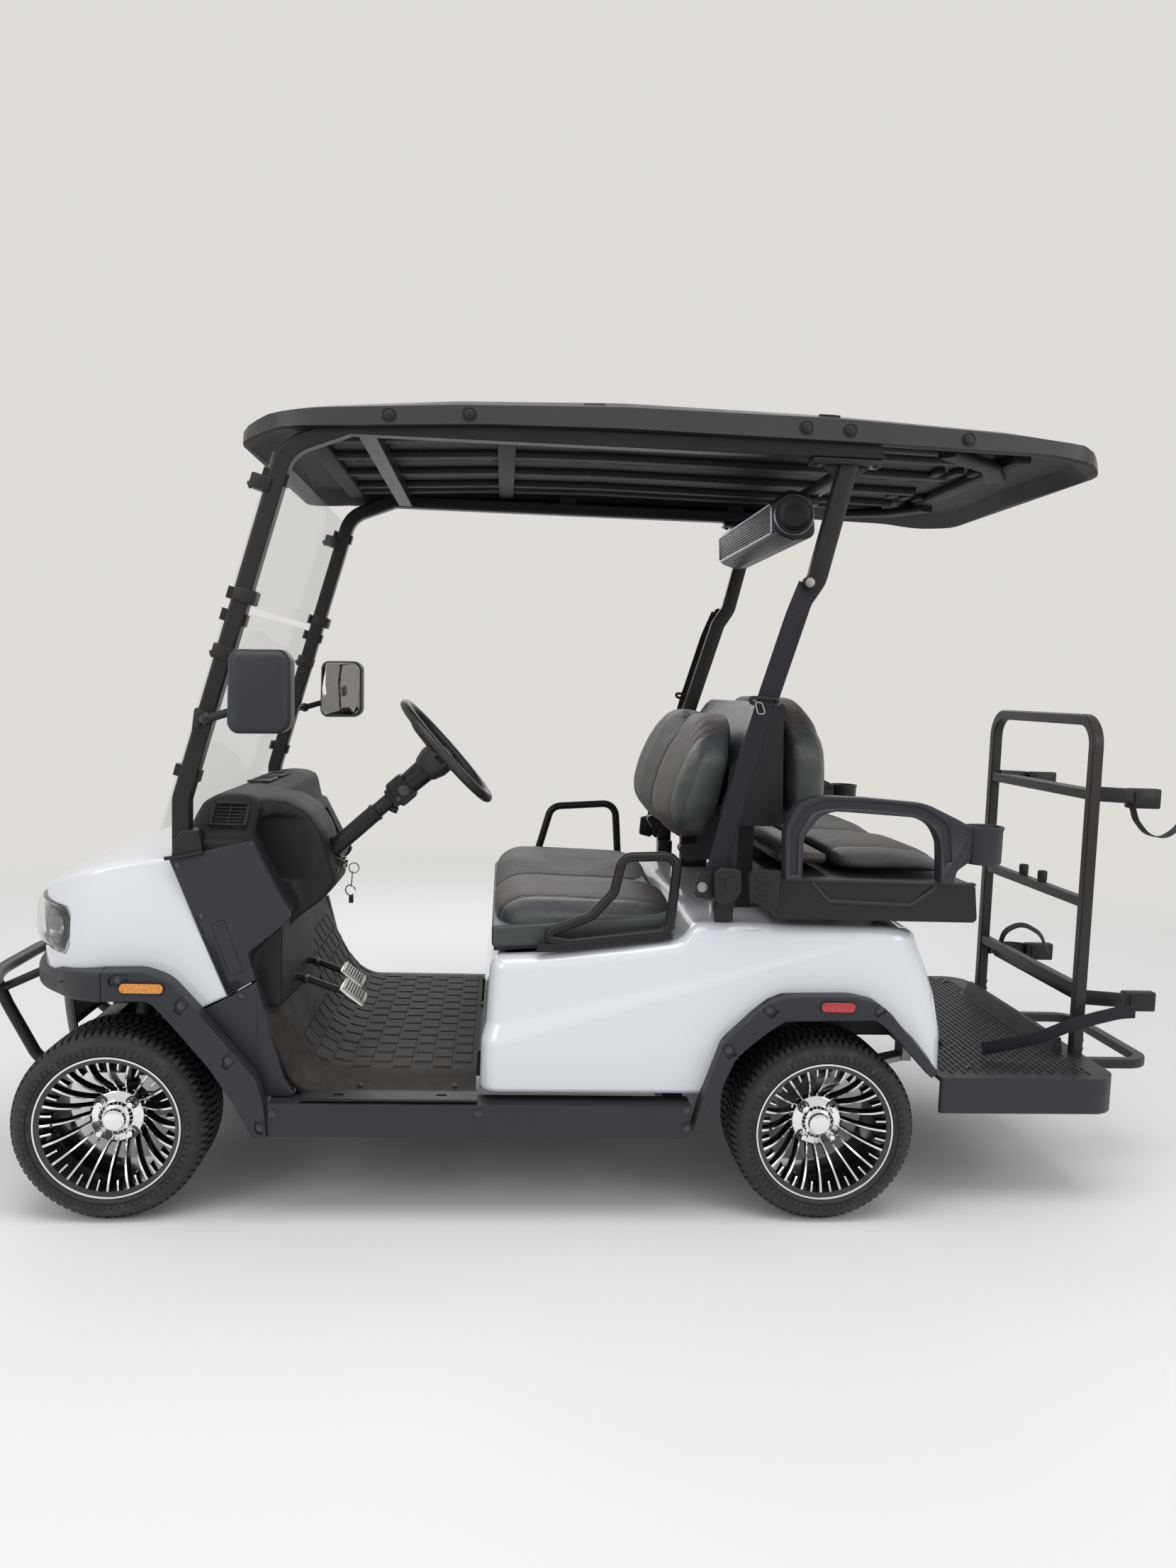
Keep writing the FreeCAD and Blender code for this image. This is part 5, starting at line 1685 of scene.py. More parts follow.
    def side_panels(self) -> None:
        """Flat side panels, the leg panels under them, and the pocket covers."""
        upper = [(1572, 858), (1556, 868), (1498, 879), (1386, 907), (1295, 731), (1306, 713), (1392, 641),
                 (1372, 578),
                 (1437, 539)]
        leg = [(1371, 574), (1435, 535), (1490, 506), (1361, 354), (1345, 297), (1275, 297), (1304, 337),
               (1334, 433)]
        form = Form()
        form.prism(Plane.SIDE, upper, 538, self.face_y, [4, 6, 10, 14, 14, 12, 18, 3, 3], 0, 4.5, 3)
        form.prism(Plane.SIDE, leg, 538, self.face_y - 1, [3, 3, 0, 40, 6, 8, 60, 90], 0, 4.0, 3)
        form.mirror()
        piece = form.build("dash_side_panels", Body.ROOT, [CHARCOAL], ["dash_sides"], "charcoal_plastic",
                           sharp=28)
        cutter = Form()
        cover = [(1476, 710), (1446, 721), (1401, 596), (1431, 587)]
        ring = rounded(cover, 7)
        cutter.sweep([(x, self.face_y, z) for x, z in ring],
                     [(-1.1, -1.6), (1.1, -1.6), (1.1, 1.6), (-1.1, 1.6)], 0,
                     closed=True, level=(0, 1, 0))
        for x, z in ((1552, 845), (1496, 727), (1405, 540)):
            cutter.rod((x, self.face_y - 2.5, z), (x, self.face_y + 4, z), 8.5, 0, 24)
        cutter.mirror()
        cut_away(piece, cutter)
        bolts = Form()
        for x, z in ((1552, 845), (1496, 727), (1405, 540)):
            bolts.bolt((x, self.face_y - 2.0, z), (0, 1, 0), 5.6)
        bolts.mirror()
        bolts.build("dash_panel_bolts", Body.ROOT, [BOLT_BLACK], slot="black_metal")
        feet = Form()
        foot = [(1566, 864), (1562, 905), (1545, 928), (1508, 930), (1500, 912), (1496, 880)]
        feet.prism(Plane.SIDE, foot, 520, 570, [4, 14, 12, 10, 12, 4], 0, 4.0, 3)
        feet.sweep([(1580, 571, 862), (1540, 571, 868), (1494, 571, 880)], soft_box(10, 9, 3), 0)
        feet.mirror()
        feet.build("pillar_foot_covers", Body.ROOT, [BLACK_MOULDING], slot="black_plastic", sharp=30)

    def column(self) -> None:
        """Column tube, sleeve, clamp block and the key switch with its key."""
        form = Form()
        form.rod(self.along(560), self.along(238), 22, 0, 32, edge=1)
        form.rod(self.along(240), self.along(186), 19, 0, 32, edge=1)
        form.lathe([(19.5, 0), (24, 1), (24, 9), (19.5, 10)], self.along(246), self.along(0) - self.along(10),
                   32, 0)
        a = math.radians(self.tilt)
        turn = Matrix.Rotation(a, 4, "Y")
        middle = self.along(152)
        form.block(middle - Vector((26, 30, 36)), middle + Vector((26, 30, 36)), 0, 9, turn)
        form.block(self.along(176) - Vector((14, 22, 27)), self.along(176) + Vector((14, 22, 27)), 0, 6, turn)
        form.rod(self.along(128), self.along(75), 29, 0, 32, end_radius=31, edge=1)
        form.bolt(self.along(146, -4, 30), (0, 1, 0), 10, 1)
        form.rod(self.along(170, -12, -34), self.along(170, -12, 34), 6, 1, 16)
        form.rod(self.along(205, -16, 0), self.along(196, -34, 0), 9, 0, 16, edge=2)
        form.rod(self.along(90), self.along(30), 12, 1, 24)
        form.build("column_tube", Body.ROOT, [BLACK_TUBE, BOLT_BLACK], ["steering_column"], "black_metal",
                   sharp=32)
        key = Form()
        out = Vector((-0.72, 0.28, -0.2)).normalized()
        at = Vector((1216, 262, 812))
        key.lathe([(17, -14), (17, 2), (14, 4), (11, 4), (10, 1)], at, out, 28, 0)
        key.lathe([(13, 4), (13, 9), (9, 11), (4, 11)], at, out, 28, 1)
        key.block(at + out * 20 - Vector((2, 1.2, 5)), at + out * 20 + Vector((10, 1.2, 5)), 1, 0.4)
        key.lathe([(12, -2), (14, -1.4), (14, 1.4), (12, 2)], at + out * 34 + Vector((0, 0, -2)), (0, 1, 0),
                  24, 0)
        key.rod(at + out * 30 + Vector((0, 0, -12)), at + out * 31 + Vector((3, 3, -52)), 1.6, 1, 8)
        key.lathe([(12, -1.2), (15, -0.8), (15, 0.8), (12, 1.2)], at + Vector((-22, 6, -70)), (0.3, 1, 0), 24,
                  1)
        key.block(at + Vector((-30, 4, -104)), at + Vector((-18, 7, -84)), 0, 1.4)
        key.lathe([(24, -16), (24, -2), (20, 0), (0, 0)], Vector((1222, 348, 790)), (-0.9, 0.1, -0.3), 28, 0)
        key.build("key_switch", Body.ROOT, [BLACK_MOULDING, CHROME], slot="black_plastic", sharp=35)

    def wheel(self) -> None:
        """Steering wheel with a padded rim, three spokes and a plain hub pad on its cone."""
        form = Form()
        up = (self.along(0) - self.along(1)).normalized()
        centre = self.along(0)
        ring = [(157 + 13.5 * math.cos(2 * math.pi * k / 20), 12.5 * math.sin(2 * math.pi * k / 20))
                for k in range(20)]
        form.lathe(ring, centre, up, 96, 0, closed=True)
        form.lathe([(0, -16), (34, -17), (44, -24), (44, -46), (36, -72), (31, -78)], centre, up, 48, 0)
        form.lathe([(0, -8), (30, -9), (40, -14), (43, -22), (40, -26)], centre, up, 40, 1)
        across = Vector((0, 1, 0))
        rise = up.cross(across).normalized()
        for turn in (2, 178, 270):
            a = math.radians(turn)
            way = across * math.cos(a) + rise * math.sin(a)
            start, end = centre + way * 34 - up * 26, centre + way * 152 - up * 2
            bend = centre + way * 96 - up * 22
            form.sweep(rounded([start, bend, end], 50, closed=False), soft_box(34, 9, 4), 0, level=up)
            form.sweep([start + up * 5, bend + up * 5.5], soft_box(14, 2.4, 1), 2, level=up)
        for k in range(4):
            a = math.radians(45 + 90 * k)
            spot = centre + (across * math.cos(a) + rise * math.sin(a)) * 33 - up * 10
            form.bolt(spot, up, 3.0, 2)
        form.build("steering_wheel_grip", Body.STEERING, [WHEEL_GRIP, BLACK_MOULDING, BOLT_BLACK],
                   ["steering_wheel"],
                   "black_plastic", sharp=34)

    def pedals(self) -> None:
        """Two pedals with rubber ribs on bright plates, on bent arms."""
        form = Form()
        slope = math.radians(38)
        for x, y, wide in ((1202, 120, 50), (1178, 300, 52)):
            middle = Vector((x, y, 480))
            turn = Matrix.Rotation(-slope, 4, "Y")
            up = turn @ Vector((0, 0, 1))
            half = Vector((37, wide, 4))
            form.block(middle - half, middle + half, 1, 2.5, turn)
            lift = middle + up * 5
            half = Vector((33.5, wide - 3.5, 2))
            form.block(lift - half, lift + half, 3, 1.5, turn)
            for k in range(7):
                at = middle + up * 8 + turn @ Vector((-24 + 8 * k, 0, 0))
                rib = Vector((1.8, wide - 10, 1.2))
                form.block(at - rib, at + rib, 0, 0.8, turn)
            route = rounded([(x + 8, y, 478), (1240, y, 494), (1296, y, 514), (1366, y, 530)], 40,
                            closed=False)
            form.sweep(route, soft_box(10, 17, 3), 2)
            form.rod((1300, y - 16, 514), (1300, y + 16, 514), 9, 2, 16, edge=1)
        form.build("pedal_pads", Body.ROOT, [TYRE_RUBBER, MACHINED, BLACK_TUBE, STEEL], ["pedals"],
                   "black_metal", sharp=30)

    def build(self) -> None:
        """Makes the dash and the controls."""
        self.moulding()
        self.vents()
        self.side_panels()
        self.column()
        self.wheel()
        self.pedals()


PAD_RUN = 658.0


@dataclass
class Footwell:
    """Floor sheet that curves up into the toe board, its raised pads, and the threshold strips."""

    rear_x: float = 852.0
    bend_x: float = 1157.0
    top: float = 334.0
    bend: float = 150.0
    board: float = 196.0
    half: float = 547.0

    @property
    def whole(self) -> float:
        """Length of the centre line from the seat box to the top of the toe board."""
        return self.bend_x - self.rear_x + self.bend * math.pi / 3 + self.board

    def middle(self, run: float) -> tuple[float, float]:
        """Place along the floor's centre line, by a share of its length.

        Args:
            run: share of the whole length.

        Returns:
            The two coordinates, in millimetres.
        """
        length = self.bend_x - self.rear_x
        arc = self.bend * math.pi / 3
        at = run * self.whole
        if at <= length:
            return self.rear_x + at, self.top
        if at <= length + arc:
            turn = (at - length) / self.bend
            return self.bend_x + self.bend * math.sin(turn), self.top + self.bend * (1 - math.cos(turn))
        rest = at - length - arc
        return (self.bend_x + self.bend * math.sin(math.pi / 3) + rest * 0.5,
                self.top + self.bend * 0.5 + rest * math.sin(math.pi / 3))

    def edge(self, run: float) -> tuple[float, float]:
        """Place along the floor's side, beside the leg panel's edge.

        Args:
            run: share of the whole length.

        Returns:
            The two coordinates, in millimetres.
        """
        x = blend_value(((0, 852), (0.465, 1152), (0.6, 1232), (0.66, 1262), (0.72, 1290), (0.8, 1314),
                         (0.88, 1334), (1, 1376)),
                        run)
        z = blend_value(((0, 304), (0.6, 304), (0.66, 312), (0.72, 336), (0.8, 384), (0.88, 436), (1, 576)),
                        run)
        return x, z

    def point(self, run: float, y: float, lift: float = 0.0) -> Vector:
        """Point of the floor at a share of its length and a place across.

        Args:
            run: share of the whole length.
            y: place across the cart.
            lift: distance above the surface.

        Returns:
            The point, in millimetres.
        """
        share = max(0.0, min(1.0, (abs(y) - 452) / 96))
        share = share * share * (3 - 2 * share)
        (x0, z0), (x1, z1) = self.middle(run), self.edge(run)
        ahead = self.middle(min(1.0, run + 0.01))
        behind = self.middle(max(0.0, run - 0.01))
        way = Vector((ahead[0] - behind[0], 0, ahead[1] - behind[1])).normalized()
        up = Vector((-way.z, 0, way.x))
        return Vector((x0 + (x1 - x0) * share, y, z0 + (z1 - z0) * share)) + up * lift

    def sheet(self) -> None:
        """Floor sheet from the seat box to the dash."""
        form = Form()
        form.skin(56, 60, lambda u, v: self.point(v, self.half * (2 * u - 1)))
        rim = [e for e in form.bm.edges if e.is_boundary]
        made = bmesh.ops.extrude_edge_only(form.bm, edges=rim)["geom"]
        bmesh.ops.translate(form.bm, vec=(4, 0, -14), verts=verts_of(made))
        form.dress(0)
        form.outward()
        form.build("floor_sheet", Body.ROOT, [MAT_RUBBER], ["floor_mat", "floor_pan"], "rubber", sharp=40,
                   thickness=3.0)

    def pads(self) -> None:
        """Raised rectangular pads in rows that follow the floor and the toe board."""
        form = Form()
        for row in range(12):
            start = (14 + 50 * row) / PAD_RUN
            for column in range(13):
                y = -474 + 73 * column + (18 if row % 2 else -18)
                if abs(y) <= 456 and (row <= 8 or y <= 0):
                    self.pad(form, start, start + 42 / PAD_RUN, y - 30, y + 30)
        form.build("floor_pads", Body.ROOT, [MAT_RUBBER], slot="rubber", sharp=30)

    def pad(self, form: Form, run0: float, run1: float, y0: float, y1: float) -> None:
        """One pad with sloping sides.

        Args:
            form: the form that is added to.
            run0: share of the length where it starts.
            run1: share of the length where it ends.
            y0: right edge.
            y1: left edge.
        """
        part = Form()

        def place(u: float, v: float) -> Vector:
            """Point of the pad's top."""
            return self.point(run0 + (run1 - run0) * v, y0 + (y1 - y0) * u, 3.4)

        part.skin(1, 3, place)
        rim = [e for e in part.bm.edges if e.is_boundary]
        verts = list({v for e in rim for v in e.verts})
        middle = sum((v.co for v in verts), Vector()) / len(verts)
        made = bmesh.ops.extrude_edge_only(part.bm, edges=rim)["geom"]
        for vert in verts_of(made):
            out = vert.co - middle
            vert.co += Vector((out.x * 0.04, out.y * 0.04, 0)) + (self.point(run0, y0, 0)
                                                                  - self.point(run0, y0, 4.2))
        part.dress(0)
        part.outward()
        Wheel.join(form, part)

    def threshold(self) -> None:
        """Dark strips along the sills with their slots and screws."""
        form = Form()
        form.prism(Plane.FRONT, [(540, 298), (597, 298), (603, 301), (603, 303), (597, 305), (545, 307),
                                 (532, 305)], 846, 1262,
                   [1, 1, 1, 1, 4, 4, 1])
        form.mirror()
        piece = form.build("threshold_strips", Body.ROOT, [BLACK_MOULDING], slot="charcoal_plastic", sharp=30)
        cutter = Form()
        for x in (1176, 932):
            cutter.block((x - 12, 566, 300), (x + 12, 576, 314), 0)
        cutter.mirror()
        cut_away(piece, cutter)
        screws = Form()
        for x, y in ((1135, 520), (903, 520), (1176, -520), (950, -520)):
            at = self.point((x - self.rear_x) / PAD_RUN, y, 0.5)
            screws.bolt(at, (0, 0, 1), 5.5)
        for side in (1, -1):
            for x, z in ((346, 286), (344, 243), (842, 276), (1322, 272)):
                screws.bolt((x, side * 606.5, z), (0, side, 0), 6.5)
        screws.build("floor_screws", Body.ROOT, [BOLT_BLACK], slot="black_metal")

    def build(self) -> None:
        """Makes the floor."""
        self.sheet()
        self.pads()
        self.threshold()


@dataclass
class RearBody:
    """White body under the seats with its wheel arches, flares and deck."""

    half: float = 578.0
    front_corner: float = 46.0
    rear_corner: float = 80.0
    front_foot: float = 317.0
    shoulder: float = 34.0

    def front(self, z: float) -> float:
        """Front face of the seat box, fuller under the crease."""
        return blend_value(((318, 843), (436, 842), (472, 832), (640, 825), (760, 822)), z)

    def tail(self, z: float) -> float:
        """Rear face, rounded over to the deck."""
        return blend_value(((330, -304), (462, -301), (560, -279), (640, -248), (700, -222), (760, -200)), z)

    def deck(self, x: float, y: float) -> float:
        """Height of the top.

        Args:
            x: place along the cart.
            y: place across the cart.

        Returns:
            The value, in millimetres.
        """
        rise = blend_value(((-300, 735), (300, 735), (322, 733), (338, 726), (352, 712), (366, 698),
                            (384, 690),
                            (500, 673), (700, 648), (824, 640)), x)
        fall = 22 * max(0.0, (-130 - x) / 100) ** 2
        return rise - fall - 5 * (y / 560) ** 2

    def side(self, x: float, z: float) -> float:
        """Half width at a place on the side, with the slanting crease.

        Args:
            x: place along the cart.
            z: height.

        Returns:
            The value, in millimetres.
        """
        run = max(0.0, min(1.0, (x - 24) / 806))
        line = 470 + (830 - x) * 0.258
        stand, band = 4 + 12 * run, 12 + 34 * run
        above = max(0.0, min(1.0, (z - line + band) / band))
        lean = 0.07 * max(0.0, z - line)
        tuck = 0.03 * max(0.0, 420 - z)
        return self.half - stand * above - lean - tuck

    def foot(self, x: float) -> float:
        """Lower edge, which follows the wheel arch.

        Args:
            x: place along the cart.

        Returns:
            The value, in millimetres.
        """
        arch = ((-310, 340), (-262, 388), (-138, 531), (-100, 558), (-45, 570), (113, 567), (149, 553),
                (190, 522), (263, 453),
                (304, 330), (310, 317))
        return blend_value(arch, x)

    def point(self, u: float, v: float) -> Vector:
        """Point of the shell, from the middle of the front, round the side, to the middle of the tail.

        Args:
            u: place along the surface, from 0 to 1.
            v: place across the surface, from 0 to 1.

        Returns:
            The point, in millimetres.
        """
        wall, bend = 0.5, 0.66
        stops = (0.14, 0.2, 0.84, 0.92)

        def plan(z: float) -> tuple[Vector, Vector]:
            """Place on the outline at a height and the way inwards.

            Args:
                z: height.

            Returns:
                The place and the direction inwards.
            """
            front, tail = self.front(z), self.tail(z)
            if u < stops[0]:
                reach = self.side(front - self.front_corner, z) - self.front_corner
                return Vector((front, reach * u / stops[0])), Vector((-1, 0))
            if u < stops[1]:
                a = math.pi / 2 * (u - stops[0]) / (stops[1] - stops[0])
                mid = Vector((front - self.front_corner,
                              self.side(front - self.front_corner, z) - self.front_corner))
                out = Vector((math.cos(a), math.sin(a)))
                return mid + out * self.front_corner, -out
            if u < stops[2]:
                t = (u - stops[1]) / (stops[2] - stops[1])
                x = front - self.front_corner + (tail + self.rear_corner - front + self.front_corner) * t
                return Vector((x, self.side(x, z))), Vector((0, -1))
            if u < stops[3]:
                a = math.pi / 2 * (u - stops[2]) / (stops[3] - stops[2])
                mid = Vector((tail + self.rear_corner,
                              self.side(tail + self.rear_corner, z) - self.rear_corner))
                out = Vector((-math.sin(a), math.cos(a)))
                return mid + out * self.rear_corner, -out
            reach = self.side(tail + self.rear_corner, z) - self.rear_corner
            return Vector((tail, reach * (1 - (u - stops[3]) / (1 - stops[3])))), Vector((1, 0))

        base, _ = plan(500)
        low = self.front_foot if u < stops[1] else self.foot(base.x)
        rim, inward = plan(680)
        edge = rim + inward * self.shoulder
        top = self.deck(edge.x, edge.y)
        if v <= wall:
            z = low + (top - self.shoulder - low) * v / wall
            spot, _ = plan(z)
            return Vector((spot.x, spot.y, z))
        start, inward = plan(top - self.shoulder)
        if v <= bend:
            a = math.pi / 2 * (v - wall) / (bend - wall)
            spot = start + inward * self.shoulder * (1 - math.cos(a))
            return Vector((spot.x, spot.y, top - self.shoulder * (1 - math.sin(a))))
        start += inward * self.shoulder
        t = (v - bend) / (1 - bend)
        x = start.x + (max(-120.0, min(740.0, start.x)) - start.x) * t
        y = start.y * (1 - t)
        height = self.deck(x, y)
        if t < 0.12:
            height = top + (height - top) * t / 0.12
        return Vector((x, y, height))

    def shell(self) -> None:
        """White shell, open over the battery."""
        form = Form()
        form.skin(220, 70, self.point, 0)
        form.whole()
        piece = form.build("rear_body_shell", Body.ROOT, [WHITE], ["rear_body"], "white_paint", sharp=40,
                           thickness=5.0)
        cutter = Form()
        cutter.prism(Plane.PLAN, [(430, -500), (790, -500), (790, 500), (430, 500)], 600, 800, 30)
        cut_away(piece, cutter)

    def flares(self) -> None:
        """Rear wheel-arch flares with their bolt pockets."""
        outer = [(-264, 388), (-138, 533), (-100, 560), (-45, 572), (113, 569), (149, 556), (192, 524),
                 (265, 455), (309, 321),
                 (332, 234)]
        inner = [(312, 232), (232, 419), (167, 475), (119, 509), (-103, 514), (-141, 487), (-249, 373)]
        form = Form()
        form.prism(Plane.SIDE, outer + inner, 564, 618,
                   [0, 40, 40, 60, 60, 40, 60, 60, 80, 3, 3, 60, 80, 30, 30, 40, 0], 0, 5.0, 3)
        form.mirror()
        piece = form.build("rear_arch_flares", Body.ROOT, [CHARCOAL], ["rear_flares"], "charcoal_plastic",
                           sharp=30)
        bolt_pockets("rear_flare", piece, ((158, 536, 38, 22), (252, 438, 62, 22), (-112, 540, -34, 22)), 618)

    def lamps(self) -> None:
        """Tail lamps in the rear face."""
        form = Form()
        form.prism(Plane.SIDE, [(-240, 562), (-283, 562), (-252, 638), (-222, 638)], 332, 430, 6, 0, 4, 3)
        form.mirror()
        form.build("tail_lamp_lenses", Body.ROOT, [RED_LENS], ["tail_lamps"], "red_lens", sharp=30)

    def build(self) -> None:
        """Makes the rear body."""
        self.lamps()
        self.shell()
        self.flares()


@dataclass
class Canopy:
    """Moulded roof skin: crowned top, flat rim band with bolt caps, and a ribbed underside."""

    half: float = 590.0

    def outline(self, steps: int = 160) -> list[Vector]:
        """Plan of the rim, in even steps.

        Args:
            steps: number of steps.

        Returns:
            The points, in order.
        """
        plan = [(-640, -470), (-560, -590), (1330, -590), (1440, -480), (1440, 480), (1330, 590), (-560, 590),
                (-640, 470)]
        return even_steps(rounded(plan, [130, 90, 150, 120, 120, 150, 90, 130], turn_step=6), steps)

    def top(self, x: float) -> float:
        """Height of the crown's spine.

        Args:
            x: place along the cart.

        Returns:
            The value, in millimetres.
        """
        return blend_value(((-640, 1852), (-608, 1885), (-541, 1913), (-360, 1932), (63, 1950), (555, 1955),
                            (935, 1940),
                            (1237, 1914), (1369, 1893), (1425, 1868), (1440, 1850)), x)

    def rim_top(self, x: float) -> float:
        """Height of the rim band's upper edge.

        Args:
            x: place along the cart.

        Returns:
            The value, in millimetres.
        """
        return blend_value(((-640, 1862), (-600, 1879), (-541, 1896), (-360, 1912), (63, 1928), (555, 1928),
                            (935, 1914),
                            (1237, 1894), (1369, 1878), (1425, 1860), (1440, 1852)), x)

    def rim_foot(self, x: float) -> float:
        """Height of the rim's lower edge."""
        return blend_value(((-640, 1846), (-449, 1868), (-46, 1874), (553, 1878), (872, 1872), (1332, 1846),
                            (1440, 1826)), x)

    def skin(self) -> None:
        """Closed moulding from the underside, round the rim and over the crown."""
        form = Form()
        ring = self.outline()
        count = len(ring)
        rows = 30

        def place(u: float, v: float) -> Vector:
            """Point of the moulding.

            Args:
                u: place along the surface, from 0 to 1.
                v: place across the surface, from 0 to 1.

            Returns:
                The point, in millimetres.
            """
            p = ring[round(u * count) % count]
            spine = Vector((max(-420.0, min(1220.0, p.x)), 0.0))
            foot, band = self.rim_foot(p.x), self.rim_top(p.x)
            inward = (spine - p).normalized()
            k = v * rows
            if k <= 8:
                t = 1 - k / 8
                spot = p + inward * (26 + (spine - p).length * t * 0.97)
                lift = 34 * min(1.0, t * 14) if t > 0 else 0.0
                return Vector((spot.x, spot.y, self.rim_foot(spot.x) + lift))
            if k <= 10:
                spot = p + inward * (26 - 13 * (k - 8))
                return Vector((spot.x, spot.y, foot))
            if k <= 13:
                t = (k - 10) / 3
                spot = p + inward * (3 * t)
                return Vector((spot.x, spot.y, foot + 2 + (band - foot - 2) * t))
            t = (k - 13) / (rows - 13)
            spot = p + inward * (3 + ((spine - p).length - 3) * t)
            crown = self.top(spot.x) - 6 * (spot.y / 560) ** 2
            edge = min(1.0, t * (spine - p).length / 60)
            height = band + (crown - band) * math.sin(edge * math.pi / 2)
            return Vector((spot.x, spot.y, height))

        form.skin(count, rows, place, 0)
        bmesh.ops.remove_doubles(form.bm, verts=form.bm.verts, dist=0.05)
        form.outward()
        for face in form.bm.faces:
            if face.normal.z < -0.3:
                face.material_index = 2
        form.build("canopy_skin", Body.ROOT, [SATIN_ROOF, ROOF_INSIDE], ["canopy"], "canopy", sharp=48)

    def underside(self) -> None:
        """Long ribs, cross beams and small louvres under the roof."""
        form = Form()
        for y in (-430, -330, -120, 120, 330, 430):
            route = [(x, y, self.rim_foot(x) + 28) for x in range(-380, 1281, 83)]
            form.sweep(route, soft_box(44, 22, 8), 0)
        for x, reach in ((-460, 430), (1290, 480), (820, 520)):
            form.block((x - 24, -reach, self.rim_foot(x) + 12), (x + 24, reach, self.rim_foot(x) + 36), 0, 6)
        for side in (1, -1):
            form.sweep([(-240, side * 500, 1880), (-400, side * 380, 1874), (-470, side * 250, 1872)],
                       soft_box(50, 22, 8), 0)
            for k in range(3):
                x, y = -330 - 46 * k, side * (180 + 16 * k)
                form.block((x - 18, y - 30, self.rim_foot(x) + 18), (x + 6, y + 30, self.rim_foot(x) + 34), 0,
                           3)
        form.build("canopy_ribs", Body.ROOT, [ROOF_INSIDE], slot="canopy")

    def caps(self) -> None:
        """Round bolt caps on the rim."""
        form = Form()
        for x in (-255, 27, 130, 905, 1085):
            z = (self.rim_foot(x) + self.rim_top(x)) / 2 + 1
            form.lathe([(0, 5.0), (9, 5.0), (10.5, 4.2), (11, 1), (14.5, 0.8), (15.5, 2.2), (17, 1.6),
                        (17.5, -1)],
                       (x, self.half - 1.5, z), (0, 1, 0), 28, 0)
        form.mirror()
        form.build("canopy_bolt_caps", Body.ROOT, [BLACK_MOULDING], slot="canopy")

    def build(self) -> None:
        """Makes the roof."""
        self.skin()
        self.underside()
        self.caps()


@dataclass
class Tubes:
    """Rear struts with their cross beam, and the hip loops beside the front bench."""

    strut_y: float = 545.0
    hip_y: float = 546.0

    def struts(self) -> None:
        """Bent struts that stand on the deck and end in long roof brackets."""
        form = Form()
        line = [(14, 1836), (78, 1560), (110, 1510), (262, 1000), (262, 772)]
        route = rounded([Vector((x, self.strut_y, z)) for x, z in line], [0, 60, 60, 120, 0], closed=False)
        form.sweep(route, soft_box(36, 44, 5), 0, level=(1, 0, 0.3))
        form.block((-62, 518, 1828), (106, 572, 1842), 0, 3)
        form.prism(Plane.SIDE, [(-58, 1842), (100, 1842), (44, 1800), (0, 1800)], 541, 549, 4, 0, 1)
        form.block((240, 492, 733), (286, 540, 790), 0, 3)
        for x in (-48, 92):
            form.bolt((x, 558, 1828), (0, 0, -1), 7.0)
        form.mirror()
        form.block((3, -530, 1802), (37, 530, 1830), 0, 4)
        form.build("rear_strut_tubes", Body.ROOT, [BLACK_TUBE], ["rear_struts"], "black_metal", sharp=30)

    def hip_loops(self) -> None:
        """Round-tube loops: low and swept on the driver's side, upright on the other."""
        form = Form()
        near = [(640, 676), (396, 706), (381, 892), (515, 886), (533, 800), (585, 742), (712, 690)]
        route = rounded([Vector((x, self.hip_y, z)) for x, z in near], 30)
        form.sweep(route, circle(12, 18), 0, closed=True, level=(0, 1, 0))
        far = [(704, 664), (642, 890), (430, 906), (412, 690)]
        route = rounded([Vector((x, -self.hip_y, z)) for x, z in far], 42, closed=False)
        form.sweep(route, circle(12, 18), 0, level=(0, 1, 0))
        base = [(716, 652), (712, 676), (640, 672), (396, 702), (386, 694), (388, 690), (640, 656)]
        for side in (1, -1):
            low, high = sorted((side * (self.hip_y - 9), side * (self.hip_y + 9)))
            form.prism(Plane.SIDE, base, low, high, 3, 0, 2)
        form.build("hip_loop_tubes", Body.ROOT, [BLACK_TUBE], ["hip_restraints"], "black_metal", sharp=40)

    def build(self) -> None:
        """Makes the tubes."""
        self.struts()
        self.hip_loops()


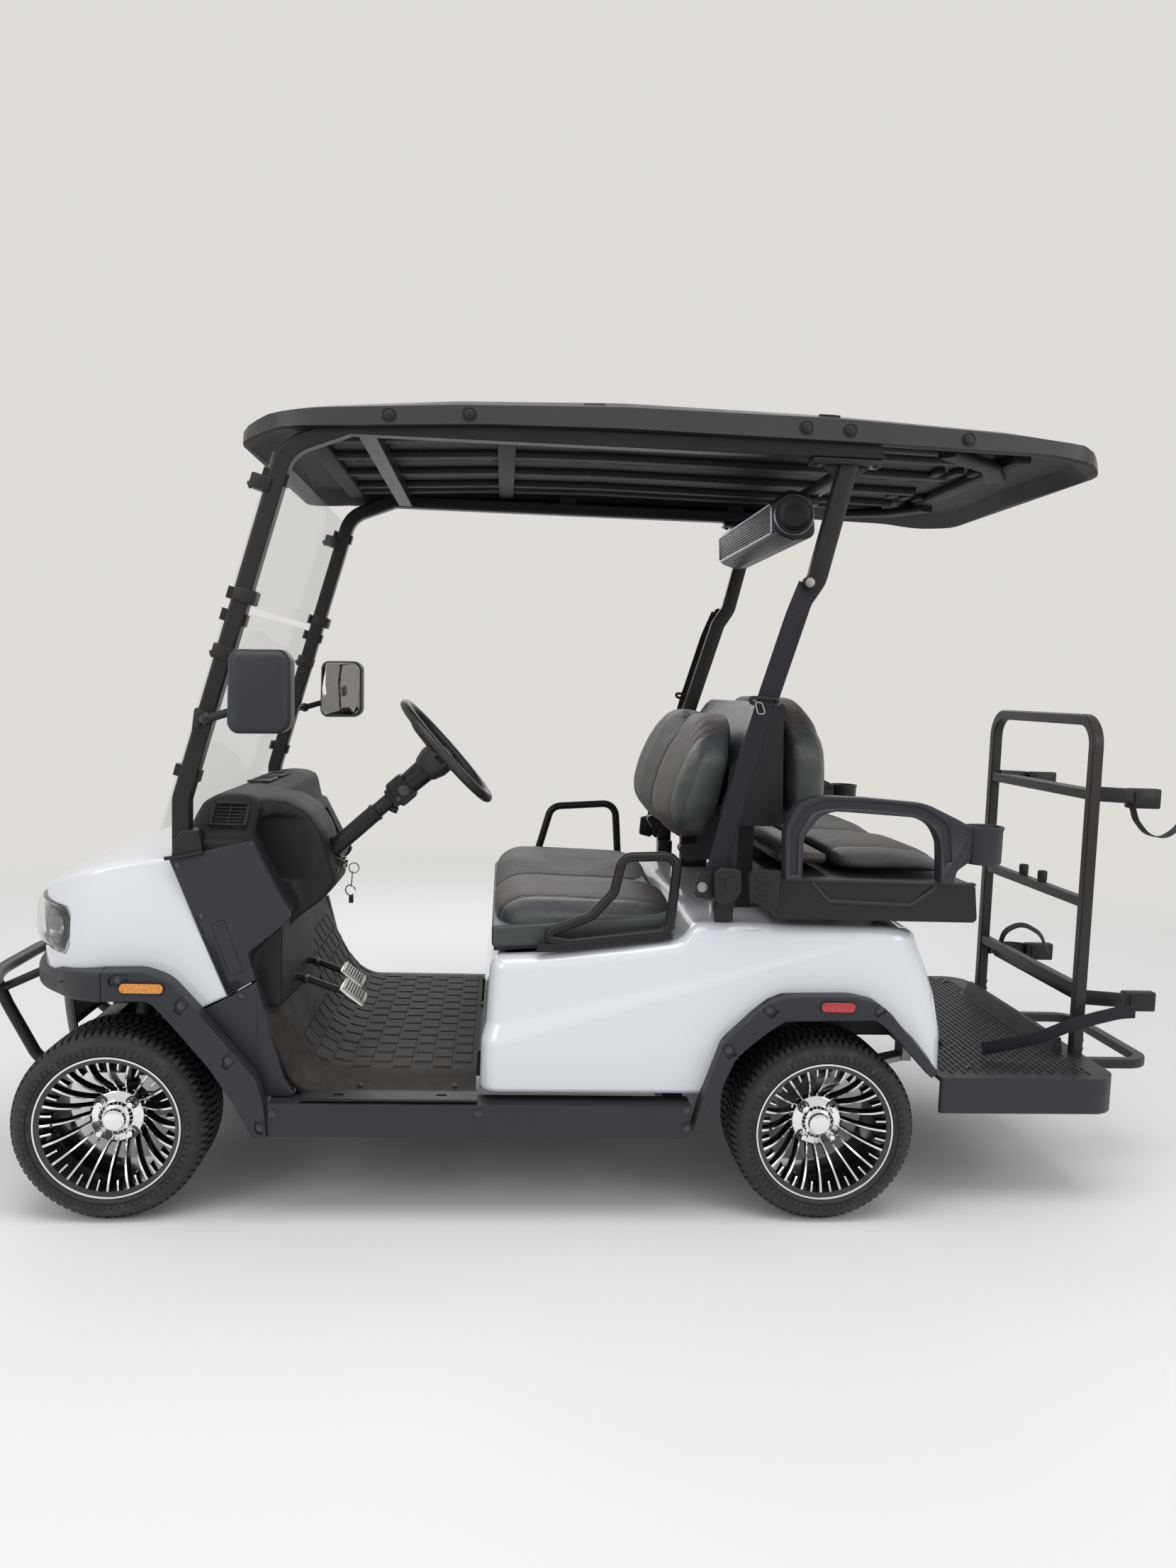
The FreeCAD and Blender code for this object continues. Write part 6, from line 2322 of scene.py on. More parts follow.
@dataclass
class Belts:
    """Seat belts from the rear struts down to their retractors behind the front bench."""

    line: tuple[tuple[float, float, float], ...] = (
        (104, 573, 1546), (134, 583, 1470), (190, 583, 1280), (230, 583, 1120), (262, 580, 1000),
                                                    (286, 576, 900),
        (292, 574, 858))
    width: float = 48.0

    def webbing(self) -> None:
        """Taut band that narrows where it passes the guide."""
        for side, name in ((1, "left"), (-1, "right")):
            form = Form()
            route = [Vector((x, side * y, z)) for x, y, z in self.line]
            form.sweep(rounded(route, 220, closed=False), soft_box(2.4, self.width, 1.1), 0,
                       level=(1, 0, 0.35))
            form.sweep(rounded([p + Vector((3, side * 3.2, 0)) for p in route[2:]], 220, closed=False),
                       soft_box(2.2, self.width - 5, 1.0), 0, level=(1, 0, 0.35))
            form.build(f"belt_webbing_{name}", Body.ROOT, [STRAP], ["seat_belts"] if side > 0 else [],
                       "webbing")

    def hardware(self) -> None:
        """Anchor bolt, guide ring, wire tongue, retractor and the buckle box behind it."""
        form = Form()
        form.rod((104, 566, 1550), (104, 590, 1550), 15, 0, 24, edge=3)
        form.bolt((104, 590, 1550), (0, 1, 0), 8.0, 1)
        ring = [(166, 590, 1276), (234, 590, 1278), (230, 584, 1264), (168, 584, 1262)]
        form.sweep(rounded(ring, 10), circle(4.5, 10), 0, closed=True)
        wire = [(222, 592, 1268), (206, 594, 1266), (196, 594, 1240), (214, 593, 1240)]
        form.sweep(rounded(wire, 5), circle(1.6, 8), 1, closed=True)
        reel = [(240, 872), (292, 876), (304, 858), (300, 800), (286, 788), (248, 800), (236, 822)]
        form.prism(Plane.SIDE, reel, 567, 612, 12, 0, 5, 3)
        form.prism(Plane.SIDE, [(296, 870), (338, 858), (342, 800), (300, 790)], 567, 584, 8, 0, 3)
        form.bolt((327, 584, 824), (0, 1, 0), 9.0, 1)
        form.rod((262, 612, 838), (262, 615, 838), 17, 0, 24, edge=1)
        box = [(142, 872), (214, 874), (222, 850), (216, 800), (158, 768), (146, 790)]
        form.prism(Plane.SIDE, box, 592, 610, 9, 0, 4, 3)
        for z in (800, 822, 844):
            form.prism(Plane.SIDE, [(168, z), (204, z + 2), (204, z + 12), (168, z + 10)], 608, 613, 3, 0, 1)
        form.mirror()
        form.build("belt_hardware", Body.ROOT, [BLACK_MOULDING, STEEL], slot="black_plastic", sharp=30)

    def build(self) -> None:
        """Makes the belts."""
        self.webbing()
        self.hardware()


@dataclass
class Armrests:
    """Moulded side arms of the rear bench with a recessed channel and a cup holder."""

    face: float = 606.0
    cup: tuple[float, float] = (-355.0, 583.0)

    def loops(self) -> None:
        """Arm loops with rounded edges."""
        outer = [(132, 848), (137, 966), (115, 1031), (58, 1051), (-53, 1049), (-201, 1039), (-277, 1005),
                 (-318, 985),
                 (-318, 905), (-285, 880), (-278, 848)]
        hole = [(-247, 848), (-240, 946), (-219, 989), (-173, 1006), (19, 1016), (55, 1004), (93, 952),
                (92, 848)]
        form = Form()
        form.prism(Plane.SIDE, outer + hole, 561, self.face,
                   [2, 60, 60, 60, 300, 80, 30, 10, 20, 20, 2, 2, 40, 60, 80, 60,
                                                             40, 60, 2], 0, 7, 4)
        form.mirror()
        piece = form.build("armrest_loops", Body.ROOT, [CHARCOAL], ["armrests"], "charcoal_plastic", sharp=30)
        centre = [(113, 862), (116, 958), (86, 1016), (38, 1033), (-60, 1032), (-186, 1023), (-250, 985),
                  (-262, 900)]
        route = rounded([Vector((x, self.face, z)) for x, z in centre], [0, 50, 50, 200, 200, 70, 40, 0],
                        closed=False)
        cutter = Form()
        cutter.sweep(route, soft_box(19, 12, 3), 0, level=(0, 1, 0))
        cutter.mirror()
        cut_away(piece, cutter)

    def cups(self) -> None:
        """Round cup holders with their ribbed brackets."""
        x, y = self.cup
        form = Form()
        form.lathe([(0.5, 903), (39, 903), (39.3, 984), (41, 988), (45, 988), (46, 984), (43.5, 976),
                    (43, 902), (39, 896),
                    (0.5, 896)], (x, y, 0), (0, 0, 1), 64, 0, closed=True)
        form.lathe([(12, 903.5), (14, 905), (16, 903.5)], (x, y, 0), (0, 0, 1), 32, 0)
        for z in (900, 936, 972):
            form.prism(Plane.PLAN, [(-312, y - 30), (-280, y - 18), (-280, y + 18), (-312, y + 30)], z, z + 5,
                       4, 0, 1)
        form.prism(Plane.SIDE, [(-314, 896), (-276, 884), (-276, 990), (-314, 988)], y - 5, y + 5, 6, 0, 2)
        form.mirror()
        form.build("cup_holders", Body.ROOT, [CHARCOAL], slot="charcoal_plastic", sharp=34)

    def seat_box(self) -> None:
        """Raised line on each side of the seat box, with its chamfered inner edge."""
        form = Form()
        route = rounded(((64, 591, 843), (20, 591, 798), (-180, 591, 792), (-240, 591, 836)), 14,
                        closed=False)
        form.sweep(route, soft_box(9, 4, 1.6), 0, level=(0, 1, 0))
        form.prism(Plane.SIDE, [(146, 845), (138, 852), (-338, 848), (-342, 842)], 574, 592.5, 2, 0, 1.5)
        form.mirror()
        form.build("seat_box_trim", Body.ROOT, [CHARCOAL], slot="charcoal_plastic", sharp=30)

    def build(self) -> None:
        """Makes the arms."""
        self.loops()
        self.cups()
        self.seat_box()


@dataclass
class RoofFittings:
    """Wing mirrors, speaker bar and pillar clamps."""

    bar_half: float = 375.0

    def mirrors(self) -> None:
        """Mirror shells with a joint line, glass and jointed arm."""
        outline = [(1416, 1346), (1300, 1349), (1281, 1332), (1279, 1180), (1300, 1163), (1404, 1160),
                   (1418, 1178)]
        form = Form()
        form.prism(Plane.SIDE, outline, 604, 690, 26, 0, 24, 6)
        form.prism(Plane.SIDE, [(x + (1348 - x) * 0.03, z + (1256 - z) * 0.03) for x, z in outline], 628, 634,
                   24, 1, 1)
        form.prism(Plane.SIDE, [(x + (1348 - x) * 0.1, z + (1256 - z) * 0.08) for x, z in outline], 600, 606,
                   22, 2, 1)
        form.sweep(rounded(((1500, 568, 1184), (1470, 636, 1190), (1396, 646, 1214)), 30, closed=False),
                   circle(9.5, 14), 1)
        form.ball((1470, 632, 1190), 15, 1)
        form.prism(Plane.SIDE, [(1484, 1152), (1520, 1158), (1514, 1214), (1480, 1206)], 566, 575, 8, 1, 2)
        form.bolt((1506, 575, 1168), (0, 1, 0), 7.0, 1)
        form.bolt((1494, 575, 1200), (0, 1, 0), 7.0, 1)
        form.mirror()
        form.build("wing_mirrors", Body.ROOT, [CHARCOAL, BLACK_MOULDING, MIRROR], ["mirrors"],
                   "black_plastic", sharp=30)

    def speaker_bar(self) -> None:
        """Speaker bar with a framed grille and a round driver at each end."""
        half = self.bar_half
        form = Form()
        outline = [(38, 1684), (50, 1790), (112, 1800), (152, 1770), (142, 1690), (92, 1674)]
        form.prism(Plane.SIDE, outline, -half, half, 22, 0, 9, 3)
        for side in (-1, 1):
            form.block((5, side * 250 - 20, 1782), (112, side * 250 + 20, 1801), 0, 2)
            ends = [(0.5, 1), (10, 3), (22, 0.5), (35, 4), (41, 9), (45, 9), (47, 6), (48, -6), (0.5, -6)]
            form.lathe(ends, (97, side * (half - 2), 1737), (0, side, 0), 48, 0, closed=True)
            form.lathe([(46.5, 5), (49, 8), (51, 5), (50, -4)], (97, side * (half - 2), 1737), (0, side, 0),
                       48, 1)
        frame_line = [Vector((150.5 if z > 1730 else 146, y, z)) for y, z in
                      ((-half + 24, 1694), (half - 24, 1694), (half - 24, 1766), (-half + 24, 1766))]
        form.sweep(rounded(frame_line, 14), soft_box(6, 6, 2), 1, closed=True)
        for k in range(9):
            z = 1702 + 7.2 * k
            x = 144.5 + 0.085 * (z - 1694)
            form.rod((x, 30 - half, z), (x, half - 30, z), 2.2, 0, 6)
        form.build("speaker_bar", Body.ROOT, [BLACK_MOULDING, LILAC_TRIM], ["sound_bar"], "black_plastic",
                   sharp=30)

    def clamps(self) -> None:
        """Clamps and knobs on the pillars."""
        form = Form()
        for x, z in ((1370, 1726), (1402, 1470), (1452, 1340)):
            form.block((x - 22, 520, z - 17), (x + 26, 573, z + 17), 0, 4,
                       Matrix.Rotation(math.radians(-16), 4, "Y"))
            form.rod((x + 20, 546, z), (x + 34, 546, z - 5), 9, 0, 16, edge=2)
        form.mirror()
        form.build("pillar_clamps", Body.ROOT, [BLACK_MOULDING], slot="black_plastic", sharp=30)

    def build(self) -> None:
        """Makes the fittings."""
        self.mirrors()
        self.speaker_bar()
        self.clamps()


@dataclass
class Tail:
    """Foot platform tread, rack details, bag straps and reflectors."""

    rack_x: float = -764.0
    plate_top: float = 341.0

    def tread(self) -> None:
        """Rows of raised dashes on the foot platform, staggered like bricks."""
        form = Form()
        for row in range(24):
            x = -338 - 16.5 * row
            shift = 18 if row % 2 else 0
            for step in range(27):
                y = -482 + 36 * step + shift
                inside = abs(y) < 492 and not (x < -690 and abs(y) < 312)
                if inside:
                    form.block((x - 2.2, y - 12, self.plate_top - 1), (x + 2.2, y + 12, self.plate_top + 2.2),
                               0)
        form.build("platform_tread", Body.ROOT, [MAT_RUBBER], slot="charcoal_plastic", sharp=30)
        screws = Form()
        for x, y in ((-420, 440), (-700, 440)):
            screws.bolt((x, y, self.plate_top), (0, 0, 1), 9.0)
        screws.mirror()
        screws.build("platform_bolts", Body.ROOT, [BOLT_BLACK], slot="black_metal")

    def cradles(self) -> None:
        """Bag cradles with padded trays on the cross bars."""
        form = Form()
        for z, reach in ((1042, -958), (486, -986)):
            for side in (1, -1):
                y = side * 296
                arm = [Vector((self.rack_x - 14, y, z + 8)), Vector((-860, y + side * 14, z + 6)),
                       Vector((reach + 60, y + side * 6, z))]
                form.sweep(rounded(arm, 60, closed=False), soft_box(8, 40, 3), 0, level=(0, 0, 1))
                form.block((reach, y - 8 - 6, z - 28), (reach + 90, y + 20 - 6, z + 26), 0, 5)
                form.block((reach + 14, y + 14, z - 20), (reach + 76, y + 18, z + 18), 0, 2)
            form.block((self.rack_x - 34, -262, z - 10), (self.rack_x - 13, 262, z + 12), 0, 4)
            form.block((self.rack_x - 40, -250, z + 12), (self.rack_x - 16, 250, z + 18), 0, 2)
        form.build("bag_cradles", Body.ROOT, [BLACK_MOULDING], ["bag_straps"], "black_plastic", sharp=30)

    def straps(self) -> None:
        """Webbing straps: a hanging loop above and a long tail that droops over the platform."""
        form = Form()
        loop = [(-872, 314, 1030), (-884, 318, 985), (-915, 320, 948), (-962, 320, 936), (-1000, 316, 962),
                (-1044, 312, 1012), (-1080, 306, 1030)]
        form.sweep(rounded(loop, 50, closed=False), soft_box(2.6, 32, 1.1), 0, level=(0, 1, 0))
        tail = [(-905, 350, 470), (-860, 358, 470), (-790, 364, 455), (-720, 366, 436), (-640, 366, 402),
                (-560, 366, 384),
                (-480, 366, 368)]
        form.sweep(rounded(tail, 160, closed=False), soft_box(2.6, 36, 1.1), 0, level=(0, 0, 1))
        arch = [(-790, -250, 505), (-800, -244, 560), (-850, -230, 590), (-905, -214, 560), (-930, -205, 500)]
        form.sweep(rounded(arch, 50, closed=False), soft_box(2.6, 30, 1.1), 0, level=(0, 1, 0))
        form.build("bag_webbing", Body.ROOT, [STRAP], slot="webbing", sharp=30)

    def rack(self) -> None:
        """Caps on the two stops of the middle bar and the bolts of the rack's feet."""
        form = Form()
        for y in (-60, 60):
            form.lathe([(0.5, 803), (11, 803), (13.5, 800), (13.5, 776), (12.5, 772)], (self.rack_x, y, 0),
                       (0, 0, 1), 24, 0)
        for y in (-313, 313):
            for z in (306, 330):
                form.bolt((self.rack_x - 15.5, y, z + 50), (-1, 0, 0), 7.0)
        form.build("rack_stops", Body.ROOT, [TYRE_RUBBER], slot="rubber")

    def markers(self) -> None:
        """Amber and red reflectors with dark rims."""
        for name, finish, low, high, face in (("amber", AMBER, (1570, 556), (1668, 578), 612),
                                              ("red", RED_LENS, (-49, 535), (33, 558), 618)):
            form = Form()
            corners = [(low[0], low[1]), (high[0], low[1]), (high[0], high[1]), (low[0], high[1])]
            rim = [(x + (3 if x == high[0] else -3), z + (3 if z == high[1] else -3)) for x, z in corners]
            form.prism(Plane.SIDE, rim, face - 1, face + 4, 13.5, 1, 1.2)
            form.prism(Plane.SIDE, corners, face + 1, face + 6, 10.5, 0, 1.6, 3)
            form.mirror()
            form.build(f"{name}_reflectors", Body.ROOT, [finish, BLACK_MOULDING],
                       ["reflectors"] if name == "amber" else [], f"{name}_lens", sharp=40)

    def build(self) -> None:
        """Makes the tail's fittings."""
        self.tread()
        self.cradles()
        self.straps()
        self.rack()
        self.markers()


def even_steps(line: Sequence[Vector], steps: int) -> list[Vector]:
    """Points at even steps along a closed line.

    Args:
        line: points of the line, in order.
        steps: number of steps.

    Returns:
        The points, in order.
    """
    loop = list(line) + [line[0]]
    runs = [(b - a).length for a, b in zip(loop, loop[1:])]
    whole = sum(runs)
    points, k, past = [], 0, 0.0
    for i in range(steps):
        at = whole * i / steps
        while at > past + runs[k]:
            past += runs[k]
            k += 1
        points.append(loop[k].lerp(loop[k + 1], (at - past) / runs[k] if runs[k] else 0.0))
    return points


@dataclass(frozen=True)
class SeatCover(Finish):
    """Seat cover: smooth vinyl bolsters round an insert with wavy stitched rows.

    The insert is a rounded field about a centre line, repeated on both sides of the cart.
    """

    along: str = "X"
    middle: float = 0.0
    half_run: float = 0.3
    side_middle: float = 0.22
    half_side: float = 0.2
    pitch: float = 0.034
    wave: float = 0.11
    softness: float = 5.0
    vinyl: tuple[float, float, float] = (0.034, 0.039, 0.041)
    insert: tuple[float, float, float] = (0.036, 0.029, 0.0245)

    def cook(self, recipe: Recipe) -> bpy.types.Material:
        """Writes the recipe.

        Args:
            recipe: the material being made.

        Returns:
            The finished material.
        """
        run = recipe.axis(self.along)
        side = recipe.axis("Y").size()
        a = ((run - self.middle) * (1 / self.half_run)).size() ** self.softness
        b = ((side - self.side_middle) * (1 / self.half_side)).size() ** self.softness
        field = a + b
        mask = 1.0 - field.step(0.97, 1.03)
        piping = (field - 1.0).size().step(0.0, 0.22)
        swing = (run * (2 * math.pi / self.wave)).sine() * 0.34
        turns = side * (1 / self.pitch)
        ridges = [((turns + sign * swing).math("FRACT") - 0.5).size().step(0.4, 0.5) for sign in (1.0, -1.0)]
        seam = ridges[0].math("MAXIMUM", ridges[1])
        stitches = ((run * (2 * math.pi / 0.0055)).sine()).step(-0.2, 0.4)
        grain = recipe.cells(420.0, "DISTANCE_TO_EDGE").step(0.0, 0.35)
        height = grain * 0.16 + piping * 0.35 + (1.0 - seam * mask) * 0.6
        deep = tuple(part * 0.34 for part in self.insert)
        pale = tuple(part * 1.5 for part in self.insert)
        tone = recipe.blend(recipe.noise(26.0, 3.0), self.insert, pale)
        stitched = recipe.blend(seam * (0.45 + 0.4 * stitches), tone, deep)
        smooth = recipe.blend(recipe.noise(6.0), self.vinyl, tuple(part * 1.45 for part in self.vinyl))
        colour = recipe.blend(mask, smooth, stitched)
        rough = 0.31 + 0.17 * mask + 0.06 * recipe.noise(18.0, 3.0)
        return recipe.surface(Base_Color=colour, Roughness=rough, Normal=recipe.relief(height, 0.0024, 0.75))


def signed_power(value: float, power: float) -> float:
    """Power that keeps the sign."""
    return math.copysign(abs(value) ** power, value)


@dataclass
class Pad:
    """A stuffed cushion: a rounded block that is bent to its place, remeshed and blown up as cloth."""

    name: str
    body: Body
    node: str
    middle: tuple[float, float, float]
    size: tuple[float, float, float]
    bend: Callable[[Vector], Vector]
    cover: Finish
    square: float = 0.32
    fill: float = 0.8
    cell: float = 9.0
    puff: float = 9.0
    crease: Callable[[Vector], float] | None = None

    def block(self) -> bpy.types.Mesh:
        """The rounded block as an even mesh in metres.

        Returns:
            The new mesh.
        """
        form = Form()
        bmesh.ops.create_uvsphere(form.bm, u_segments=96, v_segments=48, radius=1.0)
        half = Vector(self.size) / 2 - Vector((self.puff, self.puff, self.puff)) * 0.5
        for vert in form.bm.verts:
            p = vert.co.normalized()
            flat = math.hypot(p.x, p.y)
            lift = signed_power(p.z, self.square)
            reach = signed_power(flat, self.square)
            x = signed_power(p.x / flat, self.square) if flat > 1e-6 else 0.0
            y = signed_power(p.y / flat, self.square) if flat > 1e-6 else 0.0
            place = Vector((x * reach * half.x, y * reach * half.y, lift * half.z))
            vert.co = self.bend(Vector(self.middle) + place)
        bmesh.ops.remove_doubles(form.bm, verts=form.bm.verts, dist=0.01)
        form.outward()
        form.turn(TO_ROW)
        return form.mesh(self.name)

    def build(self) -> bpy.types.Object:
        """Makes the cushion.

        Returns:
            The new object.
        """
        source = placed(self.name, self.block())
        even = source.modifiers.new("even", "REMESH")
        even.mode = "VOXEL"
        even.voxel_size = self.cell * MM
        mesh = settled(source)
        bpy.data.objects.remove(source)
        piece = placed(self.name, mesh)
        start = [v.co.copy() for v in mesh.vertices]
        self.blow_up(piece)
        soft = settled(piece)
        piece.modifiers.clear()
        for vert, moved, here in zip(mesh.vertices, soft.vertices, start):
            step = moved.co - here
            if step.length > self.puff * MM:
                step *= self.puff * MM / step.length
            vert.co = here + step
        bpy.data.meshes.remove(soft)
        if self.crease:
            back = TO_ROW.inverted()
            normals = [v.normal.copy() for v in mesh.vertices]
            for vert, normal in zip(mesh.vertices, normals):
                vert.co -= normal * self.crease(back @ vert.co) * MM
        for face in mesh.polygons:
            face.use_smooth = True
        mesh.materials.append(self.cover.material())
        smooth = piece.modifiers.new("smooth", "SUBSURF")
        smooth.levels = smooth.render_levels = 1
        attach(piece, self.body.value)
        if self.node:
            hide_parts(self.node)
        LOG.info("%s: %d faces", self.name, len(mesh.polygons))
        return piece

    @staticmethod
    def blow_up(piece: bpy.types.Object) -> None:
        """Runs the cloth with air inside and no weight.

        Args:
            piece: the object that is worked on.
        """
        cloth = piece.modifiers.new("cloth", "CLOTH")
        cloth.settings.use_pressure = True
        cloth.settings.uniform_pressure_force = CLOTH_PRESSURE
        cloth.settings.quality = 4
        cloth.settings.effector_weights.gravity = 0.0
        cloth.point_cache.frame_start = 1
        cloth.point_cache.frame_end = CLOTH_FRAMES
        for number in range(1, CLOTH_FRAMES + 1):
            bpy.context.scene.frame_set(number)


def settled(piece: bpy.types.Object) -> bpy.types.Mesh:
    """Mesh of a piece with its modifiers applied.

    Args:
        piece: the object that is worked on.

    Returns:
        The new mesh.
    """
    view = bpy.context.evaluated_depsgraph_get()
    return bpy.data.meshes.new_from_object(piece.evaluated_get(view), preserve_all_data_layers=True,
                                           depsgraph=view)


class Seats:
    """Front bench, rear bench and their backrests."""

    def front_cushion(self) -> None:
        """Front bench cushion with its middle seam and smooth bolsters."""

        def bend(p: Vector) -> Vector:
            """Crowns each seat and lays the pad on the body's sloping top.

            Args:
                p: point of the rounded block.

            Returns:
                The point, in millimetres.
            """
            share = (p.z - 650) / 112
            side = abs(p.y)
            floor = 652 + max(0.0, 828 - p.x) * 0.096
            crown = 772 - 10 * max(0.0, (700 - p.x) / 330)
            crown -= 26 * math.exp(-(side / 95) ** 2) + 20 * max(0.0, (side - 400) / 125) ** 2
            crown -= 26 * max(0.0, (p.x - 740) / 88) ** 2
            return Vector((p.x, p.y * (1 - 0.02 * share), floor + (crown - floor) * share))

        def crease(p: Vector) -> float:
            """Sunk seam along the middle and round the inserts."""
            return 6 * math.exp(-(p.y / 7) ** 2) + 2.5 * math.exp(-((abs(p.y) - 440) / 6) ** 2) * (p.z > 700)

        cover = SeatCover("front_seat_cover", along="X", middle=REAR_AXLE + 0.52, half_run=0.6,
                          side_middle=0.0,
                          half_side=0.44, softness=12.0)
        pan = Form()
        skirt = [(823, 654), (824, 706), (384, 742), (373, 702), (500, 684), (700, 660)]
        pan.prism(Plane.SIDE, skirt, -517, 517, 10, 0, 16, 4)
        pan.prism(Plane.SIDE, [(818, 644), (818, 656), (500, 686), (384, 704), (384, 696), (700, 653)], -508,
                  508, 3, 1, 3)
        pan.build("front_cushion_pan", Body.FRONT_SEAT, [VINYL, BLACK_MOULDING], slot="seat_fabric", sharp=30)
        Pad("front_cushion_pad", Body.FRONT_SEAT, "front_seat_cushion", (595, 0, 706), (466, 1050, 112), bend,
            cover,
            square=0.3, puff=6.0, crease=crease).build()

    def front_back(self) -> None:
        """Two-lobed backrest."""
        lean = ((880, 316), (960, 334), (1040, 322), (1140, 290), (1250, 248))

        def bend(p: Vector) -> Vector:
            """Leans the pad and gives each lobe its round top and narrow foot.

            Args:
                p: point of the rounded block.

            Returns:
                The point, in millimetres.
            """
            y = abs(p.y)
            valley = 44 * math.exp(-(y / 75) ** 2)
            shoulder = 92 * max(0.0, (y - 240) / 265) ** 2
            z = p.z - (valley + shoulder) * max(0.0, (p.z - 1060) / 180)
            foot = 1 - 0.13 * max(0.0, (1050 - p.z) / 160) ** 2
            thick = 1 + 0.18 * math.sin(math.pi * max(0.0, min(1.0, (z - 890) / 260)))
            dip = 16 * math.exp(-(y / 40) ** 2) * (p.x > 300)
            return Vector((blend_value(lean, z) + (p.x - 300) * thick - dip, p.y * foot, z))

        def crease(p: Vector) -> float:
            """Sunk seam between the lobes."""
            return 6 * math.exp(-(p.y / 8) ** 2)

        cover = SeatCover("front_back_cover", along="Z", middle=1.05, half_run=0.33, side_middle=0.0,
                          half_side=0.41,
                          softness=4.0)
        Pad("front_back_pad", Body.ROOT, "front_backrest", (300, 0, 1067), (106, 1010, 352), bend, cover,
            square=0.4,
            crease=crease).build()

    def rear_cushion(self) -> None:
        """Rear bench cushion."""

        def bend(p: Vector) -> Vector:
            """Keeps the underside flat on its plate.

            Args:
                p: point of the rounded block.

            Returns:
                The point, in millimetres.
            """
            share = (p.z - 857) / 52
            side = abs(p.y)
            crown = 914 - 14 * math.exp(-(side / 80) ** 2) - 26 * max(0.0, (side - 330) / 170) ** 2
            crown -= 44 * max(0.0, (-180 - p.x) / 150) ** 2
            return Vector((p.x, p.y, 857 + (crown - 857) * share))

        def crease(p: Vector) -> float:
            """Sunk middle seam."""
            return 5 * math.exp(-(p.y / 7) ** 2)

        cover = SeatCover("rear_seat_cover", along="X", middle=REAR_AXLE - 0.14, half_run=0.6,
                          side_middle=0.0,
                          half_side=0.42, softness=12.0)
        ledge = Form()
        ledge.block((-6, -470, 868), (118, 470, 896), 0, 12)
        ledge.build("rear_seat_ledge", Body.ROOT, [SEAT_CLOTH], slot="seat_fabric", sharp=30)
        Pad("rear_cushion_pad", Body.REAR_SEAT, "rear_seat_cushion", (-172, 0, 883), (316, 1000, 52), bend,
            cover,
            square=0.25, puff=4.0, cell=7.0, crease=crease).build()

    def rear_back(self) -> None:
        """Rear-facing backrest with rounded shoulders."""

        def bend(p: Vector) -> Vector:
            """Leans the pad rearwards at its foot and rounds its shoulders.

            Args:
                p: point of the rounded block.

            Returns:
                The point, in millimetres.
            """
            y = abs(p.y)
            shoulder = 120 * max(0.0, (y - 190) / 300) ** 2 + 28 * math.exp(-(y / 60) ** 2)
            z = p.z - shoulder * max(0.0, (p.z - 1090) / 200)
            lean = 20 * max(0.0, (1290 - z) / 350)
            belly = 26 * math.sin(math.pi * max(0.0, min(1.0, (z - 925) / 365))) * max(0.0, (62 - p.x) / 50)
            return Vector((p.x - lean - belly, p.y, z))

        def crease(p: Vector) -> float:
            """Sunk middle seam."""
            return 5 * math.exp(-(p.y / 8) ** 2)

        cover = SeatCover("rear_back_cover", along="Z", middle=1.08, half_run=0.36, side_middle=0.0,
                          half_side=0.4,
                          softness=5.0)
        Pad("rear_back_pad", Body.ROOT, "rear_backrest", (70, 0, 1111), (96, 980, 362), bend, cover,
            square=0.4,
            crease=crease).build()

    def build(self) -> None:
        """Makes the seats."""
        self.front_cushion()
        self.front_back()
        self.rear_cushion()
        self.rear_back()


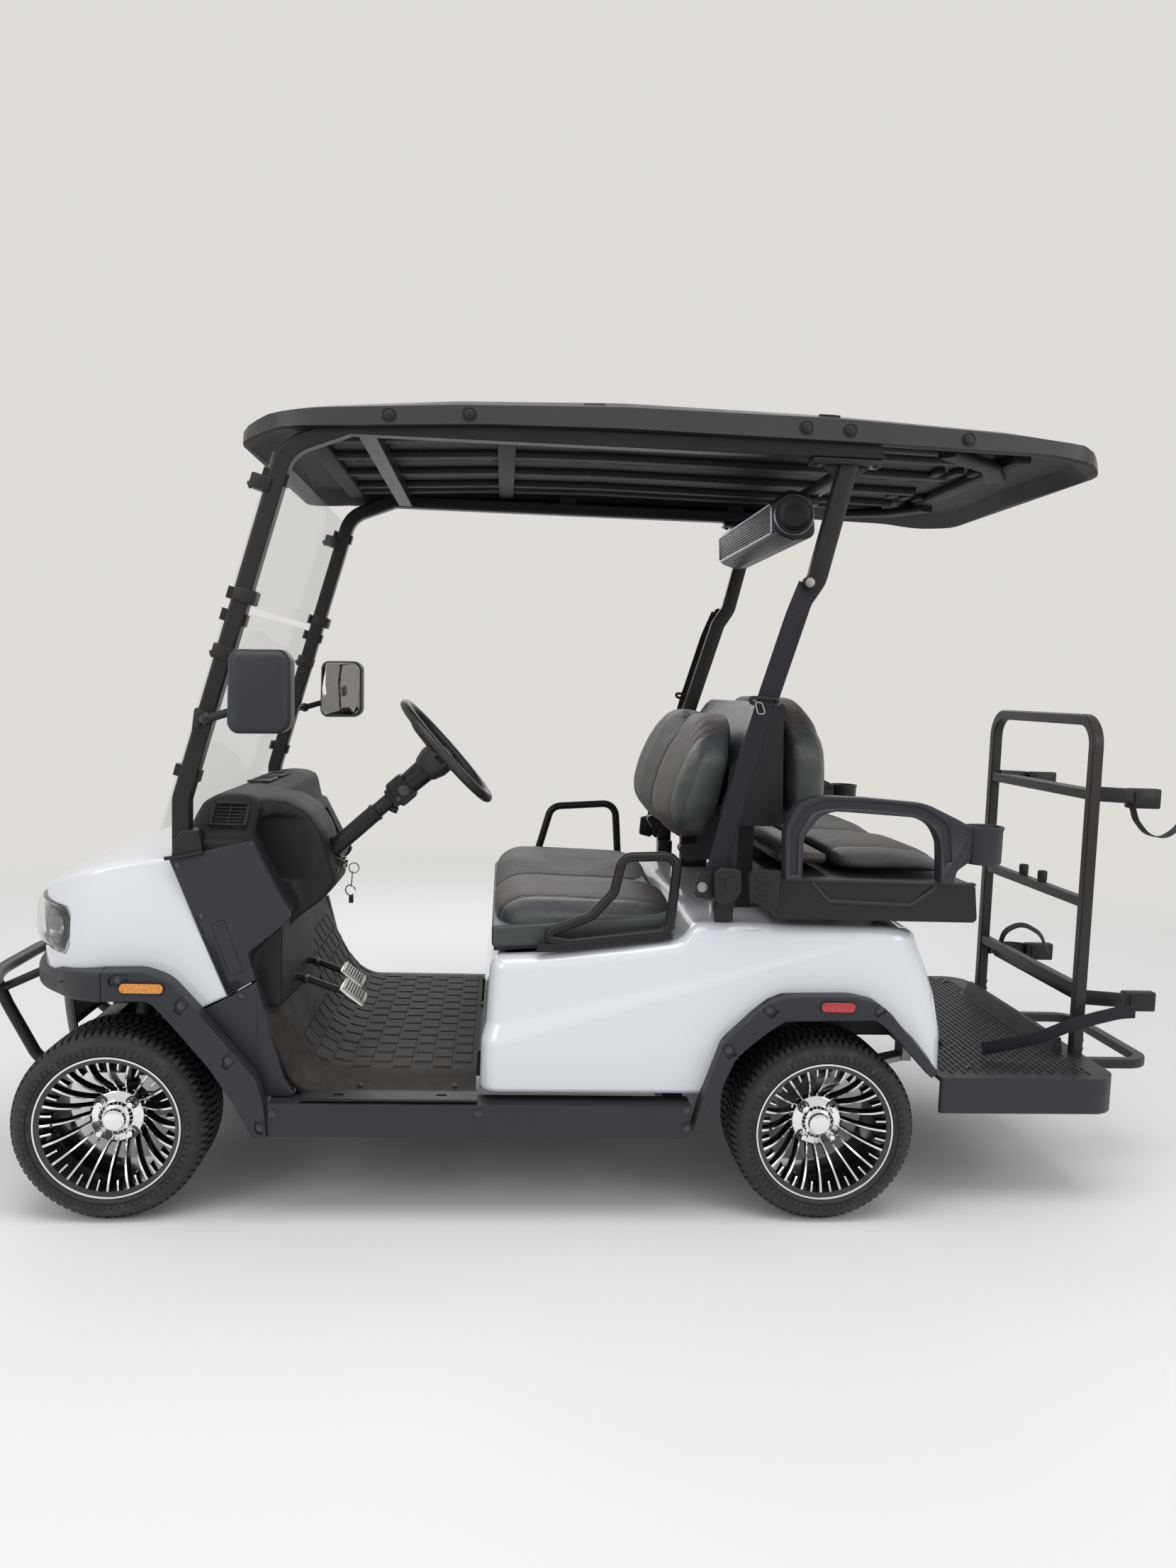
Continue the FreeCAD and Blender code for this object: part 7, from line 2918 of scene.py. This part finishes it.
@dataclass
class Studio:
    """Pale floor, soft light and the camera at the photograph's angle."""

    spot: tuple[float, float, float] = (0.80965, 3.2644, 1.28957)
    yaw: float = 0.0751728
    pitch: float = 0.0841468
    roll: float = 0.0340124
    focal_pixels: float = 1623.36
    picture_height: float = 2212.0
    sensor: float = 36.0
    floor_half: float = 20000.0
    floor_fade: tuple[float, float] = (2.2, 6.5)
    floor_colour: tuple[float, float, float] = (0.84, 0.83, 0.81)
    fill_sky: tuple[tuple[float, float, float], float] = ((0.93, 0.95, 1.0), 0.62)
    seen_sky: tuple[tuple[float, float, float], float] = ((0.74, 0.72, 0.69), 1.0)

    def camera(self) -> None:
        """Camera with the fitted lens, place and tilt."""
        data = bpy.data.cameras.new("camera")
        data.sensor_width = self.sensor
        data.lens = self.focal_pixels / self.picture_height * data.sensor_width
        camera = placed("camera", data)
        base = Matrix(((-1, 0, 0), (0, 0, -1), (0, -1, 0)))
        look = Matrix.Rotation(self.roll, 3, "Z") @ Matrix.Rotation(self.pitch, 3, "X") @ base
        look = look @ Matrix.Rotation(self.yaw, 3, "Z")
        right, down, ahead = look
        turn = Matrix((right, -down, -ahead)).transposed().to_4x4()
        spot = (REAR_AXLE + self.spot[0], *self.spot[1:])
        camera.matrix_world = Matrix.Translation(spot) @ turn
        bpy.context.scene.camera = camera

    def floor(self) -> None:
        """Large pale floor."""
        form = Form()
        form.skin(1, 1, lambda u, v: Vector((2 * u - 1, 2 * v - 1, 0)) * self.floor_half)
        form.turn(TO_ROW)
        mesh = form.mesh("floor")
        floor = placed("floor", mesh)
        recipe = Recipe("pale_floor")
        away = recipe.node("ShaderNodeVectorMath", {"operation": "LENGTH"}, {0: recipe.place})
        fade = 1.0 - Signal(recipe, away.outputs["Value"]).step(*self.floor_fade)
        mesh.materials.append(recipe.surface(Base_Color=self.floor_colour, Roughness=0.6, Alpha=fade))

    def lights(self) -> None:
        """Soft boxes above and in front, with a pale world."""
        world = bpy.data.worlds.new("studio")
        bpy.context.scene.world = world
        world.use_nodes = True
        tree = world.node_tree
        tree.nodes.clear()
        output = tree.nodes.new("ShaderNodeOutputWorld")
        mix = tree.nodes.new("ShaderNodeMixShader")
        path = tree.nodes.new("ShaderNodeLightPath")
        seen, more = (tree.nodes.new("ShaderNodeMath") for _ in range(2))
        seen.operation = more.operation = "MAXIMUM"
        shade = [tree.nodes.new("ShaderNodeBackground") for _ in range(2)]
        for node, (colour, strength) in zip(shade, (self.fill_sky, self.seen_sky)):
            node.inputs[0].default_value = (*colour, 1)
            node.inputs[1].default_value = strength
        tree.links.new(path.outputs["Is Camera Ray"], seen.inputs[0])
        tree.links.new(path.outputs["Is Transmission Ray"], seen.inputs[1])
        tree.links.new(seen.outputs[0], more.inputs[0])
        tree.links.new(path.outputs["Is Glossy Ray"], more.inputs[1])
        tree.links.new(more.outputs[0], mix.inputs[0])
        tree.links.new(shade[0].outputs[0], mix.inputs[1])
        tree.links.new(shade[1].outputs[0], mix.inputs[2])
        tree.links.new(mix.outputs[0], output.inputs[0])
        boxes = (((0.3, 1.6, 4.4), (0.2, 0.3, 0.6), (4.5, 2.2), 95.0),
                 ((3.6, 3.4, 2.6), (0.8, 0.2, 0.8), (2.4, 2.0), 42.0),
                 ((-3.6, 3.0, 2.4), (-0.8, 0.2, 0.8), (2.4, 2.0), 38.0),
                 ((0.2, -3.8, 3.0), (0, 0, 0.9), (4.0, 2.0), 50.0))
        for number, (spot, aim, size, power) in enumerate(boxes):
            data = bpy.data.lights.new(f"soft_box_{number}", "AREA")
            data.shape = "RECTANGLE"
            data.size, data.size_y = size
            data.energy = power
            lamp = placed(data.name, data)
            lamp.location = spot
            lamp.rotation_euler = (Vector(aim) - Vector(spot)).to_track_quat("-Z", "Y").to_euler()

    def build(self) -> None:
        """Sets the stage."""
        self.camera()
        self.floor()
        self.lights()
        bpy.context.scene.view_settings.view_transform = "Standard"


NODE_FINISHES = {
    CHARCOAL: ("sills", "footplate"),
    BLACK_TUBE: ("roof_frame", "brush_guard", "front_suspension", "frame"),
    BROWN_BLACK_TUBE: ("bag_rack", "rear_bumper"),
    BLACK_MOULDING: ("seat_back_shell", "rear_seat_base", "battery_pack"),
    STEEL: ("knuckle_left", "knuckle_right", "rear_axle", "rear_springs"),
    GLASS: ("windshield",),
}


def dress_nodes() -> None:
    """Gives the frame's own nodes their finishes."""
    for finish, names in NODE_FINISHES.items():
        for name in names:
            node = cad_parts[name]
            for slot in node.material_slots:
                slot.material = finish.material()


def main() -> None:
    """Builds the cart and the studio."""
    logging.basicConfig(level=logging.INFO, format="%(message)s")
    Studio().build()
    dress_nodes()
    corners = (("front_left", Body.WHEEL_FL, WHEELBASE, 1), ("front_right", Body.WHEEL_FR, WHEELBASE, -1),
               ("rear_left", Body.WHEEL_RL, 0.0, 1), ("rear_right", Body.WHEEL_RR, 0.0, -1))
    for corner, body, axle_x, side in corners:
        Wheel(corner, body, axle_x, side).build()
    FrontBody().build()
    Dash().build()
    Footwell().build()
    RearBody().build()
    Canopy().build()
    RoofFittings().build()
    Tubes().build()
    Belts().build()
    Armrests().build()
    Tail().build()
    Seats().build()
    bpy.context.view_layer.update()


if __name__ == "__main__":
    main()
